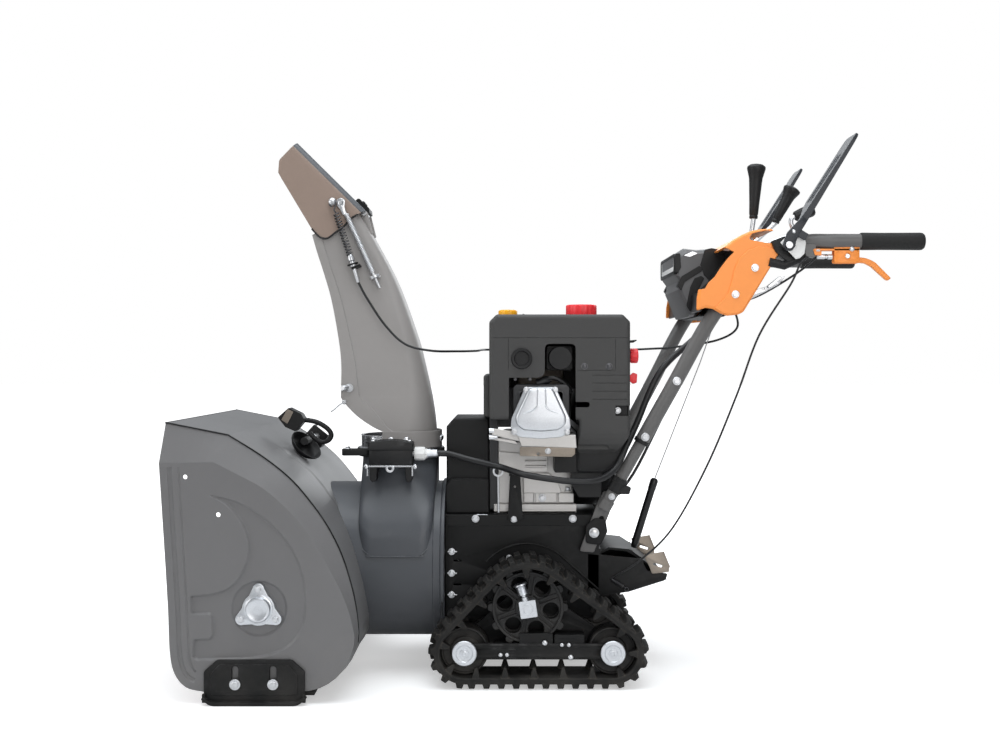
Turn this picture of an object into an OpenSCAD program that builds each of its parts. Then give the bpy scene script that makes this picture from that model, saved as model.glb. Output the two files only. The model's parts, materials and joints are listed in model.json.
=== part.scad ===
// Two-stage snow blower on rubber tracks, in millimetres.
// X runs from the intake to the handles and Z up. The origin is on the ground under the middle.

/* [Intake] */
// Clearing width over the side plates
housing_w = 660; // [600:10:720]
// Height of the top front edge
intake_h = 536; // [520:2:550]
// Depth of the side plates
housing_depth = 378; // [366:2:390]
// Thickness of the formed sheets
sheet = 3; // [2:0.5:4]
// Width of the bevel beside the wrap
bevel_w = 30; // [20:2:40]
// Drop of the bevel at the front
bevel_drop = 70; // [50:5:80]
// Height of the side plates above the ground
floor_z = 24; // [20:1:30]
// Auger axis in front of the wrap's back
auger_reach = 188; // [184:1:196]
// Height of the auger axis
auger_z = 181; // [176:1:188]
// Radius of the auger flights
auger_r = 152; // [136:2:154]
// Width of the auger ribbons
ribbon_w = 44; // [30:2:60]
// Thickness of the auger ribbons
ribbon_t = 5; // [3:0.5:7]
// Diameter of the auger and impeller shafts
shaft_d = 25.4; // [20:0.2:28]
// Length of the skid shoes
skid_l = 192; // [160:4:220]
// Height of the skid shoes
skid_h = 86; // [76:2:96]
// Depth of the scraper bar
scraper_l = 56; // [40:2:70]

/* [Impeller] */
// Outer radius of the impeller drum
drum_r = 165; // [158:1:172]
// Height of the impeller axis
drum_z = 226; // [222:1:232]
// Length of the drum behind the wrap
drum_l = 151; // [145:1:165]
// Clearance of the impeller in its drum
impeller_gap = 6; // [3:0.5:12]
// Length of the impeller blades
impeller_l = 100; // [80:5:110]

/* [Chute] */
// Chute axis in front of the drum's flange
chute_setback = 95; // [90:1:100]
// Outer radius of the chute ring
ring_r = 86; // [80:1:90]
// Radius of the ring gear's tips
gear_r = 95; // [92:0.5:98]
// Thickness of the ring gear
gear_t = 11; // [8:1:14]
// Height of the seat that the gear turns on
seat_z = 455; // [450:1:462]
// Height of the chute ring above the gear
ring_h = 29; // [20:1:40]
// Half-width of the chute's mouth
mouth_w = 62; // [54:1:64]
// Radius of the worm
worm_r = 14; // [10:1:16]

/* [Engine] */
// Height of the engine deck
deck_z = 334; // [326:2:342]
// Height of the crankshaft
crank_z = 470; // [460:2:480]
// Width of the engine shroud
shroud_w = 370; // [350:5:390]
// Height of the shroud's top
shroud_top = 749; // [740:1:760]
// Wall of the plastic covers
cover_t = 3; // [2:0.5:4]
// Diameter of the fuel cap
fuel_cap_d = 70; // [56:2:84]
// Diameter of the oil cap
oil_cap_d = 42; // [32:2:50]
// Width across the valve cover
valve_w = 120; // [104:2:126]

/* [Chassis and tracks] */
// Width of the chassis box
chassis_w = 230; // [216:2:240]
// Length of the chassis box
chassis_l = 322; // [316:1:330]
// Sheet thickness of the chassis
chassis_t = 4; // [3:0.5:6]
// Gap between the chassis and a track
track_gap = 25; // [22:1:28]
// Width of each track
track_w = 96; // [86:2:106]
// Thickness of the track's band
band_t = 13; // [9:1:15]
// Height of the outer lugs
lug_h = 11; // [7:1:13]
// Radius inside the band round the drive wheel
drive_r = 81; // [78:0.5:84]
// Radius inside the band round an idler
idler_r = 48.5; // [44:0.5:50]
// Distance between the idler axes
wheelbase = 296; // [280:4:310]
// Diameter of the drive axle
axle_d = 25; // [20:1:28]
// Diameter of the idler pins
idler_pin_d = 16; // [12:1:20]
// Diameter of the idler caps
cap_d = 50; // [40:2:54]

/* [Handles] */
// Distance between the grips
handle_w = 460; // [440:4:480]
// Height of the grips
grip_z = 892; // [884:2:900]
// Length of the grips
grip_l = 127; // [110:1:135]
// Diameter of the grips
grip_d = 35; // [33:1:40]
// Diameter of the upper tubes
tube_d = 30; // [28:1:32]
// Diameter of the lower tubes
lower_tube_d = 25; // [22:0.5:25.6]
// Wall of the handle tubes
tube_t = 2; // [1.4:0.1:2.2]
// Width of the console cover
console_w = 448; // [444:2:470]
// Thickness of the paddles
paddle_t = 12; // [8:1:14]

/* [Fits] */
// Gap between pieces that move past each other
run_gap = 0.3; // [0.2:0.1:0.6]
// Radial clearance of a shaft in its bore
bore_gap = 0.05; // [0.03:0.01:0.08]

/* [Hidden] */
$fn = 64;

// ---- places that follow from the sizes ----
chassis_back = 110;
chassis_front = chassis_back - chassis_l;
flange_t = 6;
drum_back = chassis_front - flange_t;
back_x = drum_back - drum_l;
front_x = back_x - housing_depth;
auger_x = back_x - auger_reach;
chute_x = drum_back - chute_setback;
half_w = housing_w / 2;
shaft_r = shaft_d / 2;
bore_r = shaft_r + bore_gap;

// ---- helpers ----
// Extrudes a drawing in X and Z over a stretch of Y
module xz(y0, y1) {
    translate([0, y1, 0])
        rotate([90, 0, 0])
            linear_extrude(y1 - y0)
                children();
}
// Extrudes a drawing in Y and Z over a stretch of X
module yz(x0, x1) {
    translate([x0, 0, 0])
        rotate([90, 0, 90])
            linear_extrude(x1 - x0)
                children();
}
module rod_x(r, x0, x1, y, z) {
    translate([x0, y, z])
        rotate([0, 90, 0])
            cylinder(r = r, h = x1 - x0);
}
module rod_y(r, y0, y1, x, z) {
    translate([x, y1, z])
        rotate([90, 0, 0])
            cylinder(r = r, h = y1 - y0);
}
module rod_z(r, z0, z1, x, y) {
    translate([x, y, z0])
        cylinder(r = r, h = z1 - z0);
}
module box(x0, x1, y0, y1, z0, z1) {
    translate([x0, y0, z0])
        cube([x1 - x0, y1 - y0, z1 - z0]);
}
module both_sides() {
    children();
    mirror([0, 1, 0])
        children();
}
function unit(v) = v / norm(v);
function tangent(p, i) = unit(p[min(i + 1, len(p) - 1)] - p[max(i - 1, 0)]);
// Points of a smooth curve through a route, n steps to each stretch
function smooth(p, n) = concat(
    [for (i = [0:len(p) - 2]) for (k = [0:n - 1])
        let (t = k / n, a = p[max(i - 1, 0)], b = p[i], c = p[i + 1], d = p[min(i + 2, len(p) - 1)])
        0.5 * (2 * b + (c - a) * t + (2 * a - 5 * b + 4 * c - d) * t * t
            + (3 * b - a - 3 * c + d) * t * t * t)],
    [p[len(p) - 1]]);
function ring_at(p, i, r, sides) =
    let (t = tangent(p, i), u = unit(cross([0.1, 1, 0.05], t)), v = cross(t, u))
    [for (k = [0:sides - 1]) p[i] + r * (cos(360 * k / sides) * u + sin(360 * k / sides) * v)];
function quads(a, b, n) = [for (i = [0:n - 1]) let (j = (i + 1) % n)
    each [[a + i, b + i, b + j], [a + i, b + j, a + j]]];
// Solid through a row of closed rings, each with as many points
module loft(rings) {
    n = len(rings[0]);
    m = len(rings);
    polyhedron(points = [for (r = rings) each r], faces = concat(
        [[for (i = [0:n - 1]) i]],
        [for (k = [0:m - 2]) each quads(k * n, (k + 1) * n, n)],
        [[for (i = [n - 1:-1:0]) (m - 1) * n + i]]));
}
// The same for a thin channel, whose rings run out along one face and back along the other
module channel_loft(rings) {
    n = len(rings[0]);
    m = len(rings);
    top = (m - 1) * n;
    polyhedron(points = [for (r = rings) each r], faces = concat(
        [for (i = [0:n / 2 - 2]) each [[i, i + 1, n - 2 - i], [i, n - 2 - i, n - 1 - i]]],
        [for (k = [0:m - 2]) each quads(k * n, (k + 1) * n, n)],
        [for (i = [0:n / 2 - 2]) each [[top + n - 2 - i, top + i + 1, top + i],
            [top + n - 1 - i, top + n - 2 - i, top + i]]]));
}
// Round bar along a route
module sweep(p, r, sides = 8) {
    loft([for (i = [0:len(p) - 1]) ring_at(p, i, r, sides)]);
}
// Hollow tube along a route
module tube(p, ro, ri, sides = 12) {
    m = len(p);
    inside = m * sides;
    polyhedron(points = concat([for (i = [0:m - 1]) each ring_at(p, i, ro, sides)],
        [for (i = [0:m - 1]) each ring_at(p, i, ri, sides)]), faces = concat(
        [for (k = [0:m - 2]) each quads(k * sides, (k + 1) * sides, sides)],
        [for (k = [0:m - 2]) each quads(inside + (k + 1) * sides, inside + k * sides, sides)],
        quads(inside, 0, sides),
        quads((m - 1) * sides, inside + (m - 1) * sides, sides)));
}

// ---- intake housing ----
nose_l = 27;
lip_rise = 6;
wrap_z = 130;
wrap_power = 1.11;
side_top = intake_h - 78;
wrap_a = housing_depth - nose_l;
wrap_b = intake_h - lip_rise - wrap_z;
heel_r = wrap_z - floor_z;
heel_x = front_x + nose_l + wrap_a - heel_r;
bevel_in = 14;
// Outline of the housing, drawn in by tuck at the back, by drop at the top and by skin all round
function housing_outline(tuck, drop, skin, nose) = concat(
    [for (t = [-90:15:-15]) [heel_x + (heel_r - tuck - skin) * cos(t), wrap_z + (heel_r - skin) * sin(t)]],
    [for (t = [0:7.5:90]) [front_x + nose_l + (wrap_a - tuck - skin) * pow(cos(t), wrap_power),
        wrap_z + (wrap_b - drop - skin) * pow(sin(t), wrap_power)]],
    nose);
function open_nose(top) = [[front_x - 80, top - sheet], [front_x - 80, floor_z + sheet]];
module housing_form() {
    hull() {
        xz(-half_w, half_w)
            polygon(housing_outline(bevel_in, bevel_drop, 0,
                [[front_x, side_top], [front_x + 21, 88], [front_x + 50, floor_z]]));
        xz(bevel_w - half_w, half_w - bevel_w)
            polygon(housing_outline(0, 0, 0,
                [[front_x + 5, intake_h], [front_x + 21, 88], [front_x + 50, floor_z]]));
    }
}
module housing_space() {
    hull() {
        xz(sheet - half_w, half_w - sheet)
            polygon(housing_outline(bevel_in, bevel_drop, sheet, open_nose(side_top)));
        xz(bevel_w + sheet / 2 - half_w, half_w - bevel_w - sheet / 2)
            polygon(housing_outline(0, 0, sheet, open_nose(intake_h)));
    }
}
drift_hole_r = 4.5;
drift_holes = [[front_x + 50, side_top - 25], [front_x + 113, side_top - 97]];
cup_hole_r = 20;
module auger_housing() {
    color([0.41, 0.41, 0.42])
        difference() {
            housing_form();
            housing_space();
            box(front_x - 20, heel_x, sheet - half_w, half_w - sheet, -10, floor_z + 20);
            rod_x(drum_r - sheet, back_x - 160, drum_back, 0, drum_z);
            rod_y(cup_hole_r, -half_w - 5, half_w + 5, auger_x, auger_z);
            for (hole = drift_holes)
                rod_y(drift_hole_r, -half_w - 5, half_w + 5, hole.x, hole.y);
        }
}
scraper_t = 8;
module scraper_bar() {
    color([0.12, 0.12, 0.13])
        box(heel_x + 24 - scraper_l, heel_x + 24, sheet - half_w, half_w - sheet,
            floor_z - scraper_t, floor_z);
}

// ---- skid shoes ----
skid_x = auger_x - 7;
skid_t = 7;
sole_t = 8;
skid_slot_x = 36;
slot_w = 13;
slot_z = [38, 68];
sole_out = 15;
sole_in = sheet - 0.5;
module skid_plate() {
    w = skid_l / 2;
    difference() {
        xz(-half_w - skid_t, -half_w)
            polygon([[skid_x - w, sole_t], [skid_x + w, sole_t], [skid_x + w, skid_h - 20],
                [skid_x + w - 22, skid_h], [skid_x - w + 22, skid_h], [skid_x - w, skid_h - 20]]);
        for (s = [-1, 1])
            xz(-half_w - skid_t - 1, -half_w + 1)
                hull()
                    for (z = slot_z)
                        translate([skid_x + s * skid_slot_x, z])
                            circle(d = slot_w);
    }
    xz(-half_w - sole_out, sole_in - half_w)
        polygon([[skid_x - w - 4, 14], [skid_x - w + 14, 0], [skid_x + w - 14, 0], [skid_x + w + 4, 14],
            [skid_x + w - 2, 17], [skid_x + w - 17, sole_t], [skid_x - w + 17, sole_t],
            [skid_x - w + 2, 17]]);
}
module skid_shoes() {
    color([0.1, 0.1, 0.11])
        both_sides()
            skid_plate();
}

// ---- auger ----
cup_r = 24;
cup_h = 13;
lobe_r = 34;
bearing_r = shaft_r + 13;
module shaft_bearings() {
    color([0.8, 0.8, 0.82]) {
        difference() {
            rod_x(bearing_r, drum_back - 6, chassis_front + 8, 0, drum_z);
            rod_x(bore_r, drum_back - 7, chassis_front + 9, 0, drum_z);
        }
        both_sides()
            difference() {
                union() {
                    xz(-half_w - 3, -half_w)
                        hull()
                            for (a = [90, 210, 330])
                                translate([auger_x + lobe_r * cos(a), auger_z + lobe_r * sin(a)])
                                    circle(r = 9);
                    rod_y(cup_r, -half_w - cup_h, -half_w - 3, auger_x, auger_z);
                    rod_y(cup_hole_r - bore_gap, -half_w, -half_w + 12, auger_x, auger_z);
                }
                rod_y(bore_r, -half_w - cup_h + 3, -half_w + 13, auger_x, auger_z);
            }
    }
}
case_w = 80;
case_r = 54;
snout_l = 96;
module gearbox_case() {
    color([0.2, 0.2, 0.21])
        difference() {
            union() {
                rod_y(case_r, -case_w / 2, case_w / 2, auger_x, auger_z);
                rod_x(shaft_r + 17, auger_x, auger_x + snout_l, 0, drum_z);
            }
            rod_y(bore_r, -case_w, case_w, auger_x, auger_z);
            rod_x(bore_r, auger_x + 20, auger_x + snout_l + 1, 0, drum_z);
        }
}
module auger_shaft() {
    color([0.5, 0.5, 0.52])
        rod_y(shaft_r, 6 - half_w - cup_h, half_w + cup_h - 6, auger_x, auger_z);
}
hub_r = shaft_r + 7;
flight_from = case_w / 2 + 14;
flight_to = half_w - 20;
flight_turn = 300;
tooth_depth = 9;
function flight_y(a) = flight_from + (flight_to - flight_from) * a / flight_turn;
function flight_ring(i, start) = let (a = i * 7.5, w = start + a, y = flight_y(a),
    ro = i % 4 < 2 ? auger_r : auger_r - tooth_depth, ri = auger_r - ribbon_w, h = ribbon_t / 2)
    [[ri * cos(w), y - h, ri * sin(w)], [ro * cos(w), y - h, ro * sin(w)],
        [ro * cos(w), y + h, ro * sin(w)], [ri * cos(w), y + h, ri * sin(w)]];
module auger_half() {
    translate([auger_x, 0, auger_z]) {
        for (start = [20, 200]) {
            loft([for (i = [0:flight_turn / 7.5]) flight_ring(i, start)]);
            for (a = [15, 150, 285])
                translate([0, flight_y(a), 0])
                    rotate([0, -start - a, 0])
                        translate([hub_r - 3, -4, -11])
                            cube([auger_r - ribbon_w - hub_r + 13, 8, 22]);
        }
        difference() {
            rod_y(hub_r, flight_from - 10, flight_to + 4, 0, 0);
            rod_y(bore_r, flight_from - 11, flight_to + 5, 0, 0);
        }
    }
}
module auger_flights() {
    color([0.75, 0.3, 0.12])
        both_sides()
            auger_half();
}

// ---- drum, throat and impeller ----
throat_l = 144;
throat_w = 161;
throat_top = seat_z - 6;
neck_r = ring_r - 6;
module throat_form(skin) {
    hull() {
        translate([chute_x, 0, drum_z + 42])
            linear_extrude(14)
                square([throat_l - 2 * skin, 2 * (throat_w - skin)], center = true);
        rod_z(ring_r - 3 - skin, throat_top - 4, throat_top + (skin > 0 ? 1 : 0), chute_x, 0);
    }
}
module impeller_drum() {
    color([0.28, 0.29, 0.32]) {
        difference() {
            union() {
                rod_x(drum_r, back_x - 105, drum_back, 0, drum_z);
                rod_x(drum_r + 7, drum_back, chassis_front, 0, drum_z);
            }
            rod_x(drum_r - sheet, back_x - 106, drum_back, 0, drum_z);
            rod_x(bearing_r, drum_back - 1, chassis_front + 1, 0, drum_z);
            housing_form();
            throat_form(sheet);
            both_sides()
                box(drum_back - 2, chassis_front + 1, clip_y, drum_r + 10, 0, axle_z);
        }
        difference() {
            throat_form(0);
            throat_form(sheet);
            rod_x(drum_r, back_x - 106, drum_back + 1, 0, drum_z);
        }
        difference() {
            union() {
                rod_z(gear_r - 2, throat_top, seat_z - run_gap, chute_x, 0);
                rod_z(neck_r, throat_top, seat_z + gear_t + 12, chute_x, 0);
            }
            rod_z(neck_r - sheet, throat_top - 1, seat_z + gear_t + 13, chute_x, 0);
        }
    }
}
impeller_r = drum_r - sheet - impeller_gap;
impeller_back = drum_back - 24;
module impeller() {
    color([0.75, 0.3, 0.12])
        difference() {
            union() {
                rod_x(hub_r, impeller_back - impeller_l, impeller_back, 0, drum_z);
                rod_x(impeller_r * 0.7, impeller_back - 5, impeller_back, 0, drum_z);
                for (a = [0:90:270])
                    translate([0, 0, drum_z])
                        rotate([a, 0, 0]) {
                            box(impeller_back - impeller_l, impeller_back, -3, 3, hub_r - 4, impeller_r - 4);
                            box(impeller_back - impeller_l, impeller_back, -3, 22,
                                impeller_r - 10, impeller_r - 4);
                        }
            }
            rod_x(bore_r, impeller_back - impeller_l - 1, impeller_back + 1, 0, drum_z);
        }
}
pulley_x = [chassis_front + 26, chassis_front + 46];
big_pulley_r = 92;
small_pulley_r = 32;
groove = 8;
module pulley(r, z) {
    mid = (pulley_x[0] + pulley_x[1]) / 2;
    translate([mid, 0, z])
        rotate([0, 90, 0])
            rotate_extrude()
                polygon([[0, -10], [r, -10], [r - groove, -5], [r - groove, 5], [r, 10], [0, 10]]);
}
module impeller_shaft() {
    color([0.5, 0.5, 0.52]) {
        rod_x(shaft_r, auger_x + 22, pulley_x[1] + 12, 0, drum_z);
        pulley(big_pulley_r, drum_z);
    }
}
module crankshaft() {
    color([0.55, 0.55, 0.57]) {
        rod_x(shaft_r - 0.2, pulley_x[0] - 8, 92, 0, crank_z);
        pulley(small_pulley_r, crank_z);
        rod_x(100, 82, 102, 0, crank_z);
    }
}
module belt_loop(shift) {
    hull() {
        translate([0, drum_z])
            circle(r = big_pulley_r - groove + run_gap + shift);
        translate([0, crank_z])
            circle(r = small_pulley_r - groove + run_gap + shift);
    }
}
module drive_belt() {
    mid = (pulley_x[0] + pulley_x[1]) / 2;
    color([0.08, 0.08, 0.08])
        yz(mid - 4.4, mid + 4.4)
            difference() {
                belt_loop(7);
                belt_loop(0);
            }
}

// ---- chute ----
chute_t = 2.5;
chute_base = seat_z + gear_t + ring_h;
// Ring of the open channel: heights at the back and front edges, places of those edges, half-width, bend
function channel(zb, zf, xb, xf, w, r) = let (
    outer = concat([[xf, -w]], [for (a = [-90:15:0]) [xb - r + r * cos(a), r - w + r * sin(a)]],
        [for (a = [0:15:90]) [xb - r + r * cos(a), w - r + r * sin(a)]], [[xf, w]]),
    s = r - chute_t,
    inner = concat([[xf, w - chute_t]], [for (a = [90:-15:0]) [xb - r + s * cos(a), w - r + s * sin(a)]],
        [for (a = [0:-15:-90]) [xb - r + s * cos(a), r - w + s * sin(a)]], [[xf, chute_t - w]]))
    [for (q = concat(outer, inner)) [chute_x + q.x, q.y, zb + (q.x - xb) * (zf - zb) / (xf - xb)]];
base_w = ring_r - 2;
// Rises of the channel's rings above its base: back edge, front edge, and the places of both
chute_plan = [[0, 0, 78, -5, 0, 75], [20, 15, 74, -45, 0.08, 66], [40, 37, 69, -80, 0.14, 58],
    [60, 58, 64, -103, 0.19, 52], [79, 79, 60, -120, 0.25, 46], [151, 151, 41, -120, 0.42, 36],
    [205, 205, 21, -127, 0.58, 30], [289, 289, -4, -143, 0.8, 24], [350, 350, -30, -161, 1, 18],
    [479, 428, -86, -185, 1, 14]];
hinge_x = chute_x - 77;
hinge_z = chute_base + 478;
pin_r = 4;
barrel_r = 6;
cross_bolt_r = 5;
cross_bolt = [chute_x - 104, chute_base + 102];
module chute() {
    color([0.57, 0.56, 0.55])
        difference() {
            channel_loft([for (c = chute_plan) channel(chute_base + c[0], chute_base + c[1], c[2], c[3],
                base_w + (mouth_w - base_w) * c[4], c[5])]);
            rod_y(cross_bolt_r + bore_gap, -base_w, base_w, cross_bolt.x, cross_bolt.y);
        }
}
teeth = 60;
tooth_h = 4;
module chute_gear() {
    color([0.1, 0.1, 0.1])
        translate([chute_x, 0, seat_z])
            linear_extrude(gear_t)
                difference() {
                    polygon([for (i = [0:teeth - 1]) for (k = [[0, 0], [0.25, 1], [0.5, 1], [0.75, 0]])
                        let (a = 360 * (i + k[0]) / teeth, r = gear_r - tooth_h + tooth_h * k[1])
                        [r * cos(a), r * sin(a)]]);
                    circle(r = ring_r - 3);
                }
    color([0.75, 0.75, 0.76])
        difference() {
            rod_z(ring_r, seat_z + gear_t, chute_base, chute_x, 0);
            rod_z(ring_r - 3, seat_z + gear_t - 1, chute_base + 1, chute_x, 0);
        }
}
// Grommet that guides the deflector's rod, and the eye at the rod's upper end
grommet = [chute_x - 50, hinge_z - 140];
eye = [hinge_x - 45, hinge_z + 17];
rod_y_at = -(mouth_w + 10);
rod_angle = atan2(eye.y - grommet.y, eye.x - grommet.x);
rod_r = 3;
module along_rod(from, to, r, y = rod_y_at) {
    translate([grommet.x, y, grommet.y])
        rotate([0, 90 - rod_angle, 0])
            translate([0, 0, from])
                cylinder(r = r, h = to - from);
}
sleeve_low = [grommet.x - 37, grommet.y - 3];
sleeve_high = [grommet.x - 49, grommet.y + 36];
sleeve_y = -(mouth_w + 17);
module chute_hardware() {
    color([0.78, 0.78, 0.8]) {
        // lugs and pin of the deflector's hinge
        both_sides()
            difference() {
                xz(-38, -32)
                    polygon([[hinge_x - 6.2, hinge_z - 5], [hinge_x + 12, hinge_z - 45],
                        [hinge_x + 17, hinge_z - 45], [hinge_x + 7, hinge_z + 2], [hinge_x - 1, hinge_z + 7],
                        [hinge_x - 7, hinge_z + 3]]);
                rod_y(pin_r - 0.5, -50, 50, hinge_x, hinge_z);
            }
        rod_y(pin_r, -42, 42, hinge_x, hinge_z);
        // grommet bracket
        difference() {
            translate([grommet.x, 0, grommet.y])
                rotate([0, 90 - rod_angle, 0])
                    translate([-10, rod_y_at - 9, -2])
                        cube([20, 22 - (rod_y_at + mouth_w), 4]);
            along_rod(-10, 10, rod_r + 3.2);
            chute_inside();
        }
        // cable sleeve and its holder
        sweep([[sleeve_low.x, sleeve_y, sleeve_low.y], [sleeve_high.x, sleeve_y, sleeve_high.y]], 4, 12);
        difference() {
            box(sleeve_high.x - 8, sleeve_high.x + 8, sleeve_y - 5, 2 - mouth_w,
                sleeve_high.y - 12, sleeve_high.y - 8);
            chute_inside();
        }
        // bolts across the front of the channel
        rod_y(cross_bolt_r, -base_w, base_w, cross_bolt.x, cross_bolt.y);
        both_sides()
            rod_y(cross_bolt_r + 4, -base_w, 6 - base_w, cross_bolt.x, cross_bolt.y);
    }
}
module chute_inside() {
    loft([for (c = chute_plan) let (w = base_w + (mouth_w - base_w) * c[4] + 0.05, z = chute_base + c[0])
        [[chute_x - 200, -w, z], [chute_x + 30, -w, z], [chute_x + 30, w, z], [chute_x - 200, w, z]]]);
}
hook_pin_r = 3;
spring_low = [sleeve_high.x + 1, sleeve_y, sleeve_high.y + 3];
spring_hook = [eye.x - 17, sleeve_y, eye.y];
module deflector_spring() {
    end = spring_hook - (hook_pin_r + run_gap) * unit(spring_hook - spring_low);
    color([0.15, 0.15, 0.15])
        sweep([spring_low, end], 5, 12);
}
hood_gap = 0.5;
hood_w = mouth_w + hood_gap + chute_t;
module deflector() {
    color([0.56, 0.51, 0.48])
        difference() {
            union() {
                difference() {
                    xz(-hood_w, hood_w)
                        polygon([[hinge_x - 145, hinge_z + 149], [hinge_x - 181, hinge_z + 110],
                            [hinge_x - 181, hinge_z + 84], [hinge_x - 108, hinge_z - 39],
                            [hinge_x - 76, hinge_z - 58], [hinge_x - 42, hinge_z - 42],
                            [hinge_x + 3, hinge_z - 4], [hinge_x + 7, hinge_z + 3]]);
                    xz(chute_t - hood_w, hood_w - chute_t)
                        polygon([[hinge_x - 165, hinge_z + 162], [hinge_x - 260, hinge_z - 80],
                            [hinge_x + 40, hinge_z - 80], [hinge_x + 40, hinge_z - 35]]);
                    both_sides()
                        rod_y(barrel_r + 4, 31.5, 39, hinge_x, hinge_z);
                }
                rod_y(barrel_r, -31, 31, hinge_x, hinge_z);
                rod_y(hook_pin_r, rod_y_at - 5, -mouth_w - hood_gap, eye.x, eye.y);
                rod_y(hook_pin_r, sleeve_y - 7, -mouth_w - hood_gap, spring_hook.x, spring_hook.z);
            }
            rod_y(pin_r + bore_gap, -60, 60, hinge_x, hinge_z);
        }
}
module deflector_rod() {
    length = norm(eye - grommet);
    color([0.8, 0.8, 0.82]) {
        along_rod(-18, length - 8, rod_r);
        difference() {
            rod_y(8, rod_y_at - 3, rod_y_at + 3, eye.x, eye.y);
            rod_y(hook_pin_r + bore_gap, rod_y_at - 9, rod_y_at + 9, eye.x, eye.y);
        }
    }
}

// ---- chute drive ----
worm_y = -(gear_r + worm_r + run_gap);
drive_x = [chute_x - 56, chute_x + 34];
fitting_x = chute_x + 86;
module chute_drive() {
    color([0.1, 0.1, 0.1])
        difference() {
            union() {
                box(drive_x[0], drive_x[1], worm_y - worm_r - 12, worm_y + worm_r + 7, seat_z - 23, seat_z + 30);
                yz(drive_x[0] + 4, drive_x[1] - 4)
                    polygon([[worm_y - 22, seat_z + 30], [worm_y - 12, seat_z + 35],
                        [worm_y + 12, seat_z + 35], [worm_y + 20, seat_z + 30]]);
                box(drive_x[0], drive_x[1], worm_y - 10, -50, throat_top - 6, throat_top);
                box(drive_x[0] - 62, drive_x[0], worm_y - 12, worm_y + 4, seat_z, seat_z + 14);
            }
            rod_x(worm_r + 1, drive_x[0] + 8, drive_x[1] - 8, worm_y, seat_z + gear_t / 2);
            rod_z(gear_r + 1, seat_z - 1, seat_z + gear_t + 1, chute_x, 0);
            rod_z(ring_r + 2, seat_z - 1, seat_z + 60, chute_x, 0);
            rod_z(gear_r - 2, throat_top, seat_z, chute_x, 0);
            rod_x(6 + bore_gap, drive_x[0] - 1, drive_x[1] + 1, worm_y, seat_z + gear_t / 2);
            rod_z(5, seat_z - 5, seat_z + 20, drive_x[0] - 50, worm_y - 4);
            throat_form(0);
        }
    color([0.85, 0.85, 0.86])
        difference() {
            union() {
                rod_x(13, drive_x[1], drive_x[1] + 24, worm_y, seat_z + gear_t / 2);
                rod_x(9, drive_x[1] + 24, fitting_x, worm_y, seat_z + gear_t / 2);
            }
            rod_x(6.5, drive_x[1] - 1, fitting_x - 8, worm_y, seat_z + gear_t / 2);
            rod_x(6.9, fitting_x - 8.1, fitting_x + 1, worm_y, seat_z + gear_t / 2);
        }
}
module chute_worm() {
    rod_x(6, drive_x[0] + 1, fitting_x - 9, worm_y, seat_z + gear_t / 2);
    for (i = [0:8])
        rod_x(worm_r, drive_x[0] + 14 + 7 * i, drive_x[0] + 17 + 7 * i, worm_y, seat_z + gear_t / 2);
    rod_x(worm_r - 4, drive_x[0] + 12, drive_x[1] - 12, worm_y, seat_z + gear_t / 2);
}

// ---- chassis ----
axle_x = -41;
axle_z = 159;
chassis_half = chassis_w / 2;
chassis_low = 120;
axle_bore = axle_d / 2 + bore_gap;
module chassis() {
    color([0.1, 0.1, 0.11]) {
        difference() {
            box(chassis_front, chassis_back, -chassis_half, chassis_half, chassis_low, deck_z);
            box(chassis_front + chassis_t, chassis_back - chassis_t, chassis_t - chassis_half,
                chassis_half - chassis_t, chassis_low - 1, deck_z - chassis_t);
            rod_x(bearing_r, chassis_front - 1, chassis_front + 20, 0, drum_z);
            rod_y(axle_bore, -chassis_half - 1, chassis_half + 1, axle_x, axle_z);
            box(pulley_x[0] - 6, pulley_x[1] + 6, -78, 78, deck_z - 20, deck_z + 1);
        }
        box(chassis_front, chassis_back, -chassis_half, chassis_half, chassis_low - 3, chassis_low);
    }
}
module transmission() {
    color([0.3, 0.3, 0.31])
        difference() {
            box(axle_x - 42, axle_x + 66, -70, 70, chassis_low + 6, axle_z + 72);
            rod_y(axle_bore, -71, 71, axle_x, axle_z);
        }
}
cover_top = crank_z + 64;
cover_step = deck_z + 74;
cover_back = -120;
module belt_cover_form(skin) {
    xz(skin - 92, 92 - skin)
        polygon([[chassis_front + 1 + skin, deck_z - skin], [cover_back - skin, deck_z - skin],
            [cover_back - skin, cover_top - skin], [chassis_front + 21 + skin / 2, cover_top - skin],
            [chassis_front + 1 + skin, cover_top - 20 - skin / 2]]);
    box(chassis_front + 1 + skin, cover_back - skin, skin - 104, 104 - skin, deck_z - skin, cover_step - skin);
}
module belt_cover() {
    color([0.13, 0.13, 0.14])
        difference() {
            belt_cover_form(0);
            belt_cover_form(cover_t);
            rod_x(shaft_r + 4, cover_back - 10, cover_back + 1, 0, crank_z);
        }
}
tray_l = 144;
tray_top = 262;
module rear_tray() {
    end = chassis_back + tray_l;
    color([0.1, 0.1, 0.11])
        difference() {
            xz(-chassis_half, chassis_half)
                polygon([[chassis_back, tray_top], [end, tray_top - 18], [end, tray_top - 57],
                    [chassis_back + 55, 169], [chassis_back, 169]]);
            xz(sheet - chassis_half, chassis_half - sheet)
                polygon([[chassis_back + sheet, tray_top - sheet], [end - sheet, tray_top - 21],
                    [end - sheet, tray_top - 55], [chassis_back + 54, 172], [chassis_back + sheet, 172]]);
            box(chassis_back + sheet, chassis_back + 60, 20 - chassis_half, chassis_half - 20,
                tray_top - 30, tray_top + 1);
        }
    color([0.62, 0.62, 0.61])
        both_sides()
            xz(-chassis_half - 3, -chassis_half)
                polygon([[end - 52, tray_top - 12], [end + 2, tray_top - 4], [end + 2, tray_top - 48],
                    [end - 34, tray_top - 52]]);
}

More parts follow.
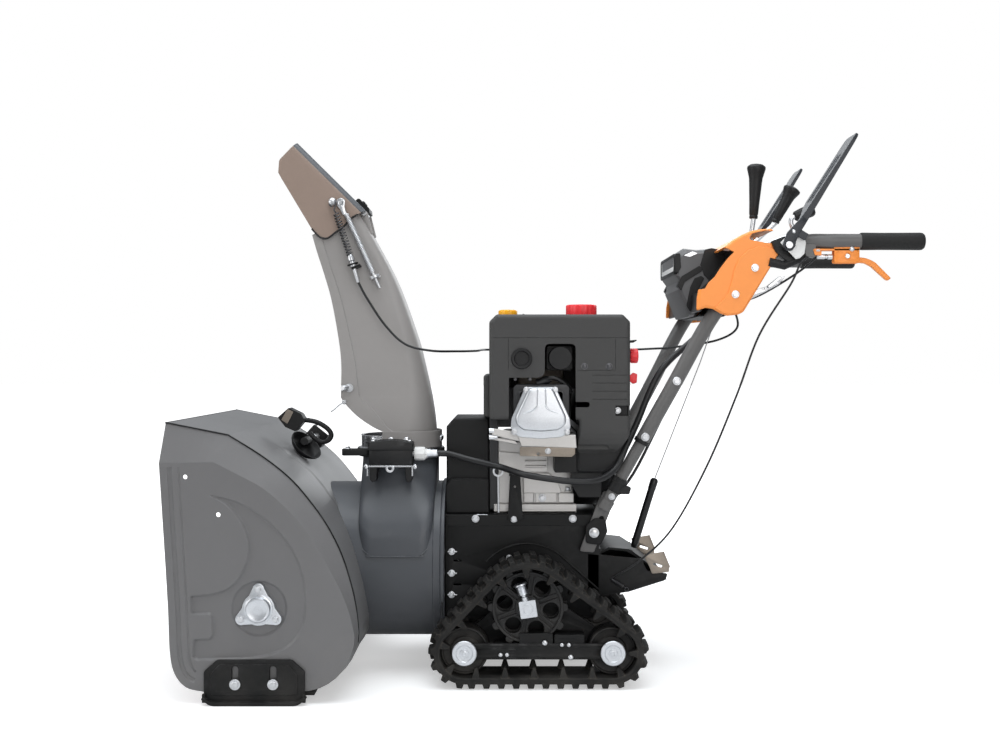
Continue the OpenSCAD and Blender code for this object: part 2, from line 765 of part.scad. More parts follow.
// ---- tracks ----
idler_z = lug_h + band_t + idler_r;
loop_mid = -20;
track_in = chassis_half + track_gap;
track_out = track_in + track_w;
clip_y = track_in - 6;
guide_w = 24;
wheel_in = track_in + guide_w + 2;
wheel_out = track_out - guide_w - 2;
// Rollers of the track loop, counted round it: place and radius
loop = [[loop_mid - wheelbase / 2, idler_z, idler_r], [loop_mid + wheelbase / 2, idler_z, idler_r],
    [axle_x, axle_z, drive_r]];
// Straight run from a roller to the next: direction of its outward normal, and its length
function run(i) = let (a = loop[i], b = loop[(i + 1) % 3], d = [b.x - a.x, b.y - a.y], l = norm(d))
    [atan2(d.y, d.x) - acos((a.z - b.z) / l), sqrt(l * l - pow(a.z - b.z, 2))];
runs = [run(0), run(1), run(2)];
function wrap_deg(i) = let (d = runs[(i + 1) % 3][0] - runs[i][0]) d < 0 ? d + 360 : d;
function wrap_len(i, off) = wrap_deg(i) * PI / 180 * (loop[(i + 1) % 3].z + off);
function loop_len(off) = runs[0][1] + runs[1][1] + runs[2][1] + wrap_len(0, off) + wrap_len(1, off)
    + wrap_len(2, off);
function on_roller(c, off, a) = [c.x + (c.z + off) * cos(a), c.y + (c.z + off) * sin(a), a];
// Place on the loop, s along it and off outside its inner face, with the outward direction
function loop_at(s, off, i = 0) = let (l = runs[i][1], w = wrap_len(i, off), n = runs[i][0])
    s <= l ? on_roller(loop[i], off, n) + s * [-sin(n), cos(n), 0]
    : s <= l + w ? on_roller(loop[(i + 1) % 3], off, n + wrap_deg(i) * (s - l) / w)
    : loop_at(s - l - w, off, (i + 1) % 3);
lug_count = round(loop_len(band_t) / 29.5);
guide_count = round(loop_len(0) / 59);
guide_h = 19;
module band_form(off) {
    hull()
        for (c = loop)
            translate([c.x, c.y])
                circle(r = c.z + off);
}
module lugs(count, phase, off, shape) {
    for (i = [0:count - 1])
        let (p = loop_at((i + phase) / count * loop_len(off), off))
            translate([p.x, p.y])
                rotate(p.z - 90)
                    polygon(shape);
}
// Drawing of the band with its tread
module band_row(phase) {
    offset(delta = 0)
        difference() {
            union() {
                band_form(band_t);
                lugs(lug_count, phase, band_t, [[-8, -2], [8, -2], [5.5, lug_h], [-5.5, lug_h]]);
            }
            band_form(0);
        }
}
module one_track() {
    mid = (track_in + track_out) / 2;
    xz(track_in, mid)
        band_row(0.05);
    xz(mid, track_out)
        band_row(0.55);
    for (y = [track_in + 1, track_out - guide_w])
        xz(y, y + guide_w - 1)
            lugs(guide_count, 0.4, 0, [[-7, 2], [7, 2], [3, -guide_h], [-3, -guide_h]]);
}
module tracks() {
    color([0.09, 0.09, 0.09])
        both_sides()
            one_track();
}
plate_in = track_in + guide_w - 6;
plate_out = track_out - guide_w + 1;
pin_bore = idler_pin_d / 2 + bore_gap;
beam_r = 16;
cross_x = 60;
cross_z = idler_z + 12;
module one_frame() {
    difference() {
        union() {
            xz(plate_in, plate_in + 5)
                hull() {
                    translate([loop[0].x, idler_z])
                        circle(r = beam_r);
                    translate([loop[1].x, idler_z])
                        circle(r = beam_r);
                    translate([axle_x, axle_z])
                        circle(r = 38);
                }
            xz(plate_out, plate_out + 5)
                hull()
                    for (i = [0, 1])
                        translate([loop[i].x, idler_z])
                            circle(r = beam_r);
            box(axle_x - 54, axle_x + 92, plate_in + 5, plate_out, idler_z - beam_r, idler_z - 2);
        }
        for (i = [0, 1])
            rod_y(pin_bore, plate_in - 1, plate_out + 6, loop[i].x, idler_z);
        rod_y(axle_bore, plate_in - 1, plate_out + 6, axle_x, axle_z);
    }
}
module track_frames() {
    color([0.13, 0.13, 0.14]) {
        both_sides()
            one_frame();
        rod_y(10, -plate_in, plate_in, cross_x, cross_z);
    }
}
module idler(i) {
    c = loop[i];
    color([0.13, 0.13, 0.14])
        difference() {
            rod_y(idler_r - run_gap, wheel_in, wheel_out, c.x, idler_z);
            rod_y(idler_r - 12, wheel_out - 10, wheel_out + 1, c.x, idler_z);
        }
    color([0.82, 0.84, 0.86]) {
        rod_y(idler_pin_d / 2, plate_in - 2, plate_out + 8, c.x, idler_z);
        rod_y(cap_d / 2, plate_out + 6, track_out + 2, c.x, idler_z);
    }
}
module idler_front_right() {
    idler(0);
}
module idler_rear_right() {
    idler(1);
}
module idler_front_left() {
    mirror([0, 1, 0])
        idler(0);
}
module idler_rear_left() {
    mirror([0, 1, 0])
        idler(1);
}
module drive_wheels() {
    color([0.11, 0.11, 0.12])
        both_sides()
            difference() {
                rod_y(drive_r - run_gap, wheel_in, wheel_out, axle_x, axle_z);
                for (a = [-9:60:291])
                    rod_y(15, wheel_in - 1, wheel_out + 1, axle_x + 47 * cos(a), axle_z + 47 * sin(a));
                rod_y(axle_bore, wheel_in - 1, wheel_out + 1, axle_x, axle_z);
            }
}
hub_w = 34;
module drive_axle() {
    color([0.72, 0.71, 0.7]) {
        rod_y(axle_d / 2, -wheel_out, wheel_out, axle_x, axle_z);
        both_sides() {
            translate([axle_x, wheel_out, axle_z])
                rotate([0, -8, 0])
                    translate([-hub_w / 2, 0, -hub_w / 2])
                        cube([hub_w, 22, hub_w]);
            translate([axle_x, wheel_out + 11, axle_z])
                rotate([0, -18, 0]) {
                    cylinder(r = 7, h = 38);
                    translate([0, 0, 30])
                        cylinder(r = 10, h = 22);
                }
        }
    }
}

// ---- engine ----
engine_x = [-110, 64];
block_w = 176;
head_y = -190;
module engine_block() {
    color([0.72, 0.69, 0.66])
        difference() {
            union() {
                box(engine_x[0], engine_x[1], -96, 96, deck_z, deck_z + 19);
                box(engine_x[0] + 6, engine_x[1] - 6, -block_w / 2, block_w / 2, deck_z + 18, crank_z + 32);
                box(-58, 30, head_y, -70, crank_z + 20, crank_z + 122);
                for (i = [0:6])
                    box(-70, 44, head_y + 14 * i, head_y + 14 * i + 5, crank_z + 18, crank_z + 136);
                box(-62, 62, head_y - 6, -block_w / 2, crank_z - 4, crank_z + 22);
            }
            rod_x(shaft_r - 0.2 + bore_gap, engine_x[0] - 1, engine_x[1] + 1, 0, crank_z);
        }
}
valve_x = -15;
module valve_form(grow) {
    half = valve_w / 2 - 21;
    hull() {
        for (s = [-1, 1]) {
            translate([valve_x + s * half, crank_z + 50])
                circle(r = 16 + grow);
            translate([valve_x + s * 14, crank_z + 114])
                circle(r = 14 + grow);
        }
    }
}
module valve_cover() {
    color([0.82, 0.83, 0.85]) {
        xz(head_y - 5, head_y)
            valve_form(5);
        xz(head_y - 25, head_y - 5)
            valve_form(0);
    }
}
shroud_x = [-119, 168];
shroud_half = shroud_w / 2;
shroud_low = crank_z - 5;
fuel_at = [78, -40];
oil_at = [-80, -30];
module shroud_form(skin) {
    xz(skin - shroud_half, shroud_half - skin)
        polygon([[shroud_x[0] + skin, crank_z + 63 - 2 * skin], [shroud_x[0] + skin, shroud_top - 14 - skin / 2],
            [shroud_x[0] + 14 + skin / 2, shroud_top - skin], [shroud_x[1] - 14 - skin / 2, shroud_top - skin],
            [shroud_x[1] - skin, shroud_top - 14 - skin / 2], [shroud_x[1] - skin, shroud_low + 37],
            [shroud_x[1] - 28 - skin, shroud_low - 2 * skin], [62, shroud_low - 2 * skin],
            [62, crank_z + 63 - 2 * skin]]);
}
module engine_shroud() {
    color([0.29, 0.29, 0.3])
        difference() {
            union() {
                difference() {
                    shroud_form(0);
                    shroud_form(cover_t);
                }
                rod_z(fuel_cap_d / 2 - 8, shroud_top - 1, shroud_top + 18, fuel_at.x, fuel_at.y);
                rod_z(oil_cap_d / 2 - 6, shroud_top - 1, shroud_top + 9, oil_at.x, oil_at.y);
            }
            rod_z(fuel_cap_d / 2 - 11, shroud_top - 5, shroud_top + 19, fuel_at.x, fuel_at.y);
            rod_z(oil_cap_d / 2 - 9, shroud_top - 5, shroud_top + 10, oil_at.x, oil_at.y);
            box(-78, 61.9, -shroud_half - 1, 10 - shroud_half, shroud_low - 10, crank_z + 137);
            box(-8, 57, -shroud_half - 1, 10 - shroud_half, crank_z + 130, crank_z + 219);
            rod_x(fan_r + run_gap, 50, 80, 0, crank_z);
            rod_x(recoil_r + run_gap, 140, 162, 0, crank_z);
        }
}
fan_r = 128;
recoil_r = 82;
module flywheel_housing() {
    color([0.12, 0.12, 0.13])
        difference() {
            union() {
                rod_x(fan_r, engine_x[1], 146, 0, crank_z);
                rod_x(recoil_r, 146, 161, 0, crank_z);
                both_sides()
                    box(96, 110, 100, shroud_half - cover_t, crank_z + 74, crank_z + 80);
            }
            rod_x(fan_r - 6, engine_x[1] - 1, 142, 0, crank_z);
        }
}
module muffler() {
    color([0.4, 0.38, 0.36]) {
        box(-60, 48, block_w / 2 + 12, shroud_half - 12, crank_z + 88, crank_z + 208);
        rod_y(15, 60, block_w / 2 + 14, -10, crank_z + 110);
        box(-26, 6, 60, block_w / 2, crank_z + 32, crank_z + 125);
    }
}
module cap(d, h, neck, at) {
    difference() {
        rod_z(d / 2, shroud_top + run_gap, shroud_top + h, at.x, at.y);
        rod_z(neck + run_gap, shroud_top - 1, shroud_top + h - 5, at.x, at.y);
    }
}
module fuel_cap() {
    color([0.93, 0.15, 0.23])
        cap(fuel_cap_d, 27, fuel_cap_d / 2 - 8, fuel_at);
}
module oil_cap() {
    color([0.98, 0.65, 0.12])
        cap(oil_cap_d, 16, oil_cap_d / 2 - 6, oil_at);
}
knob_y = -120;
choke_z = crank_z + 195;
key_z = crank_z + 148;
module choke_knob() {
    color([0.93, 0.15, 0.23]) {
        rod_x(16, shroud_x[1] + 12, shroud_x[1] + 24, knob_y, choke_z);
        rod_x(9, shroud_x[1] + run_gap, shroud_x[1] + 13, knob_y, choke_z);
    }
}
module ignition_key() {
    color([0.93, 0.15, 0.23]) {
        rod_x(9, shroud_x[1] + run_gap, shroud_x[1] + 8, knob_y, key_z);
        box(shroud_x[1] + 6, shroud_x[1] + 22, knob_y - 3, knob_y + 3, key_z - 14, key_z + 14);
    }
}

// ---- handles ----
handle_y = handle_w / 2;
grip_end = 747;
tube_r = tube_d / 2;
lower_r = lower_tube_d / 2;
bar_y = chassis_half + 12;
ear = [98, 298];
// The lower tube's axis, from its foot on the flat bar to the top of the joint
foot = [124, -bar_y - 13, 361];
joint_dir = unit([122, -26, 223]);
joint_low = foot + 148 * joint_dir;
joint_high = foot + 272 * joint_dir;
handle_route = smooth([joint_low, joint_high, [336, 0.813 * -handle_y, grip_z - 144],
    [417, 0.874 * -handle_y, grip_z - 49], [466, 0.893 * -handle_y, grip_z - 12],
    [515, 0.955 * -handle_y, grip_z], [560, -handle_y, grip_z], [604, -handle_y, grip_z],
    [grip_end - 4, -handle_y, grip_z]], 3);
module lower_handles() {
    both_sides() {
        color([0.1, 0.1, 0.11])
            xz(-bar_y, -chassis_half)
                hull() {
                    translate(ear)
                        circle(r = 24);
                    translate([78, 262])
                        square([28, 20]);
                }
        color([0.44, 0.43, 0.42]) {
            xz(-bar_y - 6, -bar_y)
                hull() {
                    translate([96, 272])
                        circle(r = 16);
                    translate([foot.x + 16, foot.z + 30])
                        circle(r = 16);
                }
            tube([foot + 4 * joint_dir, joint_low + 60 * joint_dir], lower_r, lower_r - tube_t);
        }
    }
}
module handlebars() {
    color([0.44, 0.43, 0.42])
        both_sides()
            tube(handle_route, tube_r, tube_r - tube_t);
}
module grips() {
    color([0.07, 0.07, 0.07])
        both_sides()
            difference() {
                rod_x(grip_d / 2, grip_end - grip_l, grip_end, -handle_y, grip_z);
                rod_x(tube_r + 0.1, grip_end - grip_l - 1, grip_end - 3.9, -handle_y, grip_z);
            }
}

// ---- console ----
console_half = console_w / 2;
lamp_w = 210;
lamp_outline = [[268, grip_z - 50], [268, grip_z - 14], [290, grip_z + 1], [344, grip_z - 1],
    [392, grip_z - 8], [372, grip_z - 42], [332, grip_z - 90], [316, grip_z - 144],
    [300, grip_z - 146], [286, grip_z - 114], [275, grip_z - 78]];
module lamp_form(grow) {
    xz(-lamp_w / 2 - grow, lamp_w / 2 + grow)
        offset(delta = grow)
            polygon(lamp_outline);
}
module headlight_housing() {
    color([0.35, 0.35, 0.36])
        difference() {
            lamp_form(0);
            lamp_form(-cover_t);
            xz(cover_t - lamp_w / 2, lamp_w / 2 - cover_t)
                polygon([[340, grip_z - 90], [372, grip_z - 12], [420, grip_z - 20], [340, grip_z - 130]]);
        }
}
module headlight_lens() {
    color([0.95, 0.95, 0.95])
        box(265, 268, -88, 88, grip_z - 48, grip_z - 16);
}
module console_cover() {
    color([0.99, 0.58, 0.27])
        difference() {
            xz(-console_half, console_half)
                polygon([[296, grip_z - 138], [299, grip_z - 94], [320, grip_z - 52], [349, grip_z - 12],
                    [375, grip_z + 10], [403, grip_z + 23], [449, grip_z + 27], [464, grip_z - 19],
                    [388, grip_z - 142], [357, grip_z - 148]]);
            xz(cover_t - console_half, console_half - cover_t)
                polygon([[296 + cover_t, grip_z - 170], [302, grip_z - 95], [322.5, grip_z - 54],
                    [351.5, grip_z - 14.5], [376.5, grip_z + 7.2], [404, grip_z + 20],
                    [440, grip_z + 27 - cover_t - 0.2], [500, grip_z + 20], [500, grip_z - 20],
                    [400, grip_z - 170]]);
            lamp_form(run_gap);
            box(426, 480, lever_y - 10, lever_y + 10, grip_z, grip_z + 40);
        }
}
lever_y = -70;
speed_y = 75;
hinge_bar = [425, grip_z - 30];
crank_tilt = 20;
crank_at = [455, grip_z + 8];
module along_crank(from) {
    translate([crank_at.x, 0, crank_at.y])
        rotate([0, 90 - crank_tilt, 0])
            translate([0, 0, from])
                children();
}
paddle_pivot = [474, grip_z - 9];
paddle_y = handle_y + 10;
module console_frame() {
    color([0.11, 0.11, 0.12])
        difference() {
            union() {
                xz(cover_t - console_half, console_half - cover_t)
                    polygon([[362, grip_z - 140], [372, grip_z - 146], [462, grip_z - 24], [456, grip_z - 19]]);
                box(318, 372, -120, 120, grip_z - 146, grip_z - 140);
                for (y = [-110, -20, 14, 104])
                    xz(y, y + 6)
                        polygon([[416, grip_z - 34], [420, grip_z - 18], [434, grip_z - 22], [458, grip_z - 22],
                            [444, grip_z - 44]]);
                rod_y(6, -112, 112, hinge_bar.x, hinge_bar.y);
                xz(-14, 14)
                    polygon([[419, grip_z - 32], [434, grip_z - 34], [462, grip_z - 6], [458, grip_z + 20],
                        [444, grip_z + 14], [436, grip_z - 6]]);
            }
            both_sides()
                sweep(handle_route, tube_r + run_gap, 12);
            along_crank(-60)
                cylinder(r = 5 + bore_gap, h = 100);
        }
    color([0.9, 0.9, 0.9])
        both_sides()
            difference() {
                xz(-handle_y - 8, -handle_y - 6)
                    polygon([[466, grip_z - 18], [466, grip_z], [485, grip_z + 13], [512, grip_z + 17],
                        [518, grip_z - 26], [499, grip_z - 32], [478, grip_z - 24]]);
                rod_y(5, -handle_y - 20, -handle_y, paddle_pivot.x, paddle_pivot.y);
            }
    color([0.78, 0.78, 0.8])
        both_sides()
            rod_y(5, -paddle_y - 14, 4 - handle_y, paddle_pivot.x, paddle_pivot.y);
}
module trigger_bracket() {
    x = trigger_at.x;
    low = trigger_at.y - 14;
    high = grip_z - tube_r;
    color([0.99, 0.58, 0.27])
        difference() {
            union() {
                box(x - 66, x + 24, -handle_y - 9, 9 - handle_y, high - 4, high);
                for (y = [-9, 6])
                    box(x - 26, x + 24, y - handle_y, y + 3 - handle_y, low, high);
            }
            rod_y(4, -handle_y - 12, 12 - handle_y, x, trigger_at.y);
        }
    color([0.8, 0.8, 0.82])
        rod_y(4, -handle_y - 13, 13 - handle_y, x, trigger_at.y);
}
trigger_at = [592, grip_z - 30];
module trigger() {
    color([0.99, 0.58, 0.27])
        difference() {
            xz(-handle_y - 5.7, 5.7 - handle_y)
                polygon([for (p = [[-14, 6], [-14, -8], [24, -12], [44, -17], [82, -48], [88, -43], [49, -7],
                    [26, -1], [12, 6]]) [trigger_at.x + p.x, trigger_at.y + p.y]]);
            rod_y(4 + bore_gap, -handle_y - 12, 12 - handle_y, trigger_at.x, trigger_at.y);
        }
}
paddle_angle = atan2(224, 138);
module paddle() {
    translate([paddle_pivot.x, 0, paddle_pivot.y])
        rotate([0, -paddle_angle, 0])
            difference() {
                union() {
                    rod_y(13, -paddle_y - 8, -paddle_y, 0, 0);
                    box(0, 262, -paddle_y - 8, -paddle_y, -paddle_t / 2, paddle_t / 2);
                    box(80, 262, -paddle_y - 8, -paddle_y + 62, -paddle_t / 2, paddle_t / 2);
                    box(24, 40, -paddle_y - 8, -paddle_y + 1.5, -paddle_t / 2 - 16, paddle_t / 2);
                }
                rod_y(5 + bore_gap, -paddle_y - 20, 20 - paddle_y, 0, 0);
            }
}
module left_paddle() {
    color([0.17, 0.18, 0.2])
        paddle();
}
module right_paddle() {
    color([0.17, 0.18, 0.2])
        mirror([0, 1, 0])
            paddle();
}
// Lever on the cross bar: a steel rod to the neck and a waisted knob to the top
module lever(y, neck, top) {
    base = [hinge_bar.x, y, hinge_bar.y];
    low = [neck.x, y, neck.y];
    high = [top.x, y, top.y];
    along = unit(high - low);
    color([0.8, 0.8, 0.82])
        difference() {
            union() {
                rod_y(11, y - 7, y + 7, base.x, base.z);
                sweep([base + [4, 0, 8], low, low + 20 * along], 5);
            }
            rod_y(6 + bore_gap, y - 8, y + 8, base.x, base.z);
        }
    color([0.08, 0.08, 0.08])
        translate(low)
            rotate([0, 90 - atan2(along.z, along.x), 0]) {
                cylinder(r1 = 9, r2 = 15, h = norm(high - low) - 14);
                translate([0, 0, norm(high - low) - 14])
                    cylinder(r1 = 17, r2 = 12, h = 14);
            }
}
module deflector_lever() {
    lever(lever_y, [442, grip_z + 66], [449, grip_z + 181]);
}
module speed_lever() {
    lever(speed_y, [522, grip_z + 75], [563, grip_z + 152]);
}
module chute_crank() {
    arm = 34;
    u = [cos(crank_tilt), 0, sin(crank_tilt)];
    v = [-sin(crank_tilt), 0, cos(crank_tilt)];
    start = [crank_at.x, 0, crank_at.y];
    color([0.8, 0.8, 0.82]) {
        along_crank(-26)
            cylinder(r = 5, h = 118);
        sweep([start + 90 * u, start + 97 * u + 8 * v, start + 99 * u + (arm - 6) * v,
            start + 106 * u + arm * v, start + 112 * u + arm * v], 4.9);
    }
    color([0.08, 0.08, 0.08])
        translate(start + 110 * u + arm * v)
            rotate([0, 90 - crank_tilt, 0])
                cylinder(r = 14, h = 46, $fn = 8);
}

// ---- cables ----
flex_end = [345, -90, grip_z - 150.5];
flex_route = [[fitting_x - 7.5, worm_y, seat_z + gear_t / 2], [fitting_x + 8, worm_y, seat_z + gear_t / 2],
    [-200, -112, 459], [-159, -130, 449], [-97, -150, 436], [-36, -215, 424], [77, -205, 411],
    [134, -172, 430], [163, -153, 480], [175, -143, 502], [187, -134, 526], [238, -112, 632], [315, -100, 705],
    flex_end];
module flex_shaft() {
    color([0.07, 0.07, 0.07])
        sweep(smooth(flex_route, 3), 6.4);
}
cable_route = [[sleeve_low.x + 1, sleeve_y, sleeve_low.y - 4], [-377, -80, 784], [-340, -85, 730],
    [-297, -95, 690], [-244, -100, 676], [-190, -50, 675], [-150, 60, 677], [-140, 150, 680],
    [-124, 198, 681], [-60, 196, 681], [180, 190, 681], [258, 158, 683], [312, 148, 687], [400, 120, 702],
    [440, 90, 730], [424, 60, 775], [409, 60, 788]];
module deflector_cable() {
    color([0.07, 0.07, 0.07])
        sweep(smooth(cable_route, 3), 2.5);
}
spring_side = -chassis_half - 4 - run_gap;
trigger_route = [[520, -228, 868], [480, -236, 806], [420, -226, 706], [378, -210, 585], [323, -188, 443],
    [255, -168, 312], [190, -140, 240], [134, spring_side, 200]];
traction_route = [[364, -60, grip_z - 146.5], [330, -60, 650], [234, -60, 404]];
paddle_route = [[352, -130, grip_z - 146.5], [320, -150, 690], [250, -135, 560], [180, -128, 420],
    [124, -118, 350]];
module control_cables() {
    color([0.07, 0.07, 0.07]) {
        sweep(smooth(trigger_route, 3), 1.5);
        sweep(traction_route, 1.5);
        sweep([[234, -60, 404], [188, -60, 256]], 8);
        sweep(smooth(paddle_route, 3), 3);
    }
    color([0.8, 0.8, 0.82])
        sweep([[130, spring_side, 203], [170, spring_side, 179]], 4, 12);
}

// ---- clean-out tool ----
function wrap_at(t) = [front_x + nose_l + wrap_a * pow(cos(t), wrap_power),
    wrap_z + wrap_b * pow(sin(t), wrap_power)];
// The flat of the wrap that the tool's clip is riveted to
tool_flat = [wrap_at(60), wrap_at(52.5)];
tool_seat = (tool_flat[0] + tool_flat[1]) / 2;
tool_tilt = atan2(tool_flat[0].y - tool_flat[1].y, tool_flat[1].x - tool_flat[0].x);
module on_wrap() {
    translate([tool_seat.x, 0, tool_seat.y])
        rotate([0, tool_tilt, 0])
            children();
}
module cleanout_tool() {
    on_wrap() {
        color([0.07, 0.07, 0.07]) {
            rod_y(9, -52, 120, 0, 34);
            rod_y(32, -60, -52, 2, 34);
            box(-24, 22, 118, 176, 16, 52);
            translate([30, -16, 40])
                rotate([0, 90, 70])
                    rotate_extrude()
                        translate([24, 0])
                            circle(r = 5);
        }
        color([0.78, 0.78, 0.8])
            difference() {
                box(-12, 12, 20, 44, 0, 38);
                rod_y(9, 19, 45, 0, 34);
            }
    }
}

// ---- fasteners ----
module bolt(x, z, y, r = 7, h = 5) {
    rod_y(r, -y - h, -y, x, z);
}
module fasteners() {
    color([0.8, 0.8, 0.82])
        both_sides() {
            for (s = [-1, 1]) {
                bolt(skid_x + s * skid_slot_x, slot_z[0] + 2, half_w + skid_t, 9, 6);
                bolt(skid_x + s * skid_slot_x, slot_z[0] + 2, half_w, slot_w / 2 - 0.5, skid_t);
            }
            for (a = [90, 210, 330])
                bolt(auger_x + lobe_r * cos(a), auger_z + lobe_r * sin(a), half_w + 3, 5, 4);
            for (x = [chassis_front + 63, -68, 55])
                bolt(x, deck_z - 11, chassis_half);
            for (z = [256, 211, 166])
                bolt(chassis_front + 14, z, chassis_half, 6, 4);
            bolt(ear.x, ear.y, bar_y + 6, 11, 7);
            bolt(373, grip_z - 103, console_half, 8, 4);
            bolt(417, grip_z - 49, console_half, 8, 4);
        }
}

auger_housing();
impeller_drum();
scraper_bar();
skid_shoes();
shaft_bearings();
fasteners();
gearbox_case();
cleanout_tool();
chute_drive();
flex_shaft();
deflector_cable();
chassis();
transmission();
belt_cover();
rear_tray();
drive_belt();
engine_block();
valve_cover();
engine_shroud();
flywheel_housing();
muffler();
lower_handles();
handlebars();
grips();
console_cover();
console_frame();
headlight_housing();
headlight_lens();
trigger_bracket();
control_cables();
chute();
chute_gear();
chute_hardware();
deflector_spring();
deflector();
deflector_rod();
auger_flights();
auger_shaft();
impeller();
impeller_shaft();
crankshaft();
drive_axle();
drive_wheels();
track_frames();
tracks();
idler_front_left();
idler_rear_left();
idler_front_right();
idler_rear_right();
left_paddle();
right_paddle();
deflector_lever();
speed_lever();
chute_crank();
chute_worm();
trigger();
fuel_cap();
oil_cap();
choke_knob();
ignition_key();
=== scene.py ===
# Looks of the tracked snow blower: finishes, fine pieces, floor, lamps and camera.
# Piece sizes are written in millimetres and turned into metres when a mesh is made.
import bmesh
import bpy
import json
import numpy as np
from math import atan2, cos, degrees, hypot, pi, radians, sin, sqrt, tau
from mathutils import Matrix, Vector
from mathutils.geometry import delaunay_2d_cdt


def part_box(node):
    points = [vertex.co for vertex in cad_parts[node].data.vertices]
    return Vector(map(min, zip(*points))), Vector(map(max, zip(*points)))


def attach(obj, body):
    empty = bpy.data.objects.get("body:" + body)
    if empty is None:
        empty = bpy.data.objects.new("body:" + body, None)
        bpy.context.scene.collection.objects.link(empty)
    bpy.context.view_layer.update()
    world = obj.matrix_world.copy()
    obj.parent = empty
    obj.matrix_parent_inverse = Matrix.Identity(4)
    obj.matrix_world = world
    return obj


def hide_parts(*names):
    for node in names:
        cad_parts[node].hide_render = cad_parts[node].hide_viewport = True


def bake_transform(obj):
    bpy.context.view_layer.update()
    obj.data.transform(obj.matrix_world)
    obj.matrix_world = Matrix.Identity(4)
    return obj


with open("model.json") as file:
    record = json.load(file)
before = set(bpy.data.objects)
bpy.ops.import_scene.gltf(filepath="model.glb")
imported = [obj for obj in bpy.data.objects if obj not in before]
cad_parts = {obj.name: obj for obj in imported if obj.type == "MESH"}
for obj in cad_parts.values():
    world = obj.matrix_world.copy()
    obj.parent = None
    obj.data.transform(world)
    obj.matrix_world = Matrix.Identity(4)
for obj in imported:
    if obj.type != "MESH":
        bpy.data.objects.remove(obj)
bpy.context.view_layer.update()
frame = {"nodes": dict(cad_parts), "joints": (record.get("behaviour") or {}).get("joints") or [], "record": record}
MM = 0.001
X, Y, Z = Vector((1, 0, 0)), Vector((0, 1, 0)), Vector((0, 0, 1))
LEFTWARD = (0, -1, 0)
LEFT, RIGHT = -1, 1
SIDES = ((LEFT, "left"), (RIGHT, "right"))
SAME_POINT, WELD = 1e-4, 0.02  # points closer than this are dropped from outlines, or joined
HOLE_STEPS = 28
SIDE_SHARE = 0.49  # most of a side that one rounded corner may take
STRAIGHT = 1.55  # half the angle at a corner, in radians, above which it isn't rounded
SHARP = 38.0  # edges sharper than this many degrees stay sharp
SLIGHT_BEND, BIG_FACE = 0.02, 0.0012  # radians and square metres


def corners(node):
    """Lowest and highest corner of a node, in millimetres."""
    low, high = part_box(node)
    return low / MM, high / MM


def joint_at(name):
    """A point on a joint's axis, in millimetres."""
    joint = next(j for j in frame["joints"] if j["name"] == name)
    return Vector(joint["pos_m"]) / MM


def add_node(tree, kind, inputs=(), **settings):
    """A new node with its settings; inputs maps each socket to a value or to the output that feeds it."""
    node = tree.nodes.new("ShaderNode" + kind)
    for name, value in settings.items():
        setattr(node, name, value)
    for socket, value in dict(inputs).items():
        if isinstance(value, bpy.types.NodeSocket):
            tree.links.new(value, node.inputs[socket])
        else:
            node.inputs[socket].default_value = value
    return node


# ---------------------------------------------------------------- camera, floor and lamps
FLOOR_REACH = 30
FLOOR_GREY = (0.80, 0.80, 0.80, 1)
NEAR_GLOW, FAR_GLOW = 0.42, 1.0
GLOW_FROM, GLOW_TO = 0.9, 1.9
STUDIO_AIM = (-0.1, 0, 0.5)
SOFTBOXES = [("overhead_softbox", (-0.3, -0.3, 2.9), (3.0, 2.6), 84, (0.93, 0.97, 1.0)),
    ("front_softbox", (0.9, -3.4, 1.5), (2.6, 2.0), 34, (1.0, 0.975, 0.95)),
    ("intake_softbox", (-3.2, -1.2, 1.3), (2.0, 1.8), 26, (1.0, 0.99, 0.97)),
    ("back_softbox", (1.2, 3.2, 1.9), (2.6, 2.0), 34, (0.95, 0.98, 1.0))]


def place_camera():
    camera = bpy.data.objects.new("camera", bpy.data.cameras.new("camera"))
    bpy.context.scene.collection.objects.link(camera)
    camera.location = (-0.097, -2.556, 0.652)
    camera.rotation_euler = (radians(90), 0, 0)
    camera.data.sensor_width = 36
    camera.data.lens = 42.07
    camera.data.shift_y = -0.013
    bpy.context.scene.camera = camera
    bpy.context.scene.view_settings.view_transform = "Standard"


def light_studio():
    """A dim world that the camera sees as white, and the softboxes."""
    world = bpy.data.worlds.new("studio")
    bpy.context.scene.world = world
    world.use_nodes = True
    tree = world.node_tree
    tree.nodes.clear()
    fill = add_node(tree, "Background", {0: (0.93, 0.96, 1.0, 1), 1: 0.38})
    backdrop = add_node(tree, "Background", {0: (1, 1, 1, 1), 1: 1.0})
    seen = add_node(tree, "LightPath").outputs["Is Camera Ray"]
    mix = add_node(tree, "MixShader", {0: seen, 1: fill.outputs[0], 2: backdrop.outputs[0]})
    add_node(tree, "OutputWorld", {0: mix.outputs[0]})
    for name, place, size, power, colour in SOFTBOXES:
        lamp = bpy.data.lights.new(name, "AREA")
        lamp.shape, lamp.size, lamp.size_y = "RECTANGLE", size[0], size[1]
        lamp.energy, lamp.color = power, colour
        holder = bpy.data.objects.new(name, lamp)
        bpy.context.scene.collection.objects.link(holder)
        holder.location = place
        holder.rotation_euler = (Vector(STUDIO_AIM) - Vector(place)).to_track_quat("-Z", "Y").to_euler()


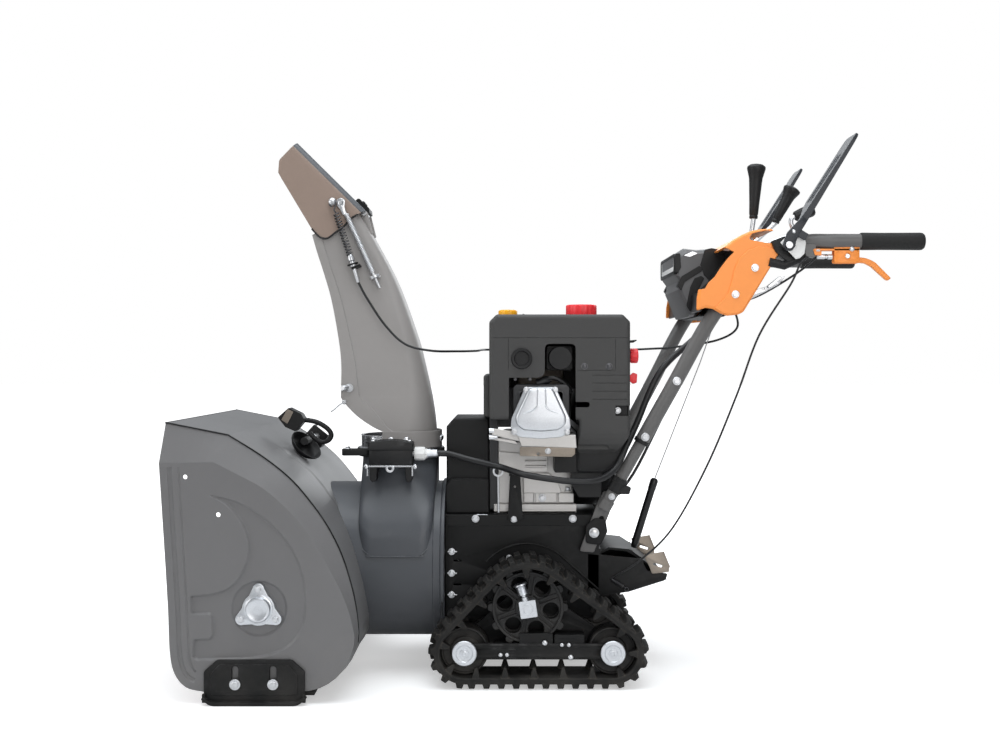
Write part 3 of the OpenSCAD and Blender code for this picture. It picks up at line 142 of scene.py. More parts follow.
def lay_floor():
    """A pale floor that takes shadows near the machine and turns white farther out."""
    floor = bpy.data.objects.new("floor", bpy.data.meshes.new("floor"))
    square = [(x * FLOOR_REACH, y * FLOOR_REACH, 0) for x, y in ((-1, -1), (1, -1), (1, 1), (-1, 1))]
    floor.data.from_pydata(square, [], [(0, 1, 2, 3)])
    bpy.context.scene.collection.objects.link(floor)
    paint = bpy.data.materials.new("studio_floor")
    paint.use_nodes = True
    tree = paint.node_tree
    tree.nodes.clear()
    matt = add_node(tree, "BsdfDiffuse", {"Color": FLOOR_GREY})
    seen = add_node(tree, "LightPath").outputs["Is Camera Ray"]
    lit = []
    for strength in (NEAR_GLOW, FAR_GLOW):
        power = add_node(tree, "Math", {0: seen, 1: strength}, operation="MULTIPLY")
        glow = add_node(tree, "Emission", {"Strength": power.outputs[0]})
        lit.append(add_node(tree, "AddShader", {0: matt.outputs[0], 1: glow.outputs[0]}).outputs[0])
    place = add_node(tree, "TexCoord").outputs["Object"]
    out = add_node(tree, "VectorMath", {0: place}, operation="LENGTH").outputs["Value"]
    far = add_node(tree, "MapRange", {"Value": out, "From Min": GLOW_FROM, "From Max": GLOW_TO},
        interpolation_type="SMOOTHSTEP")
    both = add_node(tree, "MixShader", {0: far.outputs[0], 1: lit[0], 2: lit[1]})
    add_node(tree, "OutputMaterial", {0: both.outputs[0]})
    floor.data.materials.append(paint)


place_camera()
light_studio()
lay_floor()


# ---------------------------------------------------------------- effects shared by the finishes
def effect(name, inputs, outputs):
    """A new shader node group, with what its input sockets give and what its output sockets take."""
    group = bpy.data.node_groups.new(name, "ShaderNodeTree")
    for socket, value in inputs.items():
        kind = "NodeSocketVector" if hasattr(value, "__len__") else "NodeSocketFloat"
        group.interface.new_socket(socket, in_out="INPUT", socket_type=kind).default_value = value
    for socket in outputs:
        group.interface.new_socket(socket, in_out="OUTPUT", socket_type="NodeSocketFloat")
    return group, group.nodes.new("NodeGroupInput").outputs, group.nodes.new("NodeGroupOutput").inputs


def math_node(tree, operation, *values, clamp=False):
    """A math node on values or sockets; gives its output socket."""
    return add_node(tree, "Math", enumerate(values), operation=operation, use_clamp=clamp).outputs[0]


def noise_node(tree, place, scale, detail, rough):
    inputs = {"Vector": place, "Scale": scale, "Detail": detail, "Roughness": rough}
    return add_node(tree, "TexNoise", inputs).outputs["Fac"]


def object_place(tree):
    return add_node(tree, "TexCoord").outputs["Object"]


def make_edge_tint_mask():
    """Mask of the edges, broken up by noise: where a coating is rubbed thin, and where paint and plastic get a
    painted edge highlight.
    """
    tree, given, made = effect("edge_wear_and_highlight", {"Width": 0.002, "Breaks": 0.5}, ["Mask"])
    bevel = add_node(tree, "Bevel", {"Radius": given["Width"]}, samples=6).outputs[0]
    face = add_node(tree, "NewGeometry").outputs["True Normal"]
    dot = add_node(tree, "VectorMath", {0: bevel, 1: face}, operation="DOT_PRODUCT").outputs["Value"]
    sharp = math_node(tree, "MULTIPLY", math_node(tree, "SUBTRACT", 1.0, dot), 9.0, clamp=True)
    patch = noise_node(tree, object_place(tree), 38.0, 4.0, 0.62)
    gate = add_node(tree, "MapRange", {"Value": patch, "From Min": given["Breaks"], "From Max": 0.72})
    tree.links.new(math_node(tree, "MULTIPLY", sharp, gate.outputs[0], clamp=True), made["Mask"])
    return tree


def make_mottle():
    """Slow change of tone over a surface and a finer one on top; Tone is about 1."""
    tree, given, made = effect("mottle", {"Scale": 6.0, "Depth": 0.08}, ["Tone", "Patch"])
    place = object_place(tree)
    slow = noise_node(tree, place, given["Scale"], 3.0, 0.55)
    fine = noise_node(tree, place, math_node(tree, "MULTIPLY", given["Scale"], 14.0), 2.0, 0.5)
    blend = math_node(tree, "MULTIPLY_ADD", fine, 0.35, math_node(tree, "MULTIPLY", slow, 0.65))
    swing = math_node(tree, "MULTIPLY", math_node(tree, "SUBTRACT", blend, 0.5), 2.0)
    tree.links.new(math_node(tree, "MULTIPLY_ADD", swing, given["Depth"], 1.0), made["Tone"])
    tree.links.new(slow, made["Patch"])
    return tree


def make_pebble():
    """Height of a fine moulded or sprayed texture."""
    tree, given, made = effect("pebble", {"Scale": 900.0}, ["Height"])
    place = object_place(tree)
    cells = add_node(tree, "TexVoronoi", {"Vector": place, "Scale": given["Scale"]}, feature="SMOOTH_F1")
    grain = noise_node(tree, place, given["Scale"], 2.0, 0.6)
    height = math_node(tree, "MULTIPLY_ADD", cells.outputs["Distance"], 0.6, math_node(tree, "MULTIPLY", grain, 0.5))
    tree.links.new(height, made["Height"])
    return tree


def make_ground_dust():
    """Mask of the dust that settles in patches low on the machine."""
    tree, given, made = effect("ground_dust", {"Reach": 0.25, "Most": 0.5}, ["Mask"])
    place = object_place(tree)
    height = add_node(tree, "SeparateXYZ", {0: place}).outputs["Z"]
    low = add_node(tree, "MapRange", {"Value": height, "From Max": given["Reach"], "To Min": 1.0, "To Max": 0.0})
    patch = noise_node(tree, place, 17.0, 5.0, 0.6)
    spread = math_node(tree, "MULTIPLY", math_node(tree, "SUBTRACT", patch, 0.38), 2.6, clamp=True)
    mask = math_node(tree, "MULTIPLY", low.outputs[0], spread)
    tree.links.new(math_node(tree, "MULTIPLY", mask, given["Most"], clamp=True), made["Mask"])
    return tree


def make_brushing():
    """Height and tone of fine lines that run round or along a machined piece."""
    tree, given, made = effect("brushing", {"Scale": 260.0, "Stretch": (1.0, 0.06, 1.0)}, ["Height", "Tone"])
    pull = add_node(tree, "VectorMath", {0: object_place(tree), 1: given["Stretch"]}, operation="MULTIPLY")
    lines = noise_node(tree, pull.outputs[0], given["Scale"], 4.0, 0.7)
    tree.links.new(lines, made["Height"])
    tone = math_node(tree, "MULTIPLY_ADD", math_node(tree, "SUBTRACT", lines, 0.5), 0.35, 1.0)
    tree.links.new(tone, made["Tone"])
    return tree


EDGE_TINT_MASK, MOTTLE, PEBBLE = make_edge_tint_mask(), make_mottle(), make_pebble()
GROUND_DUST, BRUSHING = make_ground_dust(), make_brushing()
DUST, DUST_ROUGH = (0.36, 0.33, 0.29), 0.9


class Finish:
    """A material under construction: its colour is built up in layers, then joined to the shader."""

    def __init__(self, name, slot, colour, rough, metal=0.0):
        self.slot = slot
        self.material = bpy.data.materials.new(name)
        self.material.use_nodes = True
        self.material.diffuse_color = (*colour, 1)
        self.tree = self.material.node_tree
        self.shader = self.tree.nodes["Principled BSDF"]
        for socket, value in (("Base Color", (*colour, 1)), ("Roughness", rough), ("Metallic", metal)):
            self.shader.inputs[socket].default_value = value
        self.colour = add_node(self.tree, "RGB").outputs[0]
        self.colour.default_value = (*colour, 1)
        self.rough, self.normal = rough, None

    def _group(self, tree, **values):
        node = add_node(self.tree, "Group", node_tree=tree)
        for socket, value in values.items():
            node.inputs[socket].default_value = value
        return node.outputs

    def _scale_colour(self, tone):
        scaled = add_node(self.tree, "VectorMath", {0: self.colour}, operation="SCALE")
        self.tree.links.new(tone, scaled.inputs["Scale"])
        self.colour = scaled.outputs[0]

    def tint(self, mask, colour, rough=None):
        """Lays another colour over this one where mask says, with its own roughness."""
        inputs = {"Factor": mask, "A": self.colour, "B": (*colour, 1)}
        self.colour = add_node(self.tree, "Mix", inputs, data_type="RGBA").outputs["Result"]
        if rough is not None:
            inputs = {"Factor": mask, "A": self.rough, "B": rough}
            self.rough = add_node(self.tree, "Mix", inputs, data_type="FLOAT").outputs["Result"]
        return self

    def mottle(self, depth, scale, rough_swing):
        """Uneven tone and gloss."""
        cloud = self._group(MOTTLE, Scale=scale, Depth=depth)
        self._scale_colour(cloud["Tone"])
        swing = math_node(self.tree, "SUBTRACT", cloud["Patch"], 0.5)
        self.rough = math_node(self.tree, "MULTIPLY_ADD", swing, 2 * rough_swing, self.rough, clamp=True)
        return self

    def tint_edges(self, colour, width, breaks, rough=None):
        """Edges tinted to another colour: rubbed wear, and on paint and plastic a painted edge highlight as well."""
        return self.tint(self._group(EDGE_TINT_MASK, Width=width, Breaks=breaks)["Mask"], colour, rough)

    def dusty(self, reach, most):
        return self.tint(self._group(GROUND_DUST, Reach=reach, Most=most)["Mask"], DUST, DUST_ROUGH)

    def _raised(self, height, depth):
        """Adds a bump of that depth in metres."""
        inputs = {"Distance": depth, "Strength": 1.0, "Height": height, "Normal": self.normal}
        self.normal = add_node(self.tree, "Bump", inputs).outputs["Normal"]
        return self

    def pebbled(self, scale, depth):
        return self._raised(self._group(PEBBLE, Scale=scale)["Height"], depth)

    def brushed(self, scale, stretch, depth):
        lines = self._group(BRUSHING, Scale=scale, Stretch=stretch)
        self._scale_colour(lines["Tone"])
        return self._raised(lines["Height"], depth)

    def rounded(self, radius):
        """Softens hard edges where light meets them."""
        self.normal = add_node(self.tree, "Bevel", {"Radius": radius}, samples=4).outputs[0]
        return self

    def done(self, shine=None):
        for socket, value in (("Base Color", self.colour), ("Roughness", self.rough), ("Normal", self.normal)):
            self.tree.links.new(value, self.shader.inputs[socket])
        if shine is not None:
            self.shader.inputs["Specular IOR Level"].default_value = shine
        return self


def sprayed(name, slot, colour, rough, paler_edge, reach=0.16, most=0.14, shine=0.45, peel=0.00009):
    """Powder coat: orange-peel skin, uneven gloss, edges painted paler as a painted edge highlight and some rubbed
    wear, dust near the ground.
    """
    made = Finish(name, slot, colour, rough).rounded(0.0012).mottle(0.07, 5.0, 0.07)
    return made.pebbled(420.0, peel).tint_edges(paler_edge, 0.0016, 0.46, 0.5).dusty(reach, most).done(shine)


def moulded(name, slot, colour, rough, scale=1500.0, depth=0.00010, paler_edge=0.10, shine=0.42):
    """Moulded plastic with a fine spark-eroded skin, its edges painted paler as a painted edge highlight and some
    wear.
    """
    made = Finish(name, slot, colour, rough).rounded(0.0009).mottle(0.06, 9.0, 0.06).pebbled(scale, depth)
    # Paler edge colour: painted edge highlight and wear.
    pale = tuple(min(1.0, c + paler_edge * (0.4 + c)) for c in colour)
    return made.tint_edges(pale, 0.0010, 0.5).dusty(0.2, 0.25).done(shine)


def plated(name, slot, colour, rough, stretch=(1.0, 1.0, 1.0), spots=(0.55, 0.52, 0.46)):
    """Bright metal with fine working lines and a few dull spots."""
    made = Finish(name, slot, colour, rough, 1.0).rounded(0.0006).brushed(420.0, stretch, 0.00003)
    return made.mottle(0.10, 22.0, 0.10).tint_edges(spots, 0.0008, 0.56).done()


# The fourth value of a row is the paler edge colour: a painted edge highlight, and some wear.
SPRAYED = {"housing_coat": ("housing_paint", (0.150, 0.148, 0.150), 0.40, (0.26, 0.26, 0.27)),
    "chute_coat": ("chute_paint", (0.275, 0.262, 0.254), 0.42, (0.36, 0.35, 0.35)),
    # Warm brown deflector paint: a painted warm reflection over paint that is grey like the chute's.
    "hood_warm_reflection_coat": ("hood_paint", (0.262, 0.196, 0.160), 0.40, (0.33, 0.30, 0.28)),
    "drum_coat": ("drum_paint", (0.066, 0.071, 0.080), 0.40, (0.20, 0.21, 0.22)),
    "black_coat": ("black_paint", (0.0055, 0.0056, 0.0058), 0.50, (0.08, 0.08, 0.08), 0.14, 0.06, 0.26),
    "paddle_coat": ("black_paint", (0.018, 0.021, 0.027), 0.42, (0.14, 0.15, 0.16), 0.2, 0.16, 0.45, 0.00001),
    "tube_coat": ("tube_paint", (0.118, 0.115, 0.113), 0.42, (0.30, 0.29, 0.28)),
    "auger_coat": ("auger_paint", (0.56, 0.085, 0.018), 0.36, (0.35, 0.33, 0.31), 0.35, 0.3),
    "gear_case": ("gear_case_iron", (0.030, 0.030, 0.032), 0.5, (0.16, 0.16, 0.16)),}
# The sixth value of a row, where given, is how much paler the edges are painted: a painted edge highlight, and some
# wear.
MOULDED = {"black_plastic": ("black_plastic", (0.0065, 0.0065, 0.0070), 0.48, 1500.0, 0.00010, 0.10, 0.36),
    "soft_black": ("black_plastic", (0.0055, 0.0055, 0.0058), 0.36, 700.0, 0.00004),
    "engine_plastic": ("engine_plastic", (0.043, 0.0425, 0.042), 0.55, 1300.0, 0.00016),
    "lamp_plastic": ("lamp_plastic", (0.105, 0.105, 0.108), 0.46),
    "orange_plastic": ("orange_plastic", (0.93, 0.300, 0.058), 0.36, 1100.0, 0.00005, 0.02),
    "red_plastic": ("red_plastic", (0.93, 0.040, 0.050), 0.34, 1100.0, 0.00004, 0.02),
    "yellow_plastic": ("yellow_plastic", (0.93, 0.43, 0.012), 0.36, 1100.0, 0.00004, 0.02),
    "white_plastic": ("lens", (0.80, 0.80, 0.79), 0.30, 1100.0, 0.00003, 0.02),
    "grip_rubber": ("grip_rubber", (0.0075, 0.0075, 0.0075), 0.62, 600.0, 0.00014),
    "cable_sheath": ("cable_rubber", (0.012, 0.012, 0.013), 0.40, 800.0, 0.00004),}
PLATED = {"zinc": ("zinc", (0.66, 0.67, 0.69), 0.30), "steel": ("steel", (0.50, 0.50, 0.51), 0.34, (1.0, 0.08, 1.0)),
    "spring_steel": ("steel", (0.10, 0.10, 0.105), 0.38), "muffler_steel": ("muffler_steel", (0.30, 0.26, 0.22), 0.48,
    (1.0, 1.0, 1.0), (0.20, 0.10, 0.06)), "bright_alloy": ("bright_alloy", (0.66, 0.68, 0.71), 0.36, (1.0, 1.0, 1.0),
    (0.6, 0.6, 0.6)),}
FINISH = {name: make(name, *row) for make, rows in ((sprayed, SPRAYED), (moulded, MOULDED),
    (plated, PLATED)) for name, row in rows.items()}


def track_rubber():
    """Moulded rubber, dusty in its pores and near the ground."""
    made = Finish("track_rubber", "track_rubber", (0.0065, 0.0065, 0.0066), 0.66).rounded(0.0015)
    made.mottle(0.25, 14.0, 0.10).pebbled(520.0, 0.00025).tint_edges((0.060, 0.052, 0.043), 0.0035, 0.30, 0.8)
    return made.dusty(0.30, 0.10).done(0.28)


def cast_alloy():
    """Sand-cast alloy: grainy, a little warm, dull."""
    made = Finish("cast_alloy", "cast_alloy", (0.56, 0.545, 0.53), 0.46, 0.9).rounded(0.002)
    return made.mottle(0.16, 26.0, 0.12).pebbled(380.0, 0.0003).tint_edges((0.75, 0.74, 0.72), 0.0016, 0.44, 0.32).done()


FINISH["track_rubber"] = track_rubber()
FINISH["cast_alloy"] = cast_alloy()


# ---------------------------------------------------------------- shapes: each is (points, faces), in millimetres
def on_plane(plane, a, b, c):
    """A point from two drawing coordinates and a depth; 'xz' looks along Y, 'yz' along X and 'xy' down."""
    return {"xz": (a, c, b), "yz": (c, a, b), "xy": (a, b, c)}[plane]


def closed_up(points, faces, plane):
    """Turns the faces round where the drawing plane is left-handed."""
    return (points, [tuple(reversed(f)) for f in faces]) if plane == "xz" else (points, faces)


def slab(outline, low, high, plane="xz"):
    """A drawing pushed out from low to high."""
    outline = [p for i, p in enumerate(outline) if (Vector(p) - Vector(outline[i - 1])).length > SAME_POINT]
    n = len(outline)
    area = sum(outline[i - 1][0] * outline[i][1] - outline[i][0] * outline[i - 1][1] for i in range(n))
    drawn = outline if area > 0 else outline[::-1]
    points = [on_plane(plane, a, b, low) for a, b in drawn] + [on_plane(plane, a, b, high) for a, b in drawn]
    faces = [tuple(range(n - 1, -1, -1)), tuple(range(n, 2 * n))]
    faces += [(i, (i + 1) % n, n + (i + 1) % n, n + i) for i in range(n)]
    return closed_up(points, faces, plane)


def block(x0, x1, y0, y1, z0, z1):
    return slab([(x0, z0), (x1, z0), (x1, z1), (x0, z1)], y0, y1)


def turned(profile, at, along, steps=32):
    """A profile of (radius, height) pairs turned round a line; ends at radius 0 close to a point."""
    along = Vector(along).normalized()
    side = along.orthogonal().normalized()
    across = along.cross(side)
    points, rings, faces = [], [], []
    for radius, height in profile:
        centre = Vector(at) + along * height
        if radius < 1e-6:
            rings.append([len(points)])
            points.append(centre)
        else:
            rings.append(list(range(len(points), len(points) + steps)))
            points += [centre + radius * (cos(tau * k / steps) * side + sin(tau * k / steps) * across) for k
                in range(steps)]
    for lower, upper in zip(rings, rings[1:]):
        for k in range(steps):
            j = (k + 1) % steps
            if len(lower) == 1:
                faces.append((lower[0], upper[j], upper[k]))
            elif len(upper) == 1:
                faces.append((lower[k], lower[j], upper[0]))
            else:
                faces.append((lower[k], lower[j], upper[j], upper[k]))
    if len(rings[0]) > 1 and profile[0] != profile[-1]:
        faces.append(tuple(reversed(rings[0])))
    if len(rings[-1]) > 1 and profile[0] != profile[-1]:
        faces.append(tuple(rings[-1]))
    if profile[0] == profile[-1]:
        last = {b: a for a, b in zip(rings[0], rings[-1])}
        faces = [tuple(last.get(i, i) for i in f) for f in faces]
        points = points[:-steps]
    return points, faces


def spun(outline, at, along, steps=48):
    """A closed profile turned round a line, such as a ring or a rim."""
    return turned(list(outline) + [outline[0]], at, along, steps)


def round_bar(radius, low, high, at, along, steps=32):
    return turned([(0, low), (radius, low), (radius, high), (0, high)], at, along, steps)


def hollow_bar(inner, outer, low, high, at, along, steps=48):
    return spun([(inner, low), (outer, low), (outer, high), (inner, high)], at, along, steps)


def smooth_route(route, steps=6, closed=False):
    """Points of a smooth curve through a route."""
    route = [Vector(p) for p in route]
    count = len(route)
    made = []
    for i in range(count if closed else count - 1):
        if closed:
            a, b, c, d = (route[(i + k) % count] for k in (-1, 0, 1, 2))
        else:
            a, b, c, d = route[max(i - 1, 0)], route[i], route[i + 1], route[min(i + 2, count - 1)]
        for k in range(steps):
            t = k / steps
            made.append(0.5 * (2 * b + (c - a) * t + (2 * a - 5 * b + 4 * c - d) * t * t + (3 * b - a - 3 * c + d)
                * t ** 3))
    return made if closed else made + [route[-1]]


def pipe(route, radius, sides=12, closed=False, turn=0.0, flat=1.0):
    """A round bar along a route; radius is one number or one for each point, and flat squeezes it one way."""
    route = [Vector(p) for p in route]
    count = len(route)
    radii = radius if hasattr(radius, "__len__") else [radius] * count

    def heading(i):
        before = route[i - 1] if closed or i else route[0]
        after = route[(i + 1) % count] if closed or i < count - 1 else route[i]
        return (after - before).normalized()

    side = heading(0).orthogonal().normalized()
    points = []
    for i in range(count):
        ahead = heading(i)
        side = (side - side.dot(ahead) * ahead).normalized()
        across = ahead.cross(side)
        points += [route[i] + radii[i] * (cos(tau * k / sides + turn) * side + flat * sin(tau * k / sides + turn)
            * across) for k in range(sides)]
    faces = []
    for i in range(count if closed else count - 1):
        a, b = i * sides, ((i + 1) % count) * sides
        faces += [(a + k, a + (k + 1) % sides, b + (k + 1) % sides, b + k) for k in range(sides)]
    if not closed:
        faces += [tuple(range(sides - 1, -1, -1)), tuple(range((count - 1) * sides, count * sides))]
    return points, faces


def coil(low, high, radius, wire, turns, per_turn=14, sides=6):
    """A spring between two points."""
    low, high = Vector(low), Vector(high)
    ahead = (high - low).normalized()
    side = ahead.orthogonal().normalized()
    across = ahead.cross(side)
    steps = int(turns * per_turn)
    route = [low + (high - low) * i / steps + radius * (cos(tau * i / per_turn) * side + sin(tau * i / per_turn)
        * across) for i in range(steps + 1)]
    return pipe(route, wire, sides)


def face_out(mesh, weld=0.0):
    """Turns every face outwards and joins points that lie together."""
    skin = bmesh.new()
    skin.from_mesh(mesh)
    if weld:
        bmesh.ops.remove_doubles(skin, verts=skin.verts, dist=weld)
    bmesh.ops.recalc_face_normals(skin, faces=skin.faces)
    skin.to_mesh(mesh)
    skin.free()


def plate(outline, holes, low, high, plane="xz", edge=0.6):
    """A flat plate with holes in it and rounded edges; a hole is (a, b, radius) or a list of points."""
    curve = bpy.data.curves.new("plate", "CURVE")
    curve.dimensions, curve.fill_mode = "2D", "BOTH"
    curve.extrude = (high - low) / 2 - edge
    curve.bevel_depth, curve.bevel_resolution, curve.offset = edge, 1 if edge < 3 else 4, -edge
    rounds = [[(h[0] + h[2] * cos(tau * k / HOLE_STEPS), h[1] + h[2] * sin(tau * k / HOLE_STEPS))
               for k in range(HOLE_STEPS)] if len(h) == 3 and not hasattr(h[0], "__len__") else h for h in holes]
    for loop in [outline, *rounds]:
        loop = [p for i, p in enumerate(loop) if (Vector(p) - Vector(loop[i - 1])).length > SAME_POINT]
        spline = curve.splines.new("POLY")
        spline.points.add(len(loop) - 1)
        for point, (a, b) in zip(spline.points, loop):
            point.co = (a, b, 0, 1)
        spline.use_cyclic_u = True
    holder = bpy.data.objects.new("plate", curve)
    mesh = bpy.data.meshes.new_from_object(holder)
    bpy.data.objects.remove(holder)
    bpy.data.curves.remove(curve)
    face_out(mesh, WELD)
    middle = (low + high) / 2
    points = [on_plane(plane, v.co.x, v.co.y, middle + v.co.z) for v in mesh.vertices]
    faces = [tuple(p.vertices) for p in mesh.polygons]
    bpy.data.meshes.remove(mesh)
    return closed_up(points, faces, plane)


def moved(shape, by):
    by = Vector(by)
    return [Vector(p) + by for p in shape[0]], shape[1]


def turned_by(shape, angle, axis, about):
    """A shape turned by degrees round an axis through a point."""
    spin = Matrix.Rotation(radians(angle), 4, axis)
    about = Vector(about)
    return [spin @ (Vector(p) - about) + about for p in shape[0]], shape[1]


def mirrored(shape):
    """The same shape on the machine's other side."""
    return [Vector((p[0], -p[1], p[2])) for p in shape[0]], [tuple(reversed(f)) for f in shape[1]]


def both_sides(*shapes):
    return [s for shape in shapes for s in (shape, mirrored(shape))]


def on_side(side, shapes, drawn=RIGHT):
    """Shapes drawn for one side, mirrored where they go on the other."""
    return shapes if side == drawn else [mirrored(shape) for shape in shapes]


def arc(centre, radius, first, last, steps=8):
    """Drawing points on an arc, in degrees."""
    return [(centre[0] + radius * cos(radians(first + (last - first) * k / steps)),
        centre[1] + radius * sin(radians(first + (last - first) * k / steps))) for k in range(steps + 1)]


def rounded_loop(points, radius, steps=5):
    """A drawn outline with its corners rounded; radius is one number or one for each corner."""
    made = []
    count = len(points)
    radii = radius if hasattr(radius, "__len__") else [radius] * count
    for i, corner in enumerate(points):
        here = Vector((*corner, 0))
        before, after = Vector((*points[i - 1], 0)), Vector((*points[(i + 1) % count], 0))
        a, b = (before - here), (after - here)
        half = a.angle(b) / 2
        reach = min(radii[i] / max(0.05, abs(np.tan(half))), a.length * SIDE_SHARE, b.length * SIDE_SHARE)
        if reach < WELD or half > STRAIGHT:
            made.append(corner)
            continue
        p, q = here + a.normalized() * reach, here + b.normalized() * reach
        for k in range(steps + 1):
            t = k / steps
            point = (1 - t) ** 2 * p + 2 * t * (1 - t) * here + t * t * q
            made.append((point.x, point.y))
    return made


def rectangle(x0, x1, z0, z1, radius=3.0, steps=4):
    return rounded_loop([(x0, z0), (x1, z0), (x1, z1), (x0, z1)], radius, steps)


def slot_loop(x, z, length, width, tilt=90.0):
    """A drawn slot with round ends."""
    along = Vector((cos(radians(tilt)), sin(radians(tilt))))
    reach = (length - width) / 2
    first = (x + along.x * reach, z + along.y * reach)
    last = (x - along.x * reach, z - along.y * reach)
    return arc(first, width / 2, tilt - 90, tilt + 90) + arc(last, width / 2, tilt + 90, tilt + 270)


def hex_bolt(at, along, across=13.0, height=5.5, washer=None, socket=False):
    """A bolt head on its washer or flange, seated at a point."""
    washer = across * 0.78 if washer is None else washer
    r = across / 2 / cos(pi / 6)
    face = turned([(0, 0), (washer, 0), (washer, 1.0), (washer - 0.5, 1.6), (0, 1.6)], at, along, 24)
    head = turned([(r, 1.4), (r, height - 0.8), (r * 0.86, height), (0, height)] if not socket else [(r, 1.4),
        (r, height - 0.8), (r * 0.86, height), (r * 0.55, height), (r * 0.5, height - 2), (0, height - 2)], at, along,
        6)
    return [face, head]


def dome_bolt(at, along, radius=9.0, height=5.0):
    """A round domed head."""
    rise = [(radius * cos(radians(a)), height * 0.35 + height * 0.65 * sin(radians(a))) for a in range(0, 90, 15)]
    return [turned([(0, 0), (radius, 0), *rise, (0, height)], at, along, 24)]


# ---------------------------------------------------------------- pieces made from shapes
def piece(name, shapes, body, finish, round_by=0.0, sharp=SHARP, replaces=(), segments=2):
    """Joins shapes into one piece that rides on a body, or on none when no body is given."""
    points, faces = [], []
    for shape in shapes:
        start = len(points)
        points += [Vector(p) * MM for p in shape[0]]
        faces += [tuple(i + start for i in f) for f in shape[1]]
    mesh = bpy.data.meshes.new(name)
    mesh.from_pydata(points, [], faces)
    mesh.validate()
    face_out(mesh)
    made = bpy.data.objects.new(name, mesh)
    bpy.context.scene.collection.objects.link(made)
    mesh.shade_smooth()
    mesh.set_sharp_from_angle(angle=radians(sharp))
    if round_by:
        bevel = made.modifiers.new("rounded", "BEVEL")
        bevel.width, bevel.segments = round_by * MM, segments
        bevel.limit_method, bevel.angle_limit = "ANGLE", radians(sharp)
        bevel.harden_normals = True
    dress(made, finish)
    if body:
        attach(made, body)
    if replaces:
        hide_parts(*([replaces] if isinstance(replaces, str) else replaces))
    return made


def dress(made, finish):
    """Gives a piece one finish all over."""
    made.data.materials.clear()
    made.data.materials.append(FINISH[finish].material)


def cut(made, shapes):
    """Cuts shapes out of a piece for good."""
    for shape in shapes:
        mesh = bpy.data.meshes.new("cutter")
        mesh.from_pydata([Vector(p) * MM for p in shape[0]], [], shape[1])
        face_out(mesh)
        tool = bpy.data.objects.new("cutter", mesh)
        bpy.context.scene.collection.objects.link(tool)
        carve = made.modifiers.new("cut", "BOOLEAN")
        carve.operation, carve.object, carve.solver = "DIFFERENCE", tool, "EXACT"
        use_modifiers(made)
        bpy.data.objects.remove(tool)
    return made


def use_modifiers(made, sharp=SHARP):
    """Turns a piece's modifiers into mesh."""
    graph = bpy.context.evaluated_depsgraph_get()
    graph.update()
    mesh = bpy.data.meshes.new_from_object(made.evaluated_get(graph))
    made.modifiers.clear()
    made.data = mesh
    mesh.shade_smooth()
    mesh.set_sharp_from_angle(angle=radians(sharp))
    return made


def even_out(made, sharp=34.0):
    """Shades big flat faces flat and small bends smooth."""
    made.data.set_sharp_from_angle(angle=radians(sharp))
    skin = bmesh.new()
    skin.from_mesh(made.data)
    for edge in skin.edges:
        if len(edge.link_faces) == 2 and edge.calc_face_angle(0) > SLIGHT_BEND:
            if max(face.calc_area() for face in edge.link_faces) > BIG_FACE:
                edge.smooth = False
    skin.to_mesh(made.data)
    skin.free()
    level = made.modifiers.new("level", "WEIGHTED_NORMAL")
    level.keep_sharp, level.weight = True, 60


# ---------------------------------------------------------------- intake housing
def offset_loop(loop, inward, fade=None):
    """A closed drawing moved in by a distance, less where fade says so."""
    count = len(loop)
    area = sum(loop[i - 1][0] * loop[i][1] - loop[i][0] * loop[i - 1][1] for i in range(count))
    turn = 1 if area > 0 else -1
    made = []
    for i in range(count):
        before = Vector(loop[i]) - Vector(loop[i - 1])
        after = Vector(loop[(i + 1) % count]) - Vector(loop[i])
        n0, n1 = Vector((-before.y, before.x)).normalized(), Vector((-after.y, after.x)).normalized()
        mitre = n0 + n1
        mitre *= turn * inward / max(0.35, mitre.length_squared / 2) * (fade(loop[i]) if fade else 1)
        made.append((loop[i][0] + mitre.x, loop[i][1] + mitre.y))
    return made


def soft_loop(points, corner=7.0, bend=150.0):
    """A drawn outline with tight corners rounded a little and gentle bends a lot."""
    radii = []
    for i, here in enumerate(points):
        a = Vector(points[i - 1]) - Vector(here)
        b = Vector(points[(i + 1) % len(points)]) - Vector(here)
        radii.append(bend if a.angle(b) > radians(138) else corner)
    return rounded_loop(points, radii, 4)


def pressed_sheet(outline, pressings, side_y, plane="xz"):
    """A flat sheet with shapes pressed into it; a pressing is (outline, start depth, depth, slope width, fade)."""
    points, depths, edges = [], [], []

    def add(loop, depth):
        start = len(points)
        points.extend(Vector(p) for p in loop)
        depths.extend(depth if hasattr(depth, "__len__") else [depth] * len(loop))
        edges.extend((start + i, start + (i + 1) % len(loop)) for i in range(len(loop)))

    add(outline, 0)
    for loop, start, depth, slope, fade in pressings:
        for share, fall in ((0, 0), (0.28, 0.14), (0.72, 0.86), (1, 1)):
            add(offset_loop(loop, slope * share, fade), [start + (depth - start) * fall * (fade(p) if fade else 1)
                for p in loop])
    flat, _, faces, origin, _, _ = delaunay_2d_cdt(points, edges, [], 1, SAME_POINT)
    deep = [depths[o[0]] if o else 0 for o in origin]
    turn = -1 if side_y < 0 else 1
    made = [on_plane(plane, p.x, p.y, side_y - turn * d) for p, d in zip(flat, deep)]
    return made, [tuple(f) if side_y < 0 else tuple(reversed(f)) for f in faces]


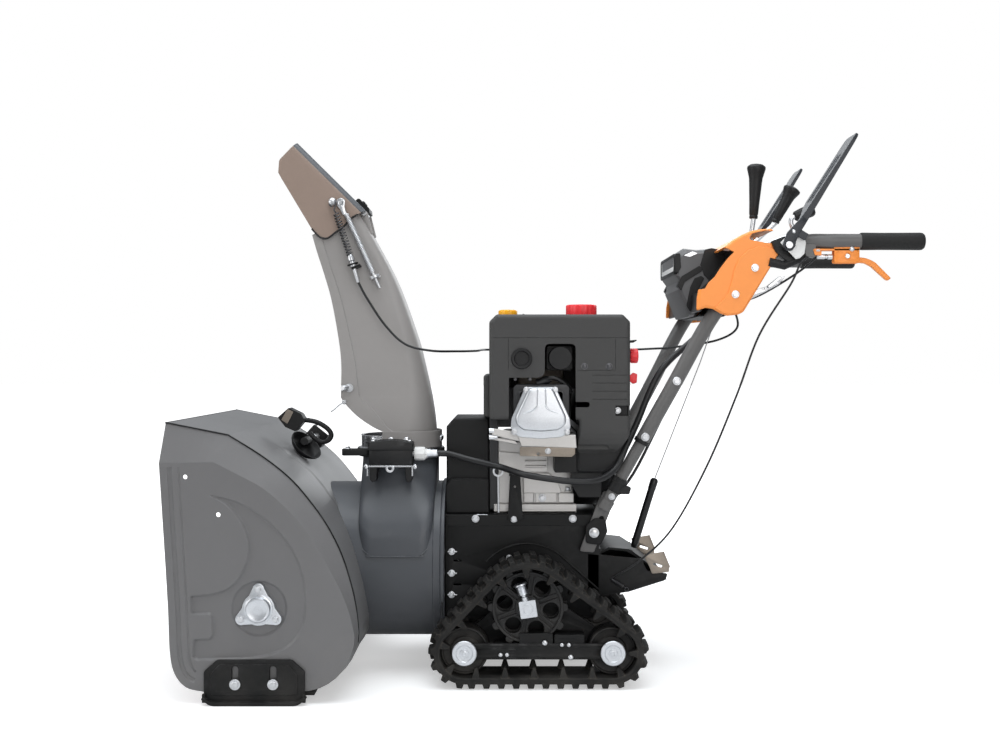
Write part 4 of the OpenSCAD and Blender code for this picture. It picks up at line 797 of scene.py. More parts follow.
HOUSING_LOW, HOUSING_HIGH = corners("auger_housing")
FRONT, BACK, FLOOR, TOP, HALF = HOUSING_LOW.x, HOUSING_HIGH.x, HOUSING_LOW.z, HOUSING_HIGH.z, HOUSING_HIGH.y
AUGER_AT = joint_at("auger_spin")
DRUM_AXIS = joint_at("impeller_spin")
BEVEL = 30.0
SHEET = 3.0
HEEL_R = 106.0
HEEL = (BACK - HEEL_R, FLOOR + HEEL_R)


def from_front(points):
    return [(FRONT + a, b) for a, b in points]


def heel(tuck):
    return [(HEEL[0] + (HEEL_R - tuck) * cos(radians(t)), HEEL[1] + HEEL_R * sin(radians(t))) for t in range(-10, -91,
        -10)]


def fine(points):
    """More points along a drawn curve, with its first stretch left straight."""
    first = [Vector((*points[0], 0)).lerp(Vector((*points[3], 0)), k / 6) for k in range(6)]
    made = first + smooth_route([(*p, 0) for p in points[3:]], 4)
    return [(p.x, p.y) for p in made]


WRAP_EDGE = fine(from_front([(5, TOP), (36, 527), (80, 519), (126, 512), (191, 471.5), (242.5, 431), (279.5, 390),
    (316.4, 338.5), (346, 279.4), (366.3, 213), (375, 165)]) + [(BACK, HEEL[1])])
SIDE_EDGE = fine(from_front([(0, 459), (36, 461), (80, 461.5), (104, 461.2), (139, 443), (197, 412), (248, 368),
    (284.5, 324.5), (313.7, 277), (343, 222.5), (362, 175)]) + [(BACK - 5, HEEL[1])])
WRAP_EDGE += heel(0)
SIDE_EDGE += heel(5)
NOSE = [(p[0], p[1]) for p in smooth_route([(FRONT + 84, FLOOR, 0), (FRONT + 52, 32, 0), (FRONT + 30, 58, 0),
    (FRONT + 21, 100, 0), (FRONT + 17, 190, 0), (FRONT + 5, 380, 0)], 5)]
SIDE_OUTLINE = SIDE_EDGE + NOSE
CRESCENT = soft_loop(from_front([(89.4, 399.2), (113, 397.4), (146, 390), (182, 372), (218.7, 342.7), (248, 310),
    (269.8, 269.8), (280.7, 229.7), (282.5, 186), (279, 153), (269.8, 131), (248, 106), (211.5, 89.4), (164, 84),
    (71, 81), (62, 87.6), (64, 126), (98.5, 126), (98.5, 169.6), (60, 168), (56.6, 208), (102, 210.8), (138.6, 224.3),
    (160.4, 257), (169.5, 291.7), (167, 319), (153, 350), (131, 375.5), (109.4, 390)]))
BEARING_DISH = arc((AUGER_AT.x, AUGER_AT.z), 55, 0, 351, 39)


def front_groove(near, far):
    """A groove that runs down the front edge and round the lower corner."""
    inner = [(FRONT + 1, 452), (FRONT + 3, 415)] + NOSE[::-1]
    outward = [Vector((b[1] - a[1], a[0] - b[0])).normalized() for a, b in zip(inner, inner[1:])]
    outward.append(outward[-1])
    lanes = [[(p[0] - o.x * d, p[1] - o.y * d) for p, o in zip(inner, outward)] for d in (near, far)]
    return lanes[0][:-3] + lanes[1][-4::-1]


def crescent_fade(point):
    """The pressing runs out to nothing at its upper tip."""
    return min(1.0, max(0.06, (point[0] - FRONT - 86) / 48)) if point[1] > 330 else 1.0


def intake_sheet():
    """The side plates with their pressings, the bevels and the wrap, as one folded sheet."""
    shapes = []
    for side in (LEFT, RIGHT):
        pressings = [(CRESCENT, 0, 5.2, 6.5, crescent_fade), (BEARING_DISH, 5.2, 9.2, 6.0, None),
            (front_groove(13, 24), 0, 2.6, 3.2, None), (front_groove(33, 39), 0, 1.6, 2.4, None)]
        shapes.append(pressed_sheet(SIDE_OUTLINE, pressings, side * HALF))
    lanes = []
    for side in (LEFT, RIGHT):
        lanes.append([Vector((x, side * HALF, z)) for x, z in SIDE_EDGE])
    across = [-HALF + BEVEL, -200, -116, -110, -104, 0, 104, 110, 116, 200, HALF - BEVEL]
    rises = [0, 0, 0, 0.5, 1, 1, 1, 0.5, 0, 0, 0]
    for y, rise in zip(across, rises):
        lane = []
        for i, (x, z) in enumerate(WRAP_EDGE):
            a, b = WRAP_EDGE[max(i - 1, 0)], WRAP_EDGE[min(i + 1, len(WRAP_EDGE) - 1)]
            out = Vector((a[1] - b[1], b[0] - a[0])).normalized()
            grown = min(1, max(0, (x - FRONT - 178) / 26)) * rise * 2.6
            lane.append(Vector((x + out.x * grown, y, z + out.y * grown)))
        lanes.insert(-1, lane)
    steps = len(WRAP_EDGE)
    points = [p for lane in lanes for p in lane]
    faces = [(a * steps + i, a * steps + i + 1, (a + 1) * steps + i + 1,
        (a + 1) * steps + i) for a in range(len(lanes) - 1) for i in range(steps - 1)]
    shapes.append((points, faces))
    made = piece("intake_housing", shapes, "machine", "housing_coat", replaces="auger_housing")
    build = bmesh.new()
    build.from_mesh(made.data)
    bmesh.ops.remove_doubles(build, verts=build.verts, dist=WELD * MM)
    bmesh.ops.recalc_face_normals(build, faces=build.faces)
    left = min(build.faces, key=lambda f: f.calc_center_median().y)
    if left.normal.y > 0:
        bmesh.ops.reverse_faces(build, faces=build.faces)
    folds = {(round(x, 1), round(z, 1)) for x, z in SIDE_EDGE + WRAP_EDGE}
    weight = build.edges.layers.float.new("bevel_weight_edge")
    for edge in build.edges:
        ends = [v.co / MM for v in edge.verts]
        if (all((round(p.x, 1), round(p.z, 1)) in folds for p in ends) and abs(ends[0].y - ends[1].y) < 0.1
                and min(abs(abs(ends[0].y) - HALF), abs(abs(ends[0].y) - HALF + BEVEL)) < 0.1):
            edge[weight] = 1
    build.to_mesh(made.data)
    build.free()
    fold = made.modifiers.new("folds", "BEVEL")
    fold.limit_method, fold.width, fold.segments = "WEIGHT", 3.2 * MM, 3
    skin = made.modifiers.new("sheet", "SOLIDIFY")
    skin.thickness, skin.offset = SHEET * MM, -1
    use_modifiers(made)
    holes = [turned([(162, -30), (162, 240)], (BACK - 190, 0, DRUM_AXIS.z), X, 96)]
    holes += [turned([(4.5, 0), (4.5, 30)], (FRONT + x, side * HALF - 15, z), Y, 24) for x,
        z in ((50, 433), (113, 361)) for side in (LEFT, RIGHT)]
    cut(made, holes)
    even_out(made)
    return made


intake_sheet()
for side in (LEFT, RIGHT):
    route = [(x - 0.6, side * (HALF - BEVEL + 1.4), z - 0.6) for x, z in WRAP_EDGE[:-8]]
    piece(f"wrap_seam_{'left' if side < 0 else 'right'}", [pipe(route, 1.5, 8)], "machine", "black_coat")
# A black strip along the top front edge: painted shade in the gap under the folded front edge.
piece("front_edge_shade_strip", [pipe([(FRONT + 6.5, y, TOP - 3.2) for y in range(-298, 299, 149)], 3.4, 12),
    block(FRONT + 5, FRONT + 17, -298, 298, TOP - 5.2, TOP - 2.4)], "machine", "black_plastic", 0.5)


# ---------------------------------------------------------------- bearings, skid shoes and their bolts
LOBE_AT = 38


def lobed_flange(side):
    lobes = []
    for a in (90, 210, 330):
        centre = (AUGER_AT.x + LOBE_AT * cos(radians(a)), AUGER_AT.z + LOBE_AT * sin(radians(a)))
        lobes += arc(centre, 11.5, a - 80, a + 80, 8)
        lobes += arc((AUGER_AT.x, AUGER_AT.z), 31.5, a + 36, a + 84, 5)
    flat = plate(lobes, [], HALF - 9.4, HALF + 2, edge=1.8)
    out = (0, side, 0)
    at = (AUGER_AT.x, side * (HALF + 1.4), AUGER_AT.z)
    cap = turned([(0, 0), (28, 0), (27.4, 1.6), (25.6, 2.2), (24.2, 3.0), (23.6, 8.6), (22.4, 10.2), (20, 10.6),
        (18.8, 9.7), (6, 9.4), (0, 9.5)], at, out, 56)
    return [flat if side > 0 else mirrored(flat), cap]


for side, word in SIDES:
    piece(f"auger_bearing_{word}", lobed_flange(side), "machine", "bright_alloy", replaces="shaft_bearings")
    bolts = []
    for a in (90, 210, 330):
        at = (AUGER_AT.x + LOBE_AT * cos(radians(a)), side * (HALF + 1.6), AUGER_AT.z + LOBE_AT * sin(radians(a)))
        bolts += hex_bolt(at, (0, side, 0), 9.5, 5.6, 7.0)
    piece(f"bearing_bolts_{word}", bolts, "machine", "zinc", 0.4)
DRUM_BACK = corners("shaft_bearings")[1].x - 14
piece("impeller_bearing", [spun([(12.6, 0), (25, 0), (25, 9), (22.5, 11), (22.5, 20), (12.6, 20)],
    (DRUM_BACK - 6, 0, DRUM_AXIS.z), X, 40)], "machine", "zinc", 0.8)


def skid_shoe(side):
    low, high = corners("skid_shoes")
    middle, reach = (low.x + high.x) / 2, (high.x - low.x) / 2 - 4
    top = high.z
    outline = rounded_loop([(middle - reach, 6), (middle + reach, 6), (middle + reach, top - 22),
        (middle + reach - 25, top), (middle - reach + 25, top), (middle - reach, top - 22)], [2, 2, 9, 12, 12, 9])
    slots = [slot_loop(middle + s * 36, 53, 43, 13) for s in (-1, 1)]
    back = plate(outline, slots, HALF, HALF + 7, edge=1.3)
    raised = rounded_loop([(middle - reach + 13, 19), (middle + reach - 13, 19), (middle + reach - 13, top - 26),
        (middle + reach - 31, top - 8), (middle - reach + 31, top - 8), (middle - reach + 13, top - 26)], 8)
    front = plate(raised, slots, HALF + 6, HALF + 9.4, edge=1.5)
    tip = reach + 4
    sole = rounded_loop([(middle - tip, 13.4), (middle - tip + 17, 0), (middle + tip - 17, 0), (middle + tip, 13.4),
        (middle + tip - 4, 16.6), (middle + tip - 19, 7.5), (middle - tip + 19, 7.5), (middle - tip + 4, 16.6)],
        [1.5, 26, 26, 1.5, 1.5, 20, 20, 1.5])
    foot = plate(sole, [], HALF - 2.2, HALF + 15, edge=1.2)
    gussets = [slab([(middle + s * (reach - 1) - 3, 6), (middle + s * (reach - 1) + 3, 6),
        (middle + s * (reach - 1) + 3, 22), (middle + s * (reach - 1) - 3, 22)], HALF + 5, HALF + 12) for s in (-1,
        1)]
    shapes = [back, front, foot] + gussets
    return shapes if side > 0 else [mirrored(s) for s in shapes]


for side, word in SIDES:
    piece(f"skid_shoe_{word}", skid_shoe(side), "machine", "black_coat", replaces="skid_shoes")
    bolts = []
    for x in (AUGER_AT.x - 7 - 36, AUGER_AT.x - 7 + 36):
        bolts += hex_bolt((x, side * (HALF + 9.2), 40), (0, side, 0), 13, 5.2, 10.5)
        bolts += dome_bolt((x, side * (HALF + 13.6), 40), (0, side, 0), 4.2, 1.4)
    piece(f"skid_bolts_{word}", bolts, "machine", "zinc", 0.5)


# ---------------------------------------------------------------- blower drum and throat
DRUM_LOW = corners("impeller_drum")[0]
CHUTE_X = joint_at("chute_turn").x
SEAT = corners("chute_gear")[0].z
THROAT_TOP = SEAT - 6
DRUM_R = DRUM_AXIS.z - DRUM_LOW.z - 7


def rounded_ring(half_l, half_w, corner, height, steps=9):
    """A level ring with round corners: a circle when all three sizes are equal."""
    ring = []
    for turn, (sx, sy) in enumerate(((1, 1), (-1, 1), (-1, -1), (1, -1))):
        for k in range(steps + 1):
            a = radians(90 * turn + 90 * k / steps)
            x, y = sx * (half_l - corner) + corner * cos(a), sy * (half_w - corner) + corner * sin(a)
            ring.append(Vector((CHUTE_X + x, y, height(abs(x)))))
    return ring


def loft(rings, closed_ends=True):
    n = len(rings[0])
    faces = [(k * n + i, k * n + (i + 1) % n, (k + 1) * n + (i + 1) % n,
        (k + 1) * n + i) for k in range(len(rings) - 1) for i in range(n)]
    if closed_ends:
        faces += [tuple(range(n - 1, -1, -1)), tuple(range((len(rings) - 1) * n, len(rings) * n))]
    return [p for ring in rings for p in ring], faces


def throat_rings(skin):
    """From the weld skirt on the drum, past the soft bend, up to the round neck."""
    def skirt(x):
        return DRUM_AXIS.z + 28 + 22 * max(0.0, (x - 50) / 26)

    def bend(x):
        return DRUM_AXIS.z + 66 + 40 * (x / 76) ** 3
    rings = [rounded_ring(76 - skin, 158 - skin, 26 - skin, lambda x: skirt(x) - 6),
        rounded_ring(76 - skin, 164.6 - skin, 26 - skin, skirt), rounded_ring(76.5 - skin, 164 - skin, 28 - skin,
        lambda x: bend(x) - 16), rounded_ring(77 - skin, 161.5 - skin, 31 - skin, lambda x: bend(x) - 3)]
    for k in range(1, 8):
        t = k / 7
        rings.append(rounded_ring(77 + 6 * t - skin, 159.5 - 76.5 * t - skin, 33 + 50 * t - skin, lambda x,
            t=t: (bend(x) + 8) * (1 - t) + (THROAT_TOP - 8) * t))
    rings.append(rounded_ring(83 - skin, 83 - skin, 83 - skin, lambda x: THROAT_TOP + (1 if skin else 0)))
    return rings


SHELL = [(DRUM_R - SHEET, DRUM_LOW.x - DRUM_BACK), (DRUM_R, DRUM_LOW.x - DRUM_BACK), (DRUM_R, -18),
    (DRUM_R + 1.6, -16.5), (DRUM_R + 1.6, -3), (DRUM_R + 6, -1), (DRUM_R + 7, 1), (DRUM_R + 7, 5), (DRUM_R + 6, 6),
    (26, 6), (26, 0), (DRUM_R - SHEET, 0)]
drum = piece("blower_drum", [spun(SHELL, (DRUM_BACK, 0, DRUM_AXIS.z), X, 96)], "machine", "drum_coat",
    replaces="impeller_drum")
TRACK_LOW = corners("tracks")[0]
CLIP = abs(TRACK_LOW.y) - 96 - 3
cut(drum, [loft([[Vector((p.x, p.y, DRUM_AXIS.z + 20)) for p in throat_rings(SHEET)[0]]] + throat_rings(SHEET)),
    slab([(x - 2.5, z - 1.5) for x, z in WRAP_EDGE] + [(FRONT, FLOOR)], -HALF, HALF),
    *both_sides(block(DRUM_BACK + 0.5, DRUM_BACK + 8, CLIP, DRUM_R + 12, 0, joint_at("axle_spin").z))])
throat = piece("chute_throat", [loft(throat_rings(0))], "machine", "drum_coat")
cut(throat, [loft([[p + Vector((0, 0, -8)) for p in throat_rings(SHEET)[0]]] + throat_rings(SHEET)),
    round_bar(DRUM_R - 0.6, BACK - DRUM_BACK - 60, 60, (DRUM_BACK, 0, DRUM_AXIS.z), X, 96)])
seam = [p for p in throat_rings(-0.4)[1] if p.y < -120]
seam.sort(key=lambda p: p.x)
bead = [0.9 + 0.7 * abs(sin(1.9 * k) * cos(0.7 * k)) for k in range(7 * (len(seam) - 1) + 1)]
weld = pipe(smooth_route(seam, 7), bead, 8)
piece("throat_weld", both_sides(weld), "machine", "drum_coat")
NECK_R = 80
piece("chute_neck", [spun([(NECK_R - 3, 0), (92, 0), (93, 0.8), (93, 5), (92.4, 5.7), (NECK_R, 5.7), (NECK_R, 28),
    (NECK_R - 0.8, 29), (NECK_R - 2.2, 29), (NECK_R - 3, 28)], (CHUTE_X, 0, THROAT_TOP), Z, 72)], "machine",
    "black_coat")


# ---------------------------------------------------------------- chute
GEAR_TOP = SEAT + 11
RING_TOP = corners("chute_gear")[1].z
RING_R = 86
HINGE = joint_at("deflector_tilt")


def gear_outline(count, outer, depth):
    loop = []
    for i in range(count):
        for step, rise in ((0.0, 0.0), (0.17, 0.12), (0.32, 1.0), (0.5, 1.0), (0.65, 0.12), (0.82, 0.0)):
            a, r = tau * (i + step) / count, outer - depth + depth * rise
            loop.append((CHUTE_X + r * cos(a), r * sin(a)))
    return loop


piece("chute_gear_ring", [plate(gear_outline(60, 95, 4), [(CHUTE_X, 0, RING_R - 3)], SEAT, GEAR_TOP, "xy", 0.7)],
    "chute_unit", "black_plastic", replaces="chute_gear")
piece("chute_mount_ring", [spun([(RING_R - 3, GEAR_TOP), (RING_R, GEAR_TOP), (RING_R, RING_TOP - 2),
    (RING_R + 1.4, RING_TOP - 1), (RING_R + 1, RING_TOP), (RING_R - 2, RING_TOP), (RING_R - 3, RING_TOP - 1)],
    (CHUTE_X, 0, 0), Z, 96), hollow_bar(RING_R, RING_R + 7, GEAR_TOP, GEAR_TOP + 2, (CHUTE_X, 0, 0), Z, 96)],
    "chute_unit", "zinc")


def collar(inner, outer, half_angle, low, high):
    """A band round the ring behind the open front."""
    out = arc((CHUTE_X, 0), outer, -half_angle, half_angle, 60)
    back = arc((CHUTE_X, 0), inner, half_angle, -half_angle, 60)
    return slab(out + back, low, high, "xy")


piece("chute_collar", [collar(RING_R + 1.6, RING_R + 3.4, 112, GEAR_TOP + 3, RING_TOP + 10)], "chute_unit",
    "chute_coat", 0.5)
ring_screws = []
for a in (-128, -99, -78, 78, 128, 12, -12):
    r = RING_R + 3.4 if abs(a) < 112 else RING_R
    at = (CHUTE_X + r * cos(radians(a)), r * sin(radians(a)), RING_TOP - 8)
    ring_screws += dome_bolt(at, (cos(radians(a)), sin(radians(a)), 0), 6.5, 4.5)
piece("chute_ring_screws", ring_screws, "chute_unit", "zinc")

# Rises of the back and front edges, places of both, half-width, back corner and the joggle of the front flange.
CHUTE_ROWS = [(0, 0, 79, -5, 84, 75, 6), (20, 15, 77, -45, 82.2, 66, -20), (40, 37, 74.5, -80, 80.9, 58, -38),
    (60, 58, 71.5, -103, 79.8, 52, -56), (79, 79, 68, -120, 78.5, 46, -80), (92, 92, 65.5, -121.5, 77.5, 44, -84),
    (151, 151, 52, -121, 74.8, 36, -91), (205, 205, 38, -127, 71.2, 30, -102), (289, 289, 9, -143, 66.4, 24, -122),
    (350, 350, -17, -161, 62, 19, -142), (415, 390, -52, -174, 62, 17, -156), (479, 428, -88, -185, 62, 15, -170)]


def chute_rings():
    steps = 4
    edges = smooth_route([row[0:3] for row in CHUTE_ROWS], steps)
    sizes = smooth_route([row[3:6] for row in CHUTE_ROWS], steps)
    folds = smooth_route([(row[6], row[1], 0) for row in CHUTE_ROWS], steps)
    rings = []
    for (zb, zf, xb), (xf, w, r), fold in zip(edges, sizes, folds):
        step, t = 1.5, 2.4
        half = [(xf, w), (fold.x - 0.6, w), (fold.x + 0.6, w - step)]
        half += [(xb - r + r * sin(radians(a)), w - step - r + r * cos(radians(a))) for a in range(0, 91, 10)]
        inside = [(xf, w - t), (fold.x - 0.6, w - t), (fold.x + 0.6, w - step - t)]
        inside += [(xb - r + (r - t) * sin(radians(a)), w - step - r + (r - t) * cos(radians(a))) for a in range(0,
            91, 10)]
        loop = half + [(x, -y) for x, y in reversed(half)] + [(x, -y) for x, y in inside] + list(reversed(inside))
        rings.append([Vector((CHUTE_X + x, y, RING_TOP + zb + (x - xb) * (zf - zb) / (xf - xb))) for x, y in loop])
    return rings


def chute_sheet():
    rings = chute_rings()
    n = len(rings[0])
    points = [p for ring in rings for p in ring]
    faces = [(k * n + (i + 1) % n, k * n + i, (k + 1) * n + i, (k + 1) * n + (i + 1) % n) for k
        in range(len(rings) - 1) for i in range(n)]
    for k, flip in ((0, False), (len(rings) - 1, True)):
        for i in range(n // 2 - 1):
            quad = (k * n + i, k * n + i + 1, k * n + n - 2 - i, k * n + n - 1 - i)
            faces.append(quad if flip else quad[::-1])
    return points, faces


piece("chute_channel", [chute_sheet()], "chute_unit", "chute_coat", replaces="chute", sharp=40)
CROSS = (CHUTE_X - 104, RING_TOP + 102)
spacer = [round_bar(5, -84, 84, (CROSS[0], 0, CROSS[1]), Y, 20)]
spacer += both_sides(turned([(0, 0), (6.8, 0), (6.8, 14), (5.6, 16), (0, 16)], (CROSS[0] - 3, -78, CROSS[1]),
    (-0.62, -0.78, 0), 20), round_bar(9, 0, 2, (CROSS[0], -78, CROSS[1]), LEFTWARD, 24))
spacer += [turned([(0, 0), (5, 0), (5, 3), (3.4, 5), (0, 5.4)], (CHUTE_X - 114, -78, RING_TOP + 72), LEFTWARD, 20),
    pipe([(CHUTE_X - 114, -82, RING_TOP + 72), (CHUTE_X - 124, -83, RING_TOP + 66),
    (CHUTE_X - 136, -83, RING_TOP + 55), (CHUTE_X - 142, -82, RING_TOP + 52)], 1.4, 8)]
piece("chute_cross_bolt", spacer, "chute_unit", "zinc", replaces="chute_hardware")

# ---------------------------------------------------------------- deflector hood
HOOD_W = 65.0
HOOD_AT = Vector((HINGE.x + 5, 0, HINGE.z + 4))
HOOD_UP = Vector((-0.712, 0, 0.702))
HOOD_IN = Vector((-0.702, 0, -0.712))
HOOD_NEAR = [(0, 0), (9.9, 1.5), (31, 7.3), (62, 7.5), (78, 10.4), (95, 12.5), (101, 15), (105, 19), (108, 24),
    (109.5, 30), (110, 38)]
HOOD_FAR = [(0, 205), (50, 204.5), (55, 203), (73.6, 187), (77, 176), (108.5, 54), (109.6, 46), (110, 38.5)]


def hood_sheet(part):
    depths = [110, 109.5, 108, 105, 101, 95, 86, 78, 73.6, 62, 55, 50, 40, 31, 24]
    bend = 16.0
    path = [(-HOOD_W, d, (0, 1)) for d in depths]
    path += [(-HOOD_W + bend - bend * cos(radians(a)), bend - bend * sin(radians(a)),
        (sin(radians(a)), cos(radians(a)))) for a in range(0, 91, 10)]
    path += [(y, 0.0, (1, 0)) for y in (-30, 0, 30)]
    path += [(-y, d, (a, b)) for y, d, (a, b) in reversed(path[:-3])]
    flank = len(depths) + 3
    path = path[:flank] if part == "near" else path[-flank:] if part == "far" else path[flank - 1:1 - flank]
    columns, points = 9, []
    for layer in (0.0, 2.4):
        for i, (y, d, (down, side)) in enumerate(path):
            inward = -1 if y > 0 else 1
            near, far = np.interp(d, *zip(*HOOD_NEAR)), np.interp(d, *zip(*HOOD_FAR))
            for k in range(columns):
                s = near + (far - near) * k / (columns - 1)
                at = HOOD_AT + HOOD_UP * s + HOOD_IN * (d + layer * down)
                points.append(Vector((at.x, y + inward * side * layer, at.z)))
    rows, half = len(path), len(path) * columns
    faces = []
    for i in range(rows - 1):
        for k in range(columns - 1):
            a = i * columns + k
            quad = (a, a + 1, a + columns + 1, a + columns)
            faces += [quad, tuple(half + v for v in reversed(quad))]
    edge = [k for k in range(columns)] + [i * columns + columns - 1 for i in range(1, rows)]
    edge += [(rows - 1) * columns + k for k in range(columns - 2, -1, -1)] + [i * columns for i in range(rows - 2, 0,
        -1)]
    faces += [(b, a, half + a, half + b) for a, b in zip(edge, edge[1:] + edge[:1])]
    return points, faces


def hood_point(s, d, y):
    at = HOOD_AT + HOOD_UP * s + HOOD_IN * d
    return Vector((at.x, y, at.z))


# The cheeks take the warm brown deflector paint, which is a painted warm reflection.
piece("deflector_cheeks", [hood_sheet("near"), hood_sheet("far")], "deflector_hood", "hood_warm_reflection_coat", sharp=50,
    replaces="deflector")
# The hood's top plate takes the dark drum paint: a painted dark reflection on the top that faces up.
piece("deflector_back", [hood_sheet("top")], "deflector_hood", "drum_coat", sharp=50)
trim = [hood_point(np.interp(d, *zip(*HOOD_NEAR)), d, -HOOD_W) for d in (18, 31, 45, 62, 78, 95, 101, 105, 108,
    109.5)]
trim += [hood_point(s, 110 - (s - 38) * 0.1, -HOOD_W) for s in (44, 52)]
piece("hood_edge_trim", both_sides(pipe(smooth_route(trim, 3), 1.9, 8)), "deflector_hood", "soft_black")
leaf = slab([(hood_point(s, d, 0).x, hood_point(s, d, 0).z) for s,
    d in ((-3, 4), (-6, -3), (2, -9), (31, -9), (34, -6), (34, 0.2), (4, 0.2))], -31, 31)
piece("hinge_leaf", [leaf, *dome_bolt(hood_point(20, -9, -17), -HOOD_IN, 4.6, 3),
    *dome_bolt(hood_point(20, -9, 17), -HOOD_IN, 4.6, 3)], "deflector_hood", "black_coat", 1.2)
piece("hinge_barrel", [hollow_bar(4.1, 6, -31, 31, (HINGE.x, 0, HINGE.z), Y, 28)], "deflector_hood", "zinc", 0.3)
lug_line = rounded_loop([(HINGE.x - 6.4, HINGE.z - 5), (HINGE.x + 12, HINGE.z - 47), (HINGE.x + 19, HINGE.z - 45),
    (HINGE.x + 8, HINGE.z), (HINGE.x + 1, HINGE.z + 8), (HINGE.x - 7, HINGE.z + 4)], 2.5, 3)
piece("hinge_lugs", both_sides(plate(lug_line, [], 32, 38, edge=0.8)), "chute_unit", "chute_coat")
piece("hinge_pin", [turned([(0, -43), (6, -43), (6, -40), (4, -39.6), (4, 41), (3, 42), (0, 42)],
    (HINGE.x, 0, HINGE.z), Y, 24)], "chute_unit", "zinc")

# ---------------------------------------------------------------- deflector rod, spring and cable
EYE = Vector((HINGE.x - 45, -72, HINGE.z + 17))
GROMMET = Vector((CHUTE_X - 50, -72, HINGE.z - 140))
ROD_UP = (EYE - GROMMET).normalized()
piece("eye_stud", [round_bar(3, -2, 9.6, (EYE.x, -HOOD_W - 9.6, EYE.z), Y, 16),
    turned([(0, 0), (6.6, 0), (7.4, 1), (7.4, 4), (5, 5.6), (0, 6)], (EYE.x, -HOOD_W, EYE.z), LEFTWARD, 6)],
    "deflector_hood", "zinc", 0.3)
ball = [(0, -9.2)] + [(9.2 * sin(radians(a)), -9.2 * cos(radians(a))) for a in range(18, 163, 18)] + [(0, 9.2)]
piece("spring_anchor", [turned(ball, (EYE.x - 18, -HOOD_W - 9, EYE.z + 2), LEFTWARD, 28),
    round_bar(3, 0, 21, (EYE.x - 17, -HOOD_W + 1, EYE.z), LEFTWARD, 16)], "deflector_hood", "zinc")
fork = rounded_loop([(EYE.x - 8, EYE.z + 8), (EYE.x - 9, EYE.z - 6), (EYE.x - 2, EYE.z - 13), (EYE.x + 4, EYE.z - 27),
    (EYE.x + 11, EYE.z - 25), (EYE.x + 8, EYE.z - 8), (EYE.x + 9, EYE.z + 6), (EYE.x, EYE.z + 11)], 4, 4)
piece("rod_clevis", [plate(fork, [(EYE.x, EYE.z, 3.1)], -75.6, -69.6, edge=1.6)], "rod", "zinc",
    replaces="deflector_rod")
piece("deflector_rod_bar", [pipe([GROMMET - ROD_UP * 26, GROMMET + ROD_UP * ((EYE - GROMMET).length - 12)], 3, 16)],
    "rod", "zinc", 0.4)
piece("rod_spring", [coil(GROMMET + ROD_UP * 9, EYE - ROD_UP * 27, 5.0, 1.25, 46, 12, 6)], "rod", "zinc", sharp=80)
piece("rod_grommet", [hollow_bar(6.2, 10.8, -3, 3, GROMMET, ROD_UP, 28),
    slab([(GROMMET.x - 11, GROMMET.z - 4), (GROMMET.x + 11, GROMMET.z), (GROMMET.x + 11, GROMMET.z + 4),
    (GROMMET.x - 11, GROMMET.z + 2)], -66, -60)], "chute_unit", "zinc", 0.4)
SLEEVE_LOW, SLEEVE_HIGH = Vector((GROMMET.x - 37, -79, GROMMET.z - 3)), Vector((GROMMET.x - 49, -79, GROMMET.z + 36))
UP = (SLEEVE_HIGH - SLEEVE_LOW).normalized()
piece("cable_sleeve", [turned([(0, -10), (3, -10), (4, -8), (4, 26), (6.6, 26), (6.6, 32), (5, 33), (5, 37), (7, 39),
    (7, 43), (3.4, 54), (0, 54)], SLEEVE_LOW, UP, 20)], "chute_unit", "zinc", 0.3)
holder = rounded_loop([(SLEEVE_LOW.x - 12, SLEEVE_LOW.z + 22), (SLEEVE_LOW.x + 6, SLEEVE_LOW.z + 30),
    (SLEEVE_LOW.x + 8, SLEEVE_LOW.z + 25), (SLEEVE_LOW.x - 10, SLEEVE_LOW.z + 17)], 1.5, 3)
piece("sleeve_holder", [turned([(0, 0), (11, 0), (12, 1), (12, 3), (0, 3)], SLEEVE_LOW + UP * 29, UP, 28),
    slab(holder, -84, -61)], "chute_unit", "black_coat", 0.3)
HOOK = Vector((EYE.x - 17, -79, EYE.z))
low, high = SLEEVE_LOW + UP * 50, HOOK - (HOOK - SLEEVE_HIGH).normalized() * 24
spring_steps = coil(low, high, 6.0, 1.5, 15, 14, 7)
hook = pipe(smooth_route([high, high + Vector((-4, -3, 7)), HOOK + Vector((6, 0, -6)), HOOK + Vector((5, 0, 5)),
    HOOK + Vector((-5, 0, 4)), HOOK + Vector((-6, 0, -5)), HOOK + Vector((-1, 0, -9))], 5), 1.5, 8)
spring = piece("deflector_return_spring", [spring_steps, hook], None, "spring_steel", sharp=80,
    replaces="deflector_spring")
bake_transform(spring)
CABLE_ROUTE = [SLEEVE_LOW - UP * 8, SLEEVE_LOW - UP * 20 + Vector((2, 0, 0)), (-377, -80, 784), (-340, -85, 730),
    (-297, -95, 690), (-244, -100, 676), (-190, -50, 675), (-150, 60, 677), (-140, 150, 680), (-124, 198, 681),
    (-60, 196, 681), (180, 190, 681), (258, 158, 683), (312, 148, 687), (400, 120, 702), (440, 90, 730),
    (424, 60, 775), (409, 60, 788)]
cable = piece("deflector_cable_run", [pipe(smooth_route(CABLE_ROUTE, 8), 2.5, 10)], None, "cable_sheath",
    replaces="deflector_cable", sharp=80)
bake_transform(cable)

